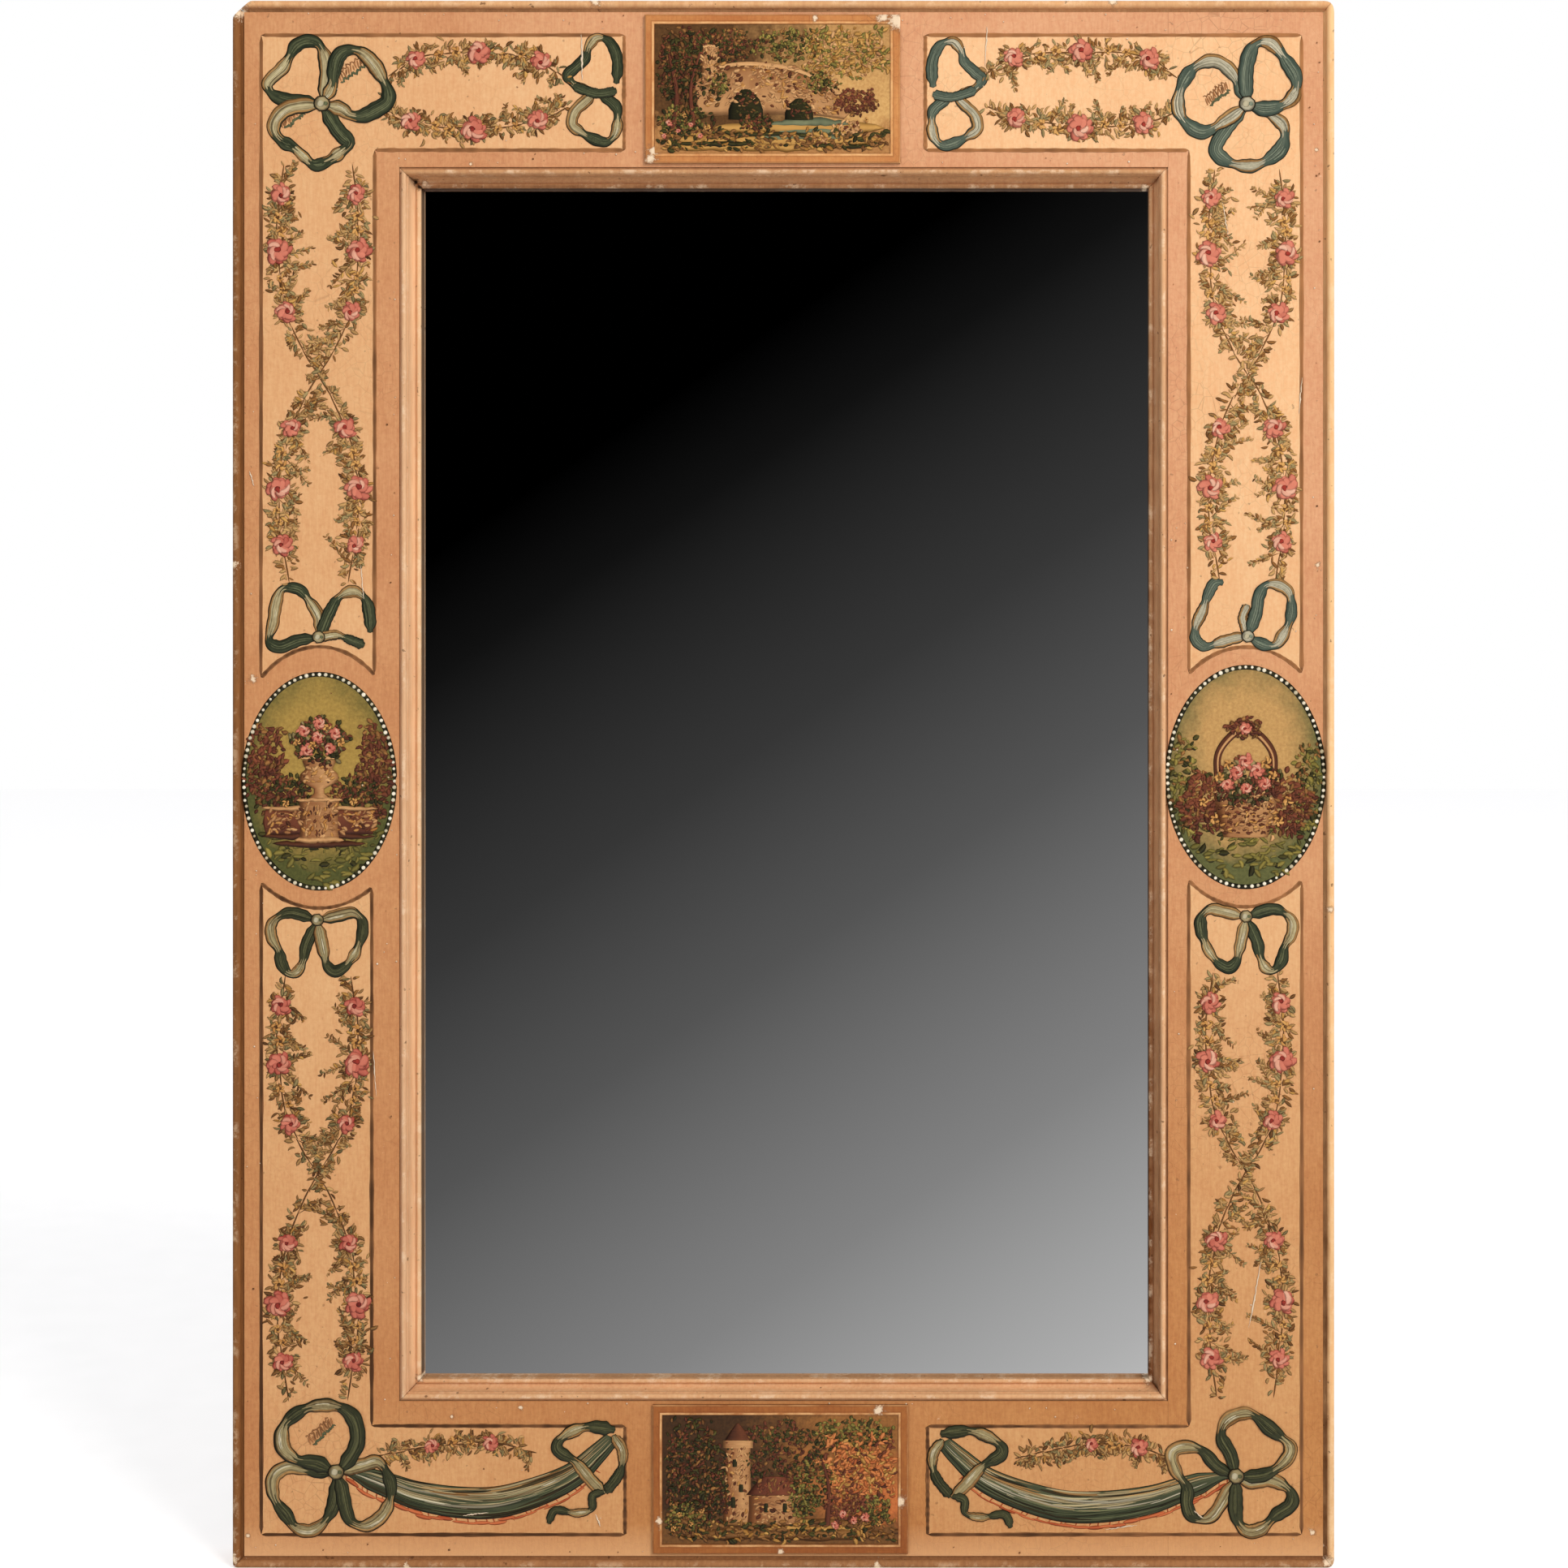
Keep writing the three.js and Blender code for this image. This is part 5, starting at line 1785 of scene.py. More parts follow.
def urn_garden(oval: Oval, material: Material) -> None:
    """A stone urn of flowers on a plinth, between dark trees.

    Args:
        oval: where it is painted.
        material: the brushwork.
    """
    s = oval.scenery()
    stone = shares(STONE=0.5, BUD=0.3, STONE_SHADE=0.2)
    s.scumble((-2, -46), (40, 20), 160, shares(FOLIAGE_LIT=0.8, FOLIAGE=0.2), 0.3, 6.0, 0.2, 0.5)
    s.bush((-34, 8), (12, 28), 300, RUSSET_TREES, tone=0.3, size=4.0, light=0.25)
    s.bush((35, 6), (11, 32), 300, RUSSET_TREES, tone=0.3, size=4.0, light=0.25)
    s.bush((-22, -8), (16, 12), 200, DARK_TREES, tone=0.3, size=3.6)
    s.bush((23, -8), (15, 12), 200, DARK_TREES, tone=0.3, size=3.6)
    s.washes([(-37, 36, -35, 2.4), (-30, 30, -40, 2.4)], Pigment.STONE_SHADE, 0.2)
    s.shape([(-36, -26), (36, -26)], [8, 8], Pigment.RUSSET, 0.5, lit=0.6)
    s.scumble((0, -26), (35, 6.5), 180, stone, 0.26, 4.0, 0.1, 0.5)
    s.washes([(-38, 38, -17.5, 1.7)], Pigment.STONE, 0.55)
    s.shape([(0, -38), (0, -12)], [13, 12, 12, 12, 13], Pigment.STONE, 0.2)
    s.scumble((0, -26), (10, 11), 80, stone, 0.34, 3.6, 1.3, 0.5)
    s.washes([(-15, 15, -12, 1.7), (-16, 16, -37.5, 2.0)], Pigment.STONE, 0.55)
    s.shape([(0, -11), (0, 14)], [7, 3.4, 3.2, 9.5, 12.5, 12, 8.5, 10, 11], Pigment.STONE, 0.34, shade=0.5)
    s.scumble((-2, 5), (9, 6), 50, stone, 0.5, 3.0, 0.4)
    s.washes([(-12, 12, 14.5, 1.1)], Pigment.STONE, 0.7)
    s.bush((0, 26), (17, 14), 260, shares(FOLIAGE=0.4, RUSSET=0.4, LEAF_GREEN=0.2),
           tone=0.3, size=3.8)
    s.blooms([(-8, 20), (7, 21), (-1, 28), (10, 31), (-10, 32), (0, 37)], 4.2)
    s.blooms([(-14, 25), (14, 25), (5, 34), (-4, 23), (-21, -14), (22, -13)], 3.0, bud=True)
    s.mesh.build(f"oval_picture_{oval.name}", material)


def flower_basket(oval: Oval, material: Material) -> None:
    """A basket of flowers with a high handle, on a green bank.

    Args:
        oval: where it is painted.
        material: the brushwork.
    """
    s = oval.scenery()
    cane = shares(STONE=0.5, BUD=0.3, RUSSET=0.2)
    s.scumble((0, -46), (40, 18), 160, shares(FOLIAGE_LIT=0.8, FOLIAGE=0.2), 0.35, 6.0, 0.2, 0.5)
    s.bush((-40, -4), (8, 30), 170, GREEN_TREES, tone=0.3, size=4.0, light=0.2)
    s.bush((40, -6), (8, 28), 170, GREEN_TREES, tone=0.4, size=4.0, light=0.2)
    s.bush((-26, -18), (16, 18), 300, RUSSET_TREES, tone=0.45, size=4.0)
    s.bush((26, -18), (16, 18), 300, RUSSET_TREES, tone=0.45, size=4.0)
    s.shape([(-17, -10), (-17, 16), (0, 31), (17, 16), (17, -10)], [2.2, 2.6, 2.2], Pigment.STONE_SHADE, 0.4)
    s.shape([(-17, -6), (-16.6, 16), (0, 30.6), (16.6, 16), (17, -6)], [0.7, 1.1, 0.7], Pigment.STONE, 0.55)
    s.shape([(0, -39), (0, -10)], [14, 16, 18, 19.5, 20.5], Pigment.STONE, 0.3, shade=0.35)
    for row in range(5):
        half = 14.5 + row * 1.3
        s.washes([(-half + 4 * i, -half + 4 * i + 3.4, -35.5 + 5.2 * row + (i % 2) * 1.6, 0.9)
                  for i in range(int(half / 2))], Pigment.STONE_SHADE, 0.4)
    s.scumble((0, -24), (17, 13), 120, cane, 0.45, 3.2, 0.1, 0.4)
    s.washes([(-21.5, 21.5, -10, 1.7)], Pigment.STONE, 0.6)
    s.bush((0, -3), (22, 13), 330, shares(FOLIAGE=0.3, RUSSET=0.5, LEAF_GREEN=0.2),
           tone=0.35, size=3.8)
    s.bush((0, 31), (10, 6), 90, RUSSET_TREES, tone=0.35, size=3.6)
    s.blooms([(-12, -5), (0, -7), (12, -4), (-6, 3), (7, 4), (0, 10), (0, 31)], 4.8)
    s.blooms([(-17, 0), (17, 1), (-11, 8), (13, 9), (-27, -16), (27, -15), (-20, -27), (21, -28)], 3.6,
             bud=True)
    s.mesh.build(f"oval_picture_{oval.name}", material)


@dataclass
class PlaquePicture:
    """A little landscape in an applied plaque's sunk field."""

    name: str
    middle: Pair
    size: Pair = (150.2, 82.2)
    seed: int = 51

    def ground(self, material: Material) -> bpy.types.Object:
        """The picture's ground, a thin sheet in the sunk field.

        Args:
            material: its finish.

        Returns:
            The piece.
        """
        x = np.linspace(-0.5, 0.5, 41)[:, None] * self.size[0] + self.middle[0]
        z = np.linspace(-0.5, 0.5, 23)[None] * self.size[1] + self.middle[1]
        x, z = np.broadcast_arrays(x, z)
        mesh = Mesh()
        slab(mesh, np.stack([x, np.full(x.shape, LEVELS.picture - 0.06), z], -1), 0.05)
        return mesh.build(f"plaque_ground_{self.name}", material, "painted_plaque", smooth=False, closed=True)

    def scenery(self) -> Scenery:
        """Brushes about this picture's middle."""
        reach = (self.size[0] / 2 - 2.5, self.size[1] / 2 - 2.5)
        return Scenery(self.middle, LEVELS.picture - 0.08, self.seed, reach, 40.0, 0.012)


def ruined_bridge(picture: PlaquePicture, material: Material) -> None:
    """A pale stone bridge over a stream, tall trees on the left and an ochre evening on the right.

    Args:
        picture: where it is painted.
        material: the brushwork.
    """
    s = picture.scenery()
    s.bush((45, 22), (27, 15), 420, GOLD_TREES, tone=0.55, size=3.0, light=0.25)
    s.bush((10, 28), (22, 10), 300, GREEN_TREES, tone=0.35, size=2.6)
    s.bush((14, 2), (26, 9), 320, GREEN_TREES, tone=0.25, size=2.4)
    s.bush((-56, 14), (17, 24), 620, DARK_TREES, tone=0.25, size=2.8)
    s.bush((-30, 28), (22, 10), 380, DARK_TREES, tone=0.45, size=2.6)
    s.washes([(-72, 70, -33, 5), (-40, 72, -25, 4.5), (-70, 30, -37, 3)], Pigment.OCHRE, 0.5)
    s.washes([(-6, 52, -22, 3.0), (2, 60, -27, 2.6), (-14, 46, -31, 2.4)], Pigment.WATER, 0.35)
    walls = shares(STONE=0.72, STONE_SHADE=0.14, BUD=0.14)
    s.shape([(-50, -5), (-14, -1), (20, -4), (50, -15)], [13, 16, 14, 5], Pigment.STONE, 0.36, shade=0.3)
    s.scumble((-16, 2), (30, 13), 330, walls, 0.5, 3.6)
    s.scumble((24, -5), (18, 10), 170, walls, 0.42, 3.4, -0.3)
    s.shape([(-42, 13), (-14, 16), (18, 11), (46, -5)], [1.0, 1.4, 1.2, 0.8], Pigment.STONE, 0.75)
    s.shape([(-40, 4), (-40, 27)], [5.4, 5.0, 5.2], Pigment.STONE, 0.4, shade=0.4)
    s.scumble((-40, 15), (4, 10), 60, walls, 0.52, 3.0, 1.5)
    s.washes([(-46, -34, 27, 1.1)], Pigment.STONE, 0.75)
    for x, z, wide, tall in ((-17, -20, 11, 20), (17, -20, 9, 14)):
        s.shape([(x, z), (x, z + tall)], [wide, wide, 0.8 * wide, 0.2 * wide], Pigment.FOLIAGE, 0.1,
                shade=0.1)
        s.scumble((x, z + tall / 2), (wide * 0.6, tall * 0.35), 50, DARK_TREES, 0.2, 2.6, 0.1)
    s.bush((-34, 4), (6, 8), 90, GREEN_TREES, tone=0.35, size=2.2)
    s.bush((30, 4), (8, 6), 120, GREEN_TREES, tone=0.4, size=2.2)
    s.bush((54, -8), (13, 8), 240, RUSSET_TREES, tone=0.45, size=2.4)
    s.bush((-58, -20), (14, 9), 300, GREEN_TREES, tone=0.2, size=2.4)
    s.bush((-10, -22), (10, 5), 140, DARK_TREES, tone=0.3, size=2.2)
    s.bush((48, -26), (9, 4), 90, walls, tone=0.6, size=3.0)
    s.bush((30, -32), (6, 3), 50, walls, tone=0.5, size=2.6)
    s.washes([(-60, -10, -35, 1.6), (20, 66, -36.5, 1.6), (-30, 20, -29, 1.2)], Pigment.FOLIAGE, 0.25)
    s.shape([(-64, -28), (-61, -4), (-66, 22)], [2.0, 1.5, 0.8], Pigment.RUSSET, 0.3, across=5)
    s.shape([(-50, -24), (-52, 0), (-46, 24)], [1.6, 1.1, 0.6], Pigment.RUSSET, 0.4, across=5)
    s.scumble((0, -33), (72, 6), 300, shares(EARTH=0.4, OCHRE=0.3, FOLIAGE=0.3), 0.35, 4.0, 0)
    s.scumble((-54, 0), (20, 38), 240, shares(FOLIAGE=0.5, EARTH=0.3, STONE_SHADE=0.2), 0.25, 3.4, 1.2, 0.8)
    s.scumble((48, 26), (26, 14), 200, shares(OCHRE=0.5, STONE=0.2, FOLIAGE_LIT=0.3), 0.45, 3.6, 0.4, 0.8)
    s.blooms([(-66, -22), (-60, -27), (-52, -23), (-46, -30), (-69, -30)], 2.0)
    s.blooms([(-56, -17), (-64, -14), (-42, -25), (60, -20)], 1.7, bud=True)
    s.mesh.build(f"plaque_picture_{picture.name}", material, "painted_plaque")


def evening_tower(picture: PlaquePicture, material: Material) -> None:
    """A round tower between dark trees, with a red evening sky on the right.

    Args:
        picture: where it is painted.
        material: the brushwork.
    """
    s = picture.scenery()
    s.bush((50, 6), (22, 15), 320, shares(WARM=0.8, OCHRE=0.2), tone=0.6, size=3.4, light=0.1)
    s.bush((46, 30), (26, 9), 280, GREEN_TREES, tone=0.4, size=2.8)
    s.bush((0, 18), (32, 20), 620, DARK_TREES, tone=0.3, size=2.8)
    s.bush((-56, 8), (19, 30), 620, DARK_TREES, tone=0.2, size=2.8)
    s.bush((18, -4), (16, 15), 320, GREEN_TREES, tone=0.15, size=2.4)
    s.washes([(-72, 72, -35, 4), (-40, 60, -28, 3.5)], Pigment.EARTH, 0.35)
    s.washes([(-30, 34, -27, 1.6), (-10, 50, -31, 1.6)], Pigment.OCHRE, 0.5)
    walls = shares(STONE=0.64, STONE_SHADE=0.24, BUD=0.12)
    s.shape([(-27, -28), (-27, 22)], [9.5, 8.6, 8.2, 8.0, 8.0], Pigment.STONE, 0.34, shade=0.5)
    s.scumble((-28, -4), (6.5, 24), 110, walls, 0.5, 3.0, 1.4)
    s.shape([(-27, 20), (-27, 25)], [9.6, 9.6, 9.6], Pigment.STONE, 0.5, shade=0.4)
    s.shape([(-27, 25), (-27, 36)], [8.5, 5.0, 0.8], Pigment.STONE_SHADE, 0.4, shade=0.5)
    s.shape([(-4, -28), (-4, -10)], [17, 16, 16], Pigment.STONE, 0.24, shade=0.45)
    s.scumble((-4, -19), (14, 9), 110, walls, 0.4, 3.2)
    s.shape([(-4, -10), (-4, 2)], [18, 13, 7], Pigment.RUSSET, 0.5, shade=0.4)
    s.scumble((-4, -5), (11, 4), 60, RUSSET_TREES, 0.55, 3.0, 0.9)
    for x, z, tall in ((-29, 8, 5), (-25, -8, 5), (-9, -21, 6), (3, -21, 6), (-30, -18, 7)):
        s.shape([(x, z), (x, z + tall)], [1.3, 1.5, 1.2], Pigment.FOLIAGE, 0.1, across=5)
    s.bush((-40, -10), (8, 16), 150, DARK_TREES, tone=0.3, size=2.6)
    s.bush((14, -14), (8, 12), 150, GREEN_TREES, tone=0.3, size=2.6)
    s.bush((44, -16), (14, 11), 300, RUSSET_TREES, tone=0.45, size=2.6)
    s.bush((61, -20), (9, 9), 200, GREEN_TREES, tone=0.35, size=2.4)
    s.bush((-60, -24), (13, 9), 260, GREEN_TREES, tone=0.2, size=2.4)
    s.shape([(30, -30), (31, -6), (27, 12)], [1.8, 1.3, 0.7], Pigment.RUSSET, 0.3, across=5)
    s.scumble((0, -33), (72, 6), 300, shares(EARTH=0.5, OCHRE=0.2, FOLIAGE=0.3), 0.3, 4.0, 0)
    s.scumble((50, 8), (22, 20), 260, shares(WARM=0.5, RUSSET=0.3, OCHRE=0.2), 0.45, 3.8, 0.4, 0.8)
    s.scumble((-56, 0), (16, 38), 220, shares(FOLIAGE=0.5, EARTH=0.4, STONE_SHADE=0.1), 0.2, 3.4, 1.2, 0.8)
    s.blooms([(40, -22), (47, -26), (35, -29), (54, -24)], 2.6)
    s.blooms([(-64, -22), (-57, -28), (-50, -20), (-68, -31), (63, -28)], 1.9, bud=True)
    s.mesh.build(f"plaque_picture_{picture.name}", material, "painted_plaque")


def first_coat(r: Recipe, base: Any, scale: float, dark: Colour, light: Colour) -> Material:
    """Finishes a picture's first coat: fine mottle between two tones, slight relief and varnish.

    Args:
        r: the recipe so far.
        base: its colour socket.
        scale: spots of the mottle in a metre.
        dark: the mottle's dark tone.
        light: its light tone.

    Returns:
        The material.
    """
    fine = r.noise(scale, 4, 0.6)
    base = r.mix(0.35, base, r.ramp(fine, [(0.3, dark), (0.7, light)]), "SOFT_LIGHT")
    r.bump(fine, 0.0001)
    return r.set(Base_Color=base, Roughness=0.42, Specular_IOR_Level=0.4)


@dataclass(frozen=True)
class PictureGround:
    """A picture's first coat: dark on one side, bright sky on the other, earth at the foot."""

    name: str
    middle: Pair
    dark: Colour
    sky: Colour
    glow: Colour
    earth: Colour

    def make(self) -> Material:
        """Mixes the coats by place, with their borders broken up by noise."""
        r = Recipe(self.name)
        x = r.maths("SUBTRACT", r.axis("X"), self.middle[0] * MM)
        z = r.maths("SUBTRACT", r.axis("Z"), self.middle[1] * MM)
        cloud = r.maths("SUBTRACT", r.noise(45, 6, 0.65), 0.5)
        across = r.line(x, 11.0, r.line(cloud, 1.4, 0.42))
        base = r.mix(r.ramp(across, [(0.2, 0.0), (0.75, 1.0)]), self.dark, self.sky)
        low = r.line(z, -16.0, r.line(cloud, 0.8, 0.4))
        base = r.mix(r.times(r.ramp(across, [(0.5, 0.0), (1.0, 1.0)]),
                             r.ramp(low, [(0.1, 0.0), (0.5, 1.0)])), base, self.glow)
        base = r.mix(r.ramp(low, [(0.7, 0.0), (0.85, 1.0)]), base, self.earth)
        return first_coat(r, base, 600, (70, 60, 50), (255, 244, 230))


@dataclass(frozen=True)
class OvalGround:
    """An oval's first coat: a gold sky, greener towards the rim and the foot."""

    name: str
    middle: Pair
    radii: Pair
    sky: Colour
    rim: Colour

    def make(self) -> Material:
        """Mixes the sky into the rim's green by the distance from a point above the middle."""
        r = Recipe(self.name)
        x = r.times(r.maths("SUBTRACT", r.axis("X"), self.middle[0] * MM), 1 / (self.radii[0] * MM))
        z = r.times(r.maths("SUBTRACT", r.axis("Z"), (self.middle[1] + 12) * MM),
                    1 / (self.radii[1] * MM))
        far = r.maths("ADD", r.times(x, x), r.times(z, z))
        cloud = r.line(r.noise(40, 6, 0.65), 1.1, r.maths("SUBTRACT", far, 0.5))
        base = r.mix(r.ramp(cloud, [(0.3, 0.0), (1.1, 1.0)]), self.sky, self.rim)
        return first_coat(r, base, 500, (80, 70, 55), (255, 244, 226))


@dataclass
class Wear:
    """Scratches and chips that show the white gesso under the paint."""

    seed: int = 81

    def scratches(self, mesh: Mesh, rng: Rng) -> None:
        """Long thin ones at known places: start, end and half width in millimetres."""
        marks = (
            ((-129, 979), (-128.5, 949), 0.55), ((130, 984), (128.5, 958), 0.4),
            ((-120, 34), (-117, 26), 0.5), ((297, 152), (305, 196), 0.45),
            ((-270, 640), (-268, 618), 0.35), ((262, 36), (268, 31), 0.4),
            ((-341, 700), (-338, 690), 0.4), ((331, 760), (329, 736), 0.35),
            ((-262, 330), (-260, 300), 0.3), ((205, 24), (226, 27), 0.35),
            ((-205, 33), (-188, 35), 0.4), ((280, 872), (284, 850), 0.3),
        )
        n = 24
        for start, end, half in marks:
            line = even((start, end), n) + 0.25 * slow_noise(rng, 2, n).T
            strokes(mesh, line[None], (half * (1 + 0.4 * slow_noise(rng, 1, n)) * taper(n, 0.5)).clip(0.05),
                    LEVELS.face - LEVELS.wear, 0.03, Pigment.GESSO, 0.55)

    def specks(self, mesh: Mesh, rng: Rng) -> None:
        """Small flecks over the boards, most of them near the frame's and the glass's edges."""
        k = 190
        side = rng.integers(0, 4, k)
        along = rng.uniform(-1, 1, k)
        near = np.abs(rng.normal(0, 4.5, k))
        inset = np.where(rng.uniform(0, 1, k) < 0.5, 8.5 + near, 104.5 - near)
        inset = np.where(rng.uniform(0, 1, k) < 0.25, rng.uniform(10, 103, k), inset)
        w, h = HALF_WIDTH - inset, HALF_HEIGHT - inset
        x = np.select([side == 0, side == 1], [-w, w], along * w)
        z = np.select([side == 2, side == 3], [HALF_HEIGHT - h, HALF_HEIGHT + h], HALF_HEIGHT + along * h)
        size = rng.uniform(0.4, 1.5, k)
        angle = rng.uniform(0, np.pi, k)
        leaf_strokes(mesh, np.stack([x, z], -1), angle, size, LEVELS.face - LEVELS.wear, rng,
                     hues=shares(GESSO=0.7, LINE=0.3), tone=0.4, plump=1.3)

    def build(self, material: Material) -> bpy.types.Object:
        """Makes the piece."""
        rng = np.random.default_rng(self.seed)
        mesh = Mesh()
        self.scratches(mesh, rng)
        self.specks(mesh, rng)
        return mesh.build("worn_spots", material)


# ---------------- studio


@dataclass
class Studio:
    """Floor, light and camera. Lengths are in metres here."""

    view_width: float = 0.9994
    distance: float = 1.6
    aside: float = 0.15
    above: float = 0.585
    middle: Pair = (0.0005, 0.5002)
    front: float = -0.019
    room_level: float = 0.688
    room_right: float = 0.55
    room_up: float = 0.82
    room_greys: tuple[Pair, ...] = ((0.035, 0), (0.1, 17), (0.25, 55), (0.37, 85), (0.54, 131),
                                    (0.686, 175), (0.82, 214))

    def camera(self) -> None:
        """A shifted camera square to the front, so that the frame's sides stay upright."""
        data = bpy.data.cameras.new("camera")
        data.sensor_fit = "HORIZONTAL"
        data.sensor_width = 36
        data.lens = 36 * self.distance / self.view_width
        data.shift_x = (self.middle[0] - self.aside) / self.view_width
        data.shift_y = (self.middle[1] - self.above) / self.view_width
        camera = bpy.data.objects.new("camera", data)
        camera.location = (self.aside, self.front - self.distance, self.above)
        camera.rotation_euler = (np.pi / 2, 0, 0)
        bpy.context.scene.collection.objects.link(camera)
        bpy.context.scene.camera = camera

    def lamp(self, name: str, place: Sequence[float], aim: Sequence[float], size: float,
             power: float, colour: Sequence[float]) -> None:
        """A square area lamp pointed at a place.

        Args:
            name: its name.
            place: where it stands.
            aim: what it points at.
            size: its side.
            power: watts.
            colour: linear colour.
        """
        data = bpy.data.lights.new(name, "AREA")
        data.size = size
        data.energy = power
        data.color = colour
        lamp = bpy.data.objects.new(name, data)
        lamp.location = place
        lamp.rotation_euler = (Vector(aim) - Vector(place)).to_track_quat("-Z", "Y").to_euler()
        lamp.visible_glossy = False
        bpy.context.scene.collection.objects.link(lamp)

    def world(self) -> None:
        """White for the camera, soft light for surfaces, and a dim room for reflections.

        A reflection that comes from in front of the mirror sees a room that is dark at the
        upper left and pale at the lower right. For a place x, z on the glass it is
        level + right x - up z, read off a ramp. Behind the mirror the room is pale.
        """
        world = bpy.data.worlds.new("studio")
        bpy.context.scene.world = world
        world.use_nodes = True
        w = Nodes(world.node_tree)
        way = w.node("SeparateXYZ", {0: w.node("TexCoord").outputs["Generated"]}).outputs
        ahead = w.maths("MAXIMUM", w.maths("ABSOLUTE", way["Y"]), 0.05)
        right, up = (w.maths("DIVIDE", way[axis], ahead) for axis in "XZ")
        start = self.room_level + self.room_right * self.aside - self.room_up * self.above
        shade = w.line(right, self.room_right * self.distance, start)
        shade = w.line(up, -self.room_up * self.distance, shade)
        room = w.ramp(shade, [(at, (grey, grey, grey)) for at, grey in self.room_greys])
        behind = w.node("MapRange", {0: way["Y"], 1: -0.35, 2: 0.1}).outputs[0]
        room = w.mix(behind, room, (0.85, 0.85, 0.85, 1))
        path = w.node("LightPath").outputs
        soft = w.mix(path["Is Glossy Ray"], (0.52, 0.52, 0.53, 1), room)
        seen = w.mix(path["Is Camera Ray"], soft, (1, 1, 1, 1))
        back = w.node("Background", {0: seen, 1: 1.0})
        w.node("OutputWorld", {0: back.outputs[0]})

    def floor(self) -> None:
        """A wide pale floor that keeps a soft shadow and doesn't show in the glass."""
        half = 9.0
        mesh = bpy.data.meshes.new("floor")
        mesh.from_pydata([(-half, -half, 0), (half, -half, 0), (half, half, 0), (-half, half, 0)],
                         [], [(0, 1, 2, 3)])
        r = Recipe("pale_floor")
        path = r.node("LightPath").outputs["Is Camera Ray"]
        grain = r.ramp(r.noise(30, 3), [(0.3, (238, 238, 238)), (0.7, (244, 244, 244))])
        mesh.materials.append(r.set(Base_Color=grain, Roughness=0.9, Emission_Color=(1, 1, 1, 1),
                                    Emission_Strength=r.times(path, 0.5)))
        floor = bpy.data.objects.new("floor", mesh)
        floor.visible_glossy = False
        bpy.context.scene.collection.objects.link(floor)

    def build(self) -> None:
        """Sets up everything round the mirror."""
        scene = bpy.context.scene
        scene.view_settings.view_transform = "Standard"
        self.camera()
        self.world()
        self.floor()
        self.lamp("key", (3.3, -3.9, 3.9), (0, 0, 0.5), 2.2, 205, (1.0, 0.97, 0.93))
        self.lamp("fill", (-2.4, -3.6, 0.8), (0, 0, 0.5), 2.4, 16, (1.0, 0.98, 0.96))


# ---------------- the frame's own pieces


@dataclass(frozen=True)
class Plaque:
    """An applied plaque: where it sits, how wide its border is, its paint and its losses."""

    middle: Pair
    paint: Colour
    # The darker colour, where the painted light is weak, and in stains.
    aged_and_shaded: Colour
    chips: tuple[Chip, ...]
    size: Pair = (163.0, 95.0)
    width: float = 6.2

    def border(self, name: str) -> Material:
        """Ochre paint with a painted highlight on its inner strip and along its outer arris, a thin brown
        line, and painted shade on its sides.

        The paint goes by d, the distance outwards from the picture's edge: the larger of
        abs(x - middle) - half width and abs(z - middle) - half height.

        Args:
            name: the material's name.

        Returns:
            The material.
        """
        r = Recipe(name)
        base, height = AgedPaint(name, self.paint, self.aged_and_shaded, chips=0.3, cloud=0.5).colour(r)
        gaps = []
        for axis, middle, size in zip("XZ", self.middle, self.size):
            off = r.maths("ABSOLUTE", r.line(r.axis(axis), 1000.0, -middle))
            gaps.append(r.maths("SUBTRACT", off, size / 2 - self.width))
        d = r.line(r.maths("MAXIMUM", *gaps), 1 / self.width,
                    r.line(r.noise(90, 3), 0.08, -0.04))
        patch = r.ramp(r.noise(70, 5, 0.65), [(0.38, 0.2), (0.6, 1.0)])
        # Painted highlights: a light strip inside the border and a light outer arris.
        lit = r.ramp(d, [(0.0, 0.1), (0.06, 0.75), (0.2, 0.7), (0.26, 0.0), (0.86, 0.0), (0.93, 0.6)])
        base = r.mix(r.times(lit, patch), base, (246, 194, 132))
        dark = r.ramp(d, [(0.0, 0.8), (0.05, 0.0), (0.24, 0.0), (0.3, 0.6), (0.4, 0.15), (0.8, 0.1),
                          (0.86, 0.45)])
        base = r.mix(r.times(dark, 0.8), base, (112, 58, 22))
        # Painted shade on the plaque's sides, behind its front.
        y = r.line(r.axis("Y"), 1000.0, -LEVELS.plaque)
        base = r.mix(r.ramp(r.times(y, 0.4), [(0.3, 0.0), (0.6, 0.8)]), base, (88, 46, 18))
        base = r.chipped(base, self.chips)
        r.bump(height, 0.0002)
        return r.set(Base_Color=base, Roughness=0.5, Specular_IOR_Level=0.35)


PLAQUE_TOP = Plaque((-7.0, 943.5), (226, 156, 92), (184, 116, 62),
                    ((73, 987, 9), (64, 989, 5), (-85, 899, 5), (-83, 904, 4), (20, 989, 3)))
PLAQUE_BOTTOM = Plaque((-2.0, 56.5), (216, 140, 74), (176, 108, 52),
                       ((74, 42, 6), (70, 38, 4), (61, 101, 5), (-79, 30, 3), (-2, 10, 3)))


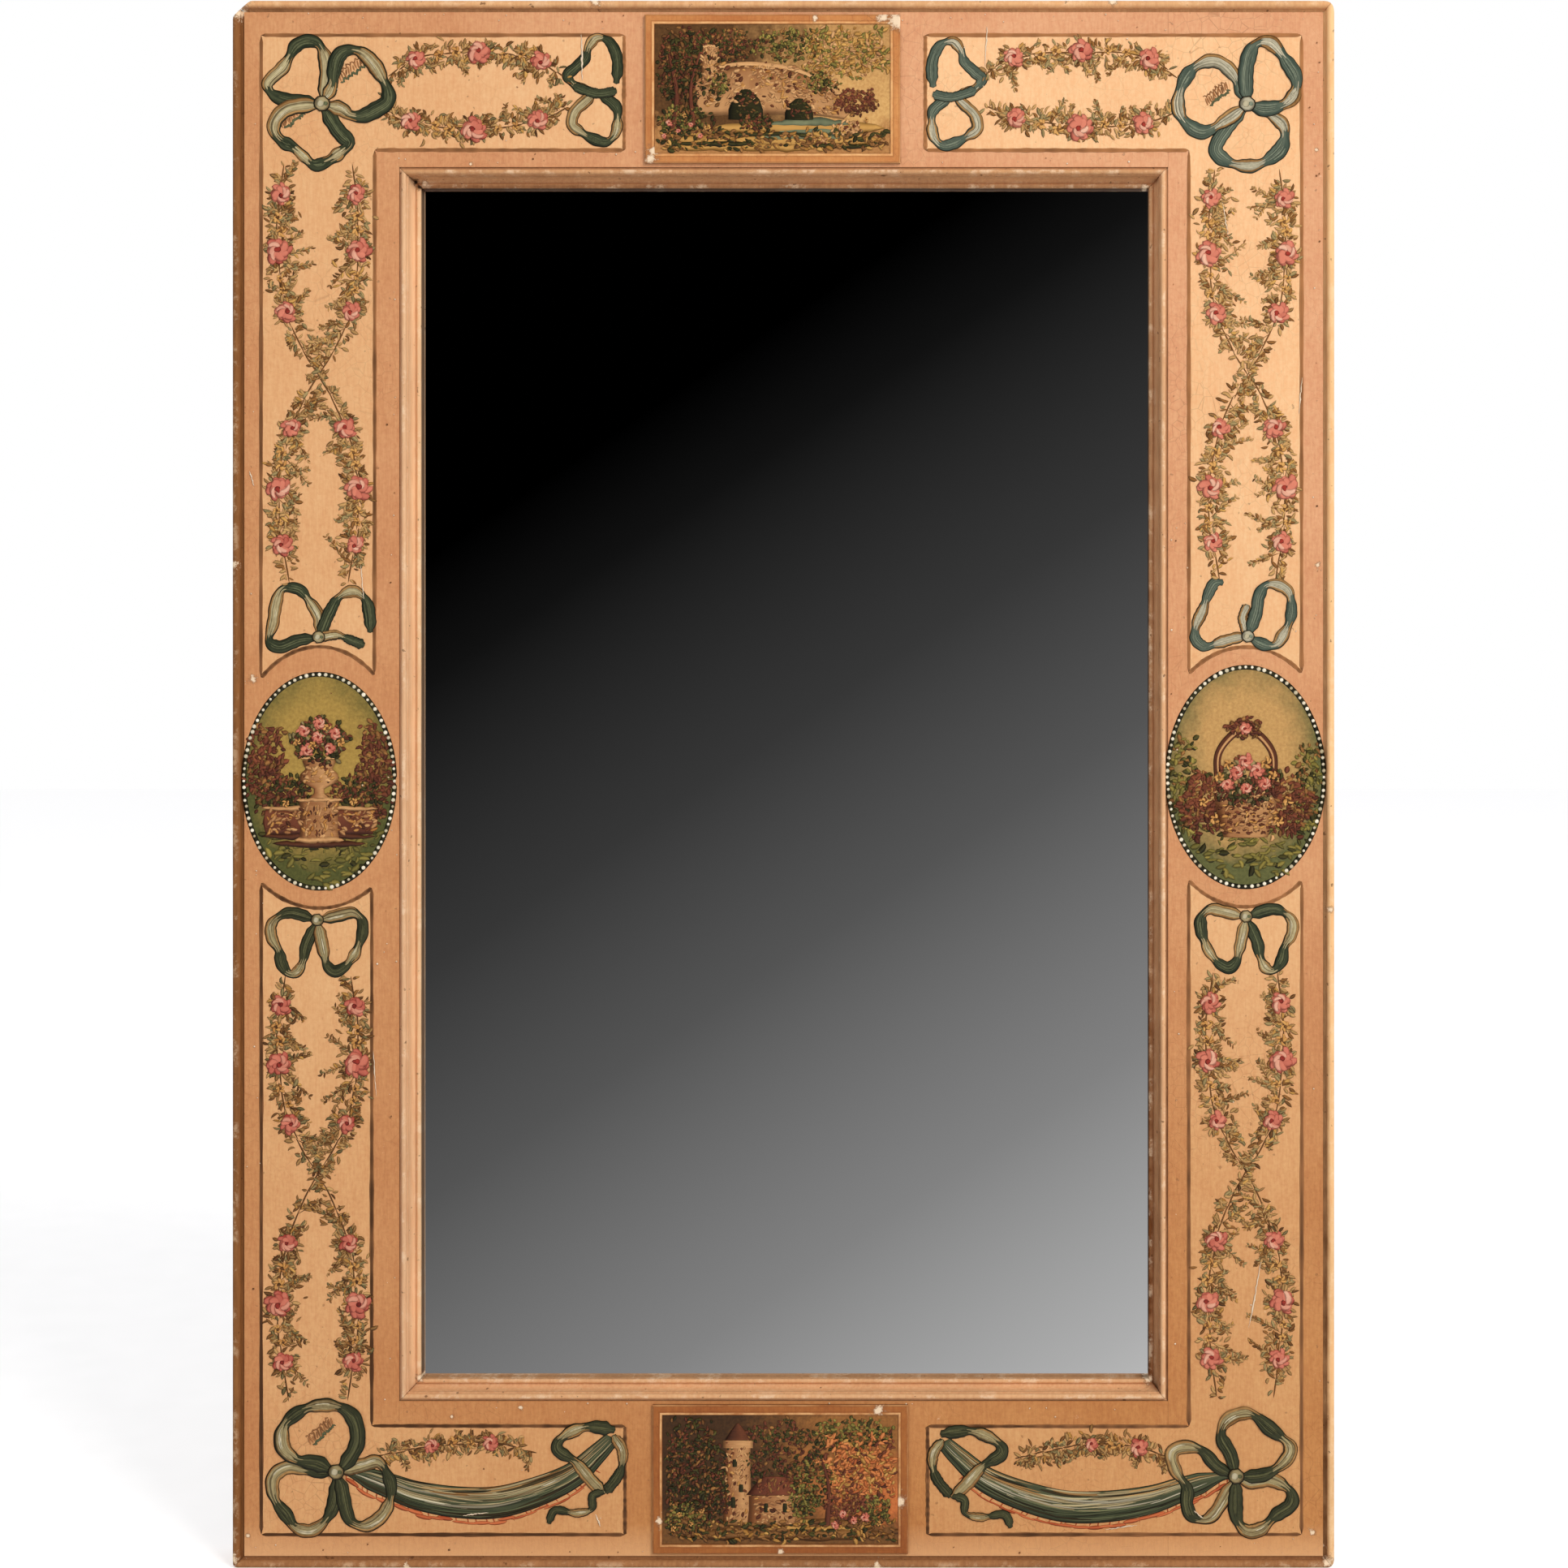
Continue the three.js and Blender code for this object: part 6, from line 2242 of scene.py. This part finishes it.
@dataclass
class Carcass:
    """Finishes for the CAD nodes that keep their shape."""

    pink: AgedPaint

    def dress(self) -> None:
        """Gives each carried-over node a material by the kind of piece it is."""
        chips = {"X": ((322, 10, 3), (329, 8, 2.4), (336, 12, 3), (-251, 98, 3), (-168, 102, 2),
                       (-212, 96, 2), (18, 898, 2), (-200, 896, 1.6)),
                 "Z": ((338, 22, 2.4), (-339, 567, 3), (-342, 20, 2), (341, 640, 2), (340, 905, 1.6))}
        boards = {way: PaintedBoard(f"painted_board_{way}", self.pink, BarePine("w", way), spots).make()
                  for way, spots in chips.items()}
        pine = {side: BarePine(f"old_pine_{side}", side).make() for side in "XYZ"}
        browns = (((186, 144, 96), (128, 88, 54)), ((204, 162, 112), (142, 100, 62)),
                  ((178, 134, 88), (120, 80, 48)))
        backs = [BarePine(f"back_pine_{n}", "Z", light, dark, shift=7.0 * n).make()
                 for n, (light, dark) in enumerate(browns)]
        finishes = {
            "stile": boards["Z"], "rail": boards["X"], "plaque_top": PLAQUE_TOP.border("plaque_border_top"),
            "plaque_bottom": PLAQUE_BOTTOM.border("plaque_border_bottom"), "mirror": self.mirror(),
            **{f"back_board_{n}": back for n, back in enumerate(backs, 1)},
            "back_nail": self.iron("nail_iron", 0.75), "corner_peg": pine["Y"],
            "hanger_strap": self.iron("strap_iron", 0.55), "hanger_screw": self.iron("screw_iron", 0.45),
            "hanger_ring": self.brass(), "glazing_block_top": pine["X"], "glazing_block_bottom": pine["X"],
            "": pine["Z"],  # the upright glazing blocks and the mouldings' hidden cores
        }
        for name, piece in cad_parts.items():
            finish = next(f for start, f in finishes.items() if name.startswith(start))
            piece.data.materials.clear()
            piece.data.materials.append(finish)

    def mirror(self) -> Material:
        """Silvered plate: bright metal in front, red-brown backing paint behind."""
        r = Recipe("silvered_plate")
        behind = r.maths("GREATER_THAN", r.axis("Y"), 0.0)
        foxing = r.ramp(r.noise(60, 5, 0.65), [(0.2, 1.0), (0.24, 0.0)])
        front = r.mix(r.times(foxing, 0.25), (252, 252, 252), (214, 208, 196))
        back = r.ramp(r.noise(140, 4), [(0.3, (86, 46, 32)), (0.7, (112, 62, 44))])
        return r.set(Base_Color=r.mix(behind, front, back),
                     Metallic=r.maths("SUBTRACT", 1.0, behind),
                     Roughness=r.line(behind, 0.6, 0.01))

    def iron(self, name: str, rust: float) -> Material:
        """Blackened iron with rust in patches.

        Args:
            name: the material's name.
            rust: how much of it is rusty, 0 to 1.

        Returns:
            The material.
        """
        r = Recipe(name)
        patch = r.ramp(r.noise(220, 6, 0.7), [(0.62 - 0.25 * rust, 0.0), (0.8 - 0.25 * rust, 1.0)])
        base = r.mix(patch, (74, 68, 62), (118, 66, 36))
        r.bump(r.noise(600, 4, 0.6), 0.0002)
        return r.set(Base_Color=base, Metallic=r.line(patch, -0.8, 0.9),
                     Roughness=r.line(patch, 0.35, 0.5))

    def brass(self) -> Material:
        """Brass wire, dull brown where it isn't rubbed."""
        r = Recipe("tarnished_brass")
        dull = r.ramp(r.noise(160, 5, 0.65), [(0.4, 0.0), (0.62, 1.0)])
        base = r.mix(dull, (214, 172, 96), (122, 88, 46))
        r.bump(r.noise(900, 2), 0.00005)
        return r.set(Base_Color=base, Metallic=1.0, Roughness=r.line(dull, 0.25, 0.28))


# ---------------- layout of the painted front


TREFOIL_LEFT = (
    Loop(((2.4, 14.5), (2.8, 24.9), (1.0, 32.5), (-2.8, 38.8), (-9.7, 40.5), (-16.6, 37.4),
          (-20.8, 30.5), (-25.6, 22.9), (-32.5, 16.6), (-35, 11.8), (-31.2, 6.2), (-23.5, 2.8),
          (-15.2, 2.1)), (0.3, 0.5, 0.72), False, 8.6),
    Loop(((8.3, -13.9), (12.5, -19.4), (17.3, -24.9), (11.1, -31.2), (2.8, -36.7), (-4.8, -38.8),
          (-11.1, -33.9), (-18, -27.7), (-25.6, -23.5), (-30.5, -17.3), (-29.8, -10.4), (-24.2, -4.2),
          (-15.9, -1.4)), (0.26, 0.36, 0.47, 0.55, 0.66), True, 9.4),
    Loop(((6.2, 11.1), (7.6, 21.5), (10.4, 30.5), (16.6, 34.6), (24.9, 33.2), (32.5, 26.3),
          (38.1, 17.3), (42.2, 8.3), (41.6, 1.4), (34.6, -3.5), (25.6, -7.6), (18, -6.9),
          (11.8, -2.8)), (0.12, 0.34, 0.56, 0.84), False, 9.4),
)
TREFOIL_RIGHT = (
    Loop(((-14.9, -17.5), (-20.1, -29.7), (-9.6, -37.6), (6.1, -38.5), (21, -28.8), (23.6, -14.9),
          (14, -6.1)), (0.4, 0.55, 0.74, 0.88), True, 8.8),
    Loop(((-9.6, 20.1), (-21.8, 28), (-35.8, 21.8), (-43.7, 6.1), (-42, -7.9), (-28.8, -17.5),
          (-13.1, -9.6)), (0.12, 0.36, 0.5, 0.64, 0.82), True, 9.0),
    Loop(((-0.9, 21.8), (4.4, 37.6), (14.9, 39.3), (25.3, 27.1), (31.5, 14.9), (27.1, 2.6),
          (13.1, -2.6)), (0.34, 0.5, 0.68, 0.8), True, 9.6),
)
TREFOIL_LOW_LEFT = (
    Loop(((-17.2, 0.9), (-30.9, 3.4), (-40.3, -3.4), (-39.4, -16.3), (-31.7, -27.4), (-25.7, -35.2),
          (-15.4, -36.9), (-6, -29.2), (-0.9, -17.2)), (0.14, 0.44, 0.58, 0.76), True, 8.6),
    Loop(((3.4, -9.4), (5.5, -20.6), (9.4, -30.9), (18.9, -34), (29.2, -27.4), (34.3, -17.2),
          (34.5, -6), (27.4, 6.5), (17.2, 5)), (0.3, 0.56, 0.72), True, 8.2),
    Loop(((6.9, 6.9), (13.7, 20.6), (10.3, 36), (-1.7, 42.9), (-18.9, 41.2), (-32.6, 30.9),
          (-34.3, 17.2), (-25.7, 8.6), (-12, 6)), (0.36, 0.5, 0.62, 0.82), True, 9.4),
)
TREFOIL_LOW_RIGHT = (
    Loop(((-12.2, 6.6), (-21.8, 16.6), (-33.2, 19.2), (-41.1, 14.9), (-38.5, 3.5), (-31.5, -7),
          (-31.5, -17.5), (-27.1, -26.2), (-14.9, -24.5)), (0.22, 0.5, 0.72), True, 8.0),
    Loop(((8.7, -3.1), (21.8, -1.7), (34.1, -8.7), (35, -17.5), (25.3, -24.5), (15.7, -33.2),
          (6.1, -34.1), (0, -24.5)), (0.3, 0.54, 0.74), False, 9.0),
    Loop(((-3.5, 14), (-9.6, 26.2), (-5.2, 36.7), (8.7, 40.5), (21.8, 30.6), (34.1, 20.1),
          (31.5, 10.5), (18.4, 1.7)), (0.24, 0.44, 0.62, 0.8), True, 8.6),
)
SIDE_BOW = (
    Loop(((12.5, 4.5), (13.4, 16.6), (12, 24.9), (7.4, 32.3), (0, 34.2), (-5, 28.6), (-7.4, 21.2),
          (-13.9, 14.8), (-18.5, 10.2), (-14.8, 4.6), (-7.4, 0.9)), (0.36, 0.52, 0.82), True, 6.8,
         tied=False),
    Loop(((-7.4, -6.5), (-13.9, -12.9), (-15.7, -21.2), (-10.2, -25.9), (-1.8, -30.5),
          (6.5, -32.3), (12, -26.8), (13.4, -17.5), (12, -9.2)), (0.4, 0.6, 0.76), False, 7.0),
    Loop(((-15, 3.5), (-7, 0.5), (2, -1.5), (13, 0.5)), (), True, 5.6, tied=False, shut=False),
)
OVAL_BOW_UPPER_LEFT = (
    Loop(((-12.9, -1.7), (-24.9, -6), (-31.7, -1.7), (-29.2, 9.4), (-27.4, 21.4), (-23.2, 30.9),
          (-12.9, 30.9), (-6, 23.2), (0, 12.9)), (0.32, 0.6, 0.76), True, 7.4),
    Loop(((2.6, 6), (6.9, 16.3), (12.9, 25.7), (22.3, 29.7), (30, 24), (32.6, 12.9), (32.9, 3)),
         (0.42, 0.66), True, 7.2, shut=False),
    Loop(((11.1, 1.7), (19.7, -1.2), (29.3, -5.1)), (0.5,), False, 5.8, shut=False),
)
OVAL_BOW_UPPER_RIGHT = (
    Loop(((-7.6, -0.7), (-17.8, -3.6), (-27.2, -6.2), (-33.4, -1.5), (-33, 7.3), (-29, 16.7),
          (-25.8, 26.1), (-21.4, 34.1), (-15.3, 34.8)), (0.3, 0.52, 0.76), False, 7.2, shut=False),
    Loop(((-2.5, 8), (-3.3, 13), (0, 20.6)), (), False, 5.6, shut=False),
    Loop(((5.4, 16), (6.9, 25.4), (11.2, 32.6), (18.5, 33.4), (25.8, 29), (27.9, 19.6),
          (26.5, 9.4), (22.1, 0.7), (17.8, -5.1), (10.5, -5.1)), (0.34, 0.52, 0.68, 0.84), True, 7.4),
)
OVAL_BOW_LOWER = (
    Loop(((-15.2, 4.8), (-23.5, 3.1), (-29.4, -2.8), (-29.1, -11.1), (-24.6, -19.4),
          (-22.8, -27.7), (-18, -33.9), (-12.5, -32.5), (-9, -24.9), (-6.9, -15.2)),
         (0.24, 0.46, 0.62, 0.74), True, 7.2),
    Loop(((14.5, 3.5), (22.8, 4.8), (28.4, 0), (28.7, -8.3), (26.3, -15.9), (23.5, -22.2),
          (18, -29.1), (11.1, -32.5), (6.2, -28.4), (4.2, -20.8)), (0.26, 0.44, 0.56, 0.76), False, 7.4),
)
SWAG = ((3, 1.5), (14, -1.5), (34.3, -8.6), (51.5, -14.6), (77.2, -18.9), (102.9, -18.9), (128.6, -12),
        (150.9, -1.7), (166.4, 12), (176.6, 22.3))
SWAG_END = (
    Loop(((176.6, 24), (182.7, 13.7), (180.9, 0), (171.5, -12.9)), (0.5,), False, 6.4,
         tied=False, shut=False),
    Loop(((178.4, 27.4), (159.5, 29.2), (144.1, 22.3), (141.5, 14.6), (152.6, 6.9), (162.9, -5.1),
          (171.5, -13.7)), (0.22, 0.42, 0.66), True, 8.0, tied=False, shut=False),
    Loop(((171, -12), (163.8, -14.6), (162.9, -23.2), (152.6, -25.7), (139.8, -24), (135.5, -32.6)),
         (0.36, 0.62), True, 5.0, tied=False, shut=False),
)


@dataclass
class PaintedFront:
    """Everything that the painter put on the boards."""

    brush: Material
    cream: Material
    oval_left: Pair = (-296.5, 501.8)
    oval_right: Pair = (295.0, 504.5)

    def panels(self) -> None:
        """The four cream panels with their brown lines."""
        left, right = self.oval_left, self.oval_right
        for panel in (
            CornerPanel("top_left", (-333.5, 978.2), (-261.1, 904.8), -101.9, left, (58, 86), seed=1),
            CornerPanel("top_right", (330.7, 978.2), (258.8, 904.8), 90.5, right, (60, 83), seed=2),
            CornerPanel("bottom_left", (-333.5, 20.8), (-263.0, 90.0), -101.3, left, (62, 81), seed=3),
            CornerPanel("bottom_right", (330.7, 20.8), (258.8, 90.0), 92.0, right, (60, 83), seed=4),
        ):
            panel.film(self.cream)
            panel.lines(self.brush)

    def swags(self) -> None:
        """The cloths in the two lower panels, with the ribbons at their far ends."""
        for name, knot, mirrored, stretch, seed in (("bottom_left", (-285.6, 60.4), False, 1.0, 1),
                                                    ("bottom_right", (288.9, 57.7), True, 1.06, 2)):
            mesh = Mesh()
            Swag(name, knot, SWAG, mirrored=mirrored, stretch=stretch, seed=seed).paint(mesh)
            Bow(name, knot, SWAG_END, DUSKY_SILK, mirrored, stretch, 0.0, lift=0.24, seed=seed).paint(mesh)
            mesh.build(f"swag_{name}", self.brush)

    def bows(self) -> None:
        """Corner bows, bows at the panels' ends and bows above and below the ovals."""
        for bow in (
            Bow("corner_top_left", (-294.7, 934.0), TREFOIL_LEFT, seed=1,
                laces=(((10, 16), (27, 29)), ((-26, -13), (-13, -3)))),
            Bow("corner_top_right", (296.0, 933.8), TREFOIL_RIGHT, SILVER_SILK, seed=2,
                laces=(((-26, 2), (-13, 12)),)),
            Bow("corner_bottom_left", (-285.6, 60.4), TREFOIL_LOW_LEFT, DUSKY_SILK, lift=0.2, seed=3,
                laces=(((-17, 20), (-3, 33)),)),
            Bow("corner_bottom_right", (288.9, 57.7), TREFOIL_LOW_RIGHT, DUSKY_SILK, lift=0.2, seed=4),
            Bow("side_top_left", (-119.4, 942.3), SIDE_BOW, knot_size=0, seed=5),
            Bow("side_top_right", (108.0, 940.0), SIDE_BOW, SILVER_SILK, mirrored=True, knot_size=0, seed=6),
            Bow("above_left_oval", (-296.8, 593.5), OVAL_BOW_UPPER_LEFT, knot_size=7.5, seed=7),
            Bow("above_right_oval", (296.4, 594.0), OVAL_BOW_UPPER_RIGHT, SILVER_SILK, knot_size=7.5, seed=8),
            Bow("below_left_oval", (-297.7, 412.9), OVAL_BOW_LOWER, DUSKY_SILK, knot_size=7.5, seed=9),
            Bow("below_right_oval", (295.2, 415.2), OVAL_BOW_LOWER, SILK, True, knot_size=7.5, seed=10),
        ):
            bow.build(self.brush)

    def upright_garlands(self) -> None:
        """Two crossing strands in each upright arm."""
        # The strands' tones are painted light: lighter on the right and darker in the lower arms.
        arms = (
            ("left_upper", -297.0, (896, 760.5, 628), 25.5, 0.52, 1),
            ("left_lower", -297.2, (378, 251.3, 106), 25.0, 0.3, 2),
            ("right_upper", 296.2, (893, 763, 630), 24.5, 0.72, 3),
            ("right_lower", 294.7, (380, 252.3, 108), 24.0, 0.5, 4),
        )
        for name, x, (top, cross, bottom), bulge, tone, seed in arms:
            mesh = Mesh()
            for side in (-1, 1):
                b = side * bulge
                up, down = top - cross, cross - bottom
                points = (
                    (x + 0.84 * b, top), (x + 1.02 * b, cross + 0.7 * up), (x + 0.86 * b, cross + 0.34 * up),
                    (x + 0.42 * b, cross + 0.13 * up), (x, cross), (x - 0.42 * b, cross - 0.14 * down),
                    (x - 0.86 * b, cross - 0.36 * down), (x - 1.0 * b, cross - 0.66 * down),
                    (x - 0.74 * b, bottom),
                )
                Garland(points, (0.07, 0.2, 0.34, 0.64, 0.78, 0.91), ((x, top), (x, bottom)), tone=tone,
                        thin=((0.485, 0.07),), seed=40 + 2 * seed + side).paint(mesh)
            mesh.build(f"garlands_{name}", self.brush)

    def level_garlands(self) -> None:
        """Two facing strands in each upper level arm, and a spray in each lower one."""
        arms = (
            ("top_left", 942.0, (
                ((-252, 952), (-234.2, 963.0), (-197.5, 967.4), (-160.3, 963.2), (-138, 950)),
                ((-258, 931), (-237.8, 922.8), (-197.5, 918.2), (-157.7, 923.9), (-138, 933)))),
            ("top_right", 942.0, (
                ((128, 953), (148.4, 964.5), (191.3, 967.8), (230, 964.3), (252, 951)),
                ((128, 932), (148.9, 925), (191.3, 919.2), (232, 922.4), (250, 929)))),
        )
        # The right arm's strands get a lighter tone: painted light.
        for number, (name, middle, strands) in enumerate(arms):
            mesh = Mesh()
            for strand, points in enumerate(strands):
                Garland(points, (0.17, 0.5, 0.83), ((points[0][0], middle), (points[-1][0], middle)),
                        inner=8.5, tone=0.46 + 0.18 * number, seed=60 + 2 * number + strand).paint(mesh)
            mesh.build(f"garlands_{name}", self.brush)
        sprays = (
            ("bottom_left", ((-262, 71), (-240, 75), (-224.9, 77.5), (-187.2, 79), (-158, 73.5)),
             (0.36, 0.72)),
            ("bottom_right", ((147.5, 69), (172, 75), (197.5, 78.6), (228.5, 76), (246, 70)), (0.5, 0.8)),
        )
        for number, (name, points, roses) in enumerate(sprays):
            mesh = Mesh()
            Garland(points, roses, ((points[0][0], 60), (points[-1][0], 60)), rose_size=5.2, inner=5.5,
                    outer=5.5, tone=0.36, seed=70 + number).paint(mesh)
            mesh.build(f"spray_{name}", self.brush)

    def ovals(self) -> None:
        """The two ovals with their pictures."""
        left = Oval("left", self.oval_left, (49.8, 70.0), seed=1)
        right = Oval("right", self.oval_right, (51.6, 71.8), seed=2)
        for oval, sky, rim in ((left, (170, 138, 66), (84, 86, 40)), (right, (196, 152, 92), (96, 98, 54))):
            oval.ground(OvalGround(f"oval_ground_{oval.name}", oval.middle, oval.radii, sky, rim).make())
        urn_garden(left, self.brush)
        flower_basket(right, self.brush)
        for oval in (left, right):
            oval.border_of_pearls(self.brush)

    def plaques(self) -> None:
        """The pictures in the two applied plaques."""
        top = PlaquePicture("top", PLAQUE_TOP.middle, seed=3)
        bottom = PlaquePicture("bottom", PLAQUE_BOTTOM.middle, seed=4)
        top.ground(PictureGround("plaque_ground_top", top.middle, (96, 64, 32), (194, 146, 88),
                                 (214, 166, 102), (182, 128, 74)).make())
        bottom.ground(PictureGround("plaque_ground_bottom", bottom.middle, (70, 44, 18), (150, 98, 46),
                                    (200, 112, 56), (116, 76, 34)).make())
        ruined_bridge(top, self.brush)
        evening_tower(bottom, self.brush)

    def build(self) -> None:
        """Paints the front, layer by layer."""
        self.panels()
        self.level_garlands()
        self.upright_garlands()
        self.swags()
        self.bows()
        self.ovals()
        self.plaques()
        Wear().build(self.brush)


def mouldings() -> None:
    """The outer and inner mouldings, swept smooth and painted side by side."""
    edge = MitredMoulding("edge_moulding", EdgeSection().points(), inset=0, corners=CORNERS, seed=5)
    # The glaze stops carry painted shade as well as glaze; the softer ones go on the left and bottom sides.
    places = (0.0, 0.36, 0.4, 0.455, 0.485, 0.535, 0.55)
    edge_glaze_and_shade = tuple(zip(places, (0.45, 0.35, 0.1, 0.1, 0.9, 0.8, 0.4)))
    soft_glaze_and_shade = tuple(zip(places, (0.1, 0.2, 0.1, 0.1, 0.35, 0.3, 0.2)))
    edge_rubbed = ((0.3, 0.1), (0.38, 0.4), (0.45, 0.3), (0.48, 0.0))
    # Painted light: each side's paint is a copy made lighter or darker, lightest on the right, then the top,
    # the bottom and the left.
    edge_paint_lit_and_shaded = {"left": ((144, 96, 56), soft_glaze_and_shade), "top": ((236, 180, 128), edge_glaze_and_shade),
                  "right": ((255, 204, 148), edge_glaze_and_shade), "bottom": ((176, 124, 82), soft_glaze_and_shade)}
    chips = ((-346, 993, 7), (-351, 6, 5), (347, 4, 5), (342, 14, 4), (-351, 640, 4), (349, 420, 3),
             (-120, 999, 4), (210, 999, 3), (60, 1, 4), (-240, 1, 3))
    for side in edge.sides():
        high, glaze_and_shade = edge_paint_lit_and_shaded[side.name]
        paint = MouldingPaint(f"edge_paint_lit_and_shaded_{side.name}", high, (112, 66, 30), (255, 224, 184), glaze_and_shade,
                              edge_rubbed, chips=chips, outside=(206, 150, 102))
        edge.build(side, paint.make())
    sight = MitredMoulding("sight_moulding", SightSection().points(), inset=106, seed=15)
    sight_rubbed = ((0.05, 0.0), (0.1, 0.5), (0.14, 0.2), (0.3, 0.0), (0.4, 0.4))
    low = (118, 70, 36)
    # Painted light and shade: each side's paint, glaze colour, depth and stops make lit copies on the left
    # and bottom and shaded ones on the top and right.
    sight_paint_lit_and_shaded = {
        "left": ((243, 197, 152), (186, 130, 98), 0.7, (
            (0.0, 0.75), (0.045, 0.7), (0.06, 0.62), (0.22, 0.5), (0.27, 0.3), (0.32, 0.05), (0.52, 0.0))),
        "top": ((214, 160, 114), low, 1.35, (
            (0.0, 0.35), (0.045, 0.35), (0.07, 0.1), (0.17, 0.1), (0.19, 0.5), (0.26, 0.24), (0.36, 0.1),
            (0.385, 0.1), (0.41, 0.95))),
        "right": ((232, 180, 134), low, 1.4, (
            (0.0, 0.6), (0.045, 0.6), (0.06, 0.0), (0.16, 0.0), (0.185, 0.6), (0.26, 0.42), (0.36, 0.38),
            (0.4, 0.8), (0.46, 1.0))),
        "bottom": ((234, 180, 132), low, 0.75, (
            (0.0, 0.45), (0.045, 0.45), (0.07, 0.1), (0.17, 0.05), (0.19, 0.3), (0.26, 0.1), (0.38, 0.1),
            (0.42, 0.05), (0.45, 0.5))),
    }
    chips = ((-231, 885, 3), (233, 118, 4), (-234, 119, 3), (231, 882, 3))
    gaps = ((-234.5, 882.5, 2.6), (-237, 886, 1.6))
    for side in sight.sides():
        high, hollow, depth, glaze_and_shade = sight_paint_lit_and_shaded[side.name]
        # The sight mouldings' walls towards the glass get painted shade, except at the bottom.
        paint = MouldingPaint(f"sight_paint_lit_and_shaded_{side.name}", high, hollow, (255, 230, 196), glaze_and_shade, sight_rubbed,
                              depth, chips, gaps, wall=1.0 if side.name == "bottom" else 0.452)
        sight.build(side, paint.make())


def main() -> None:
    """Builds the looks from the carcass outwards, then the studio."""
    # Each paint's first colour is where the painted light is strong, its second where it is weak; the second
    # also tints its stains.
    pink = AgedPaint("pink_ground", (231, 172, 130), (198, 136, 80), cloud=0.26)
    cream = AgedPaint("cream_panel", (250, 200, 150), (214, 158, 104), chips=0.25, cloud=0.22)
    Carcass(pink).dress()
    mouldings()
    PaintedFront(Brushwork().make(), cream.make()).build()
    Studio().build()


if __name__ == "__main__":
    main()
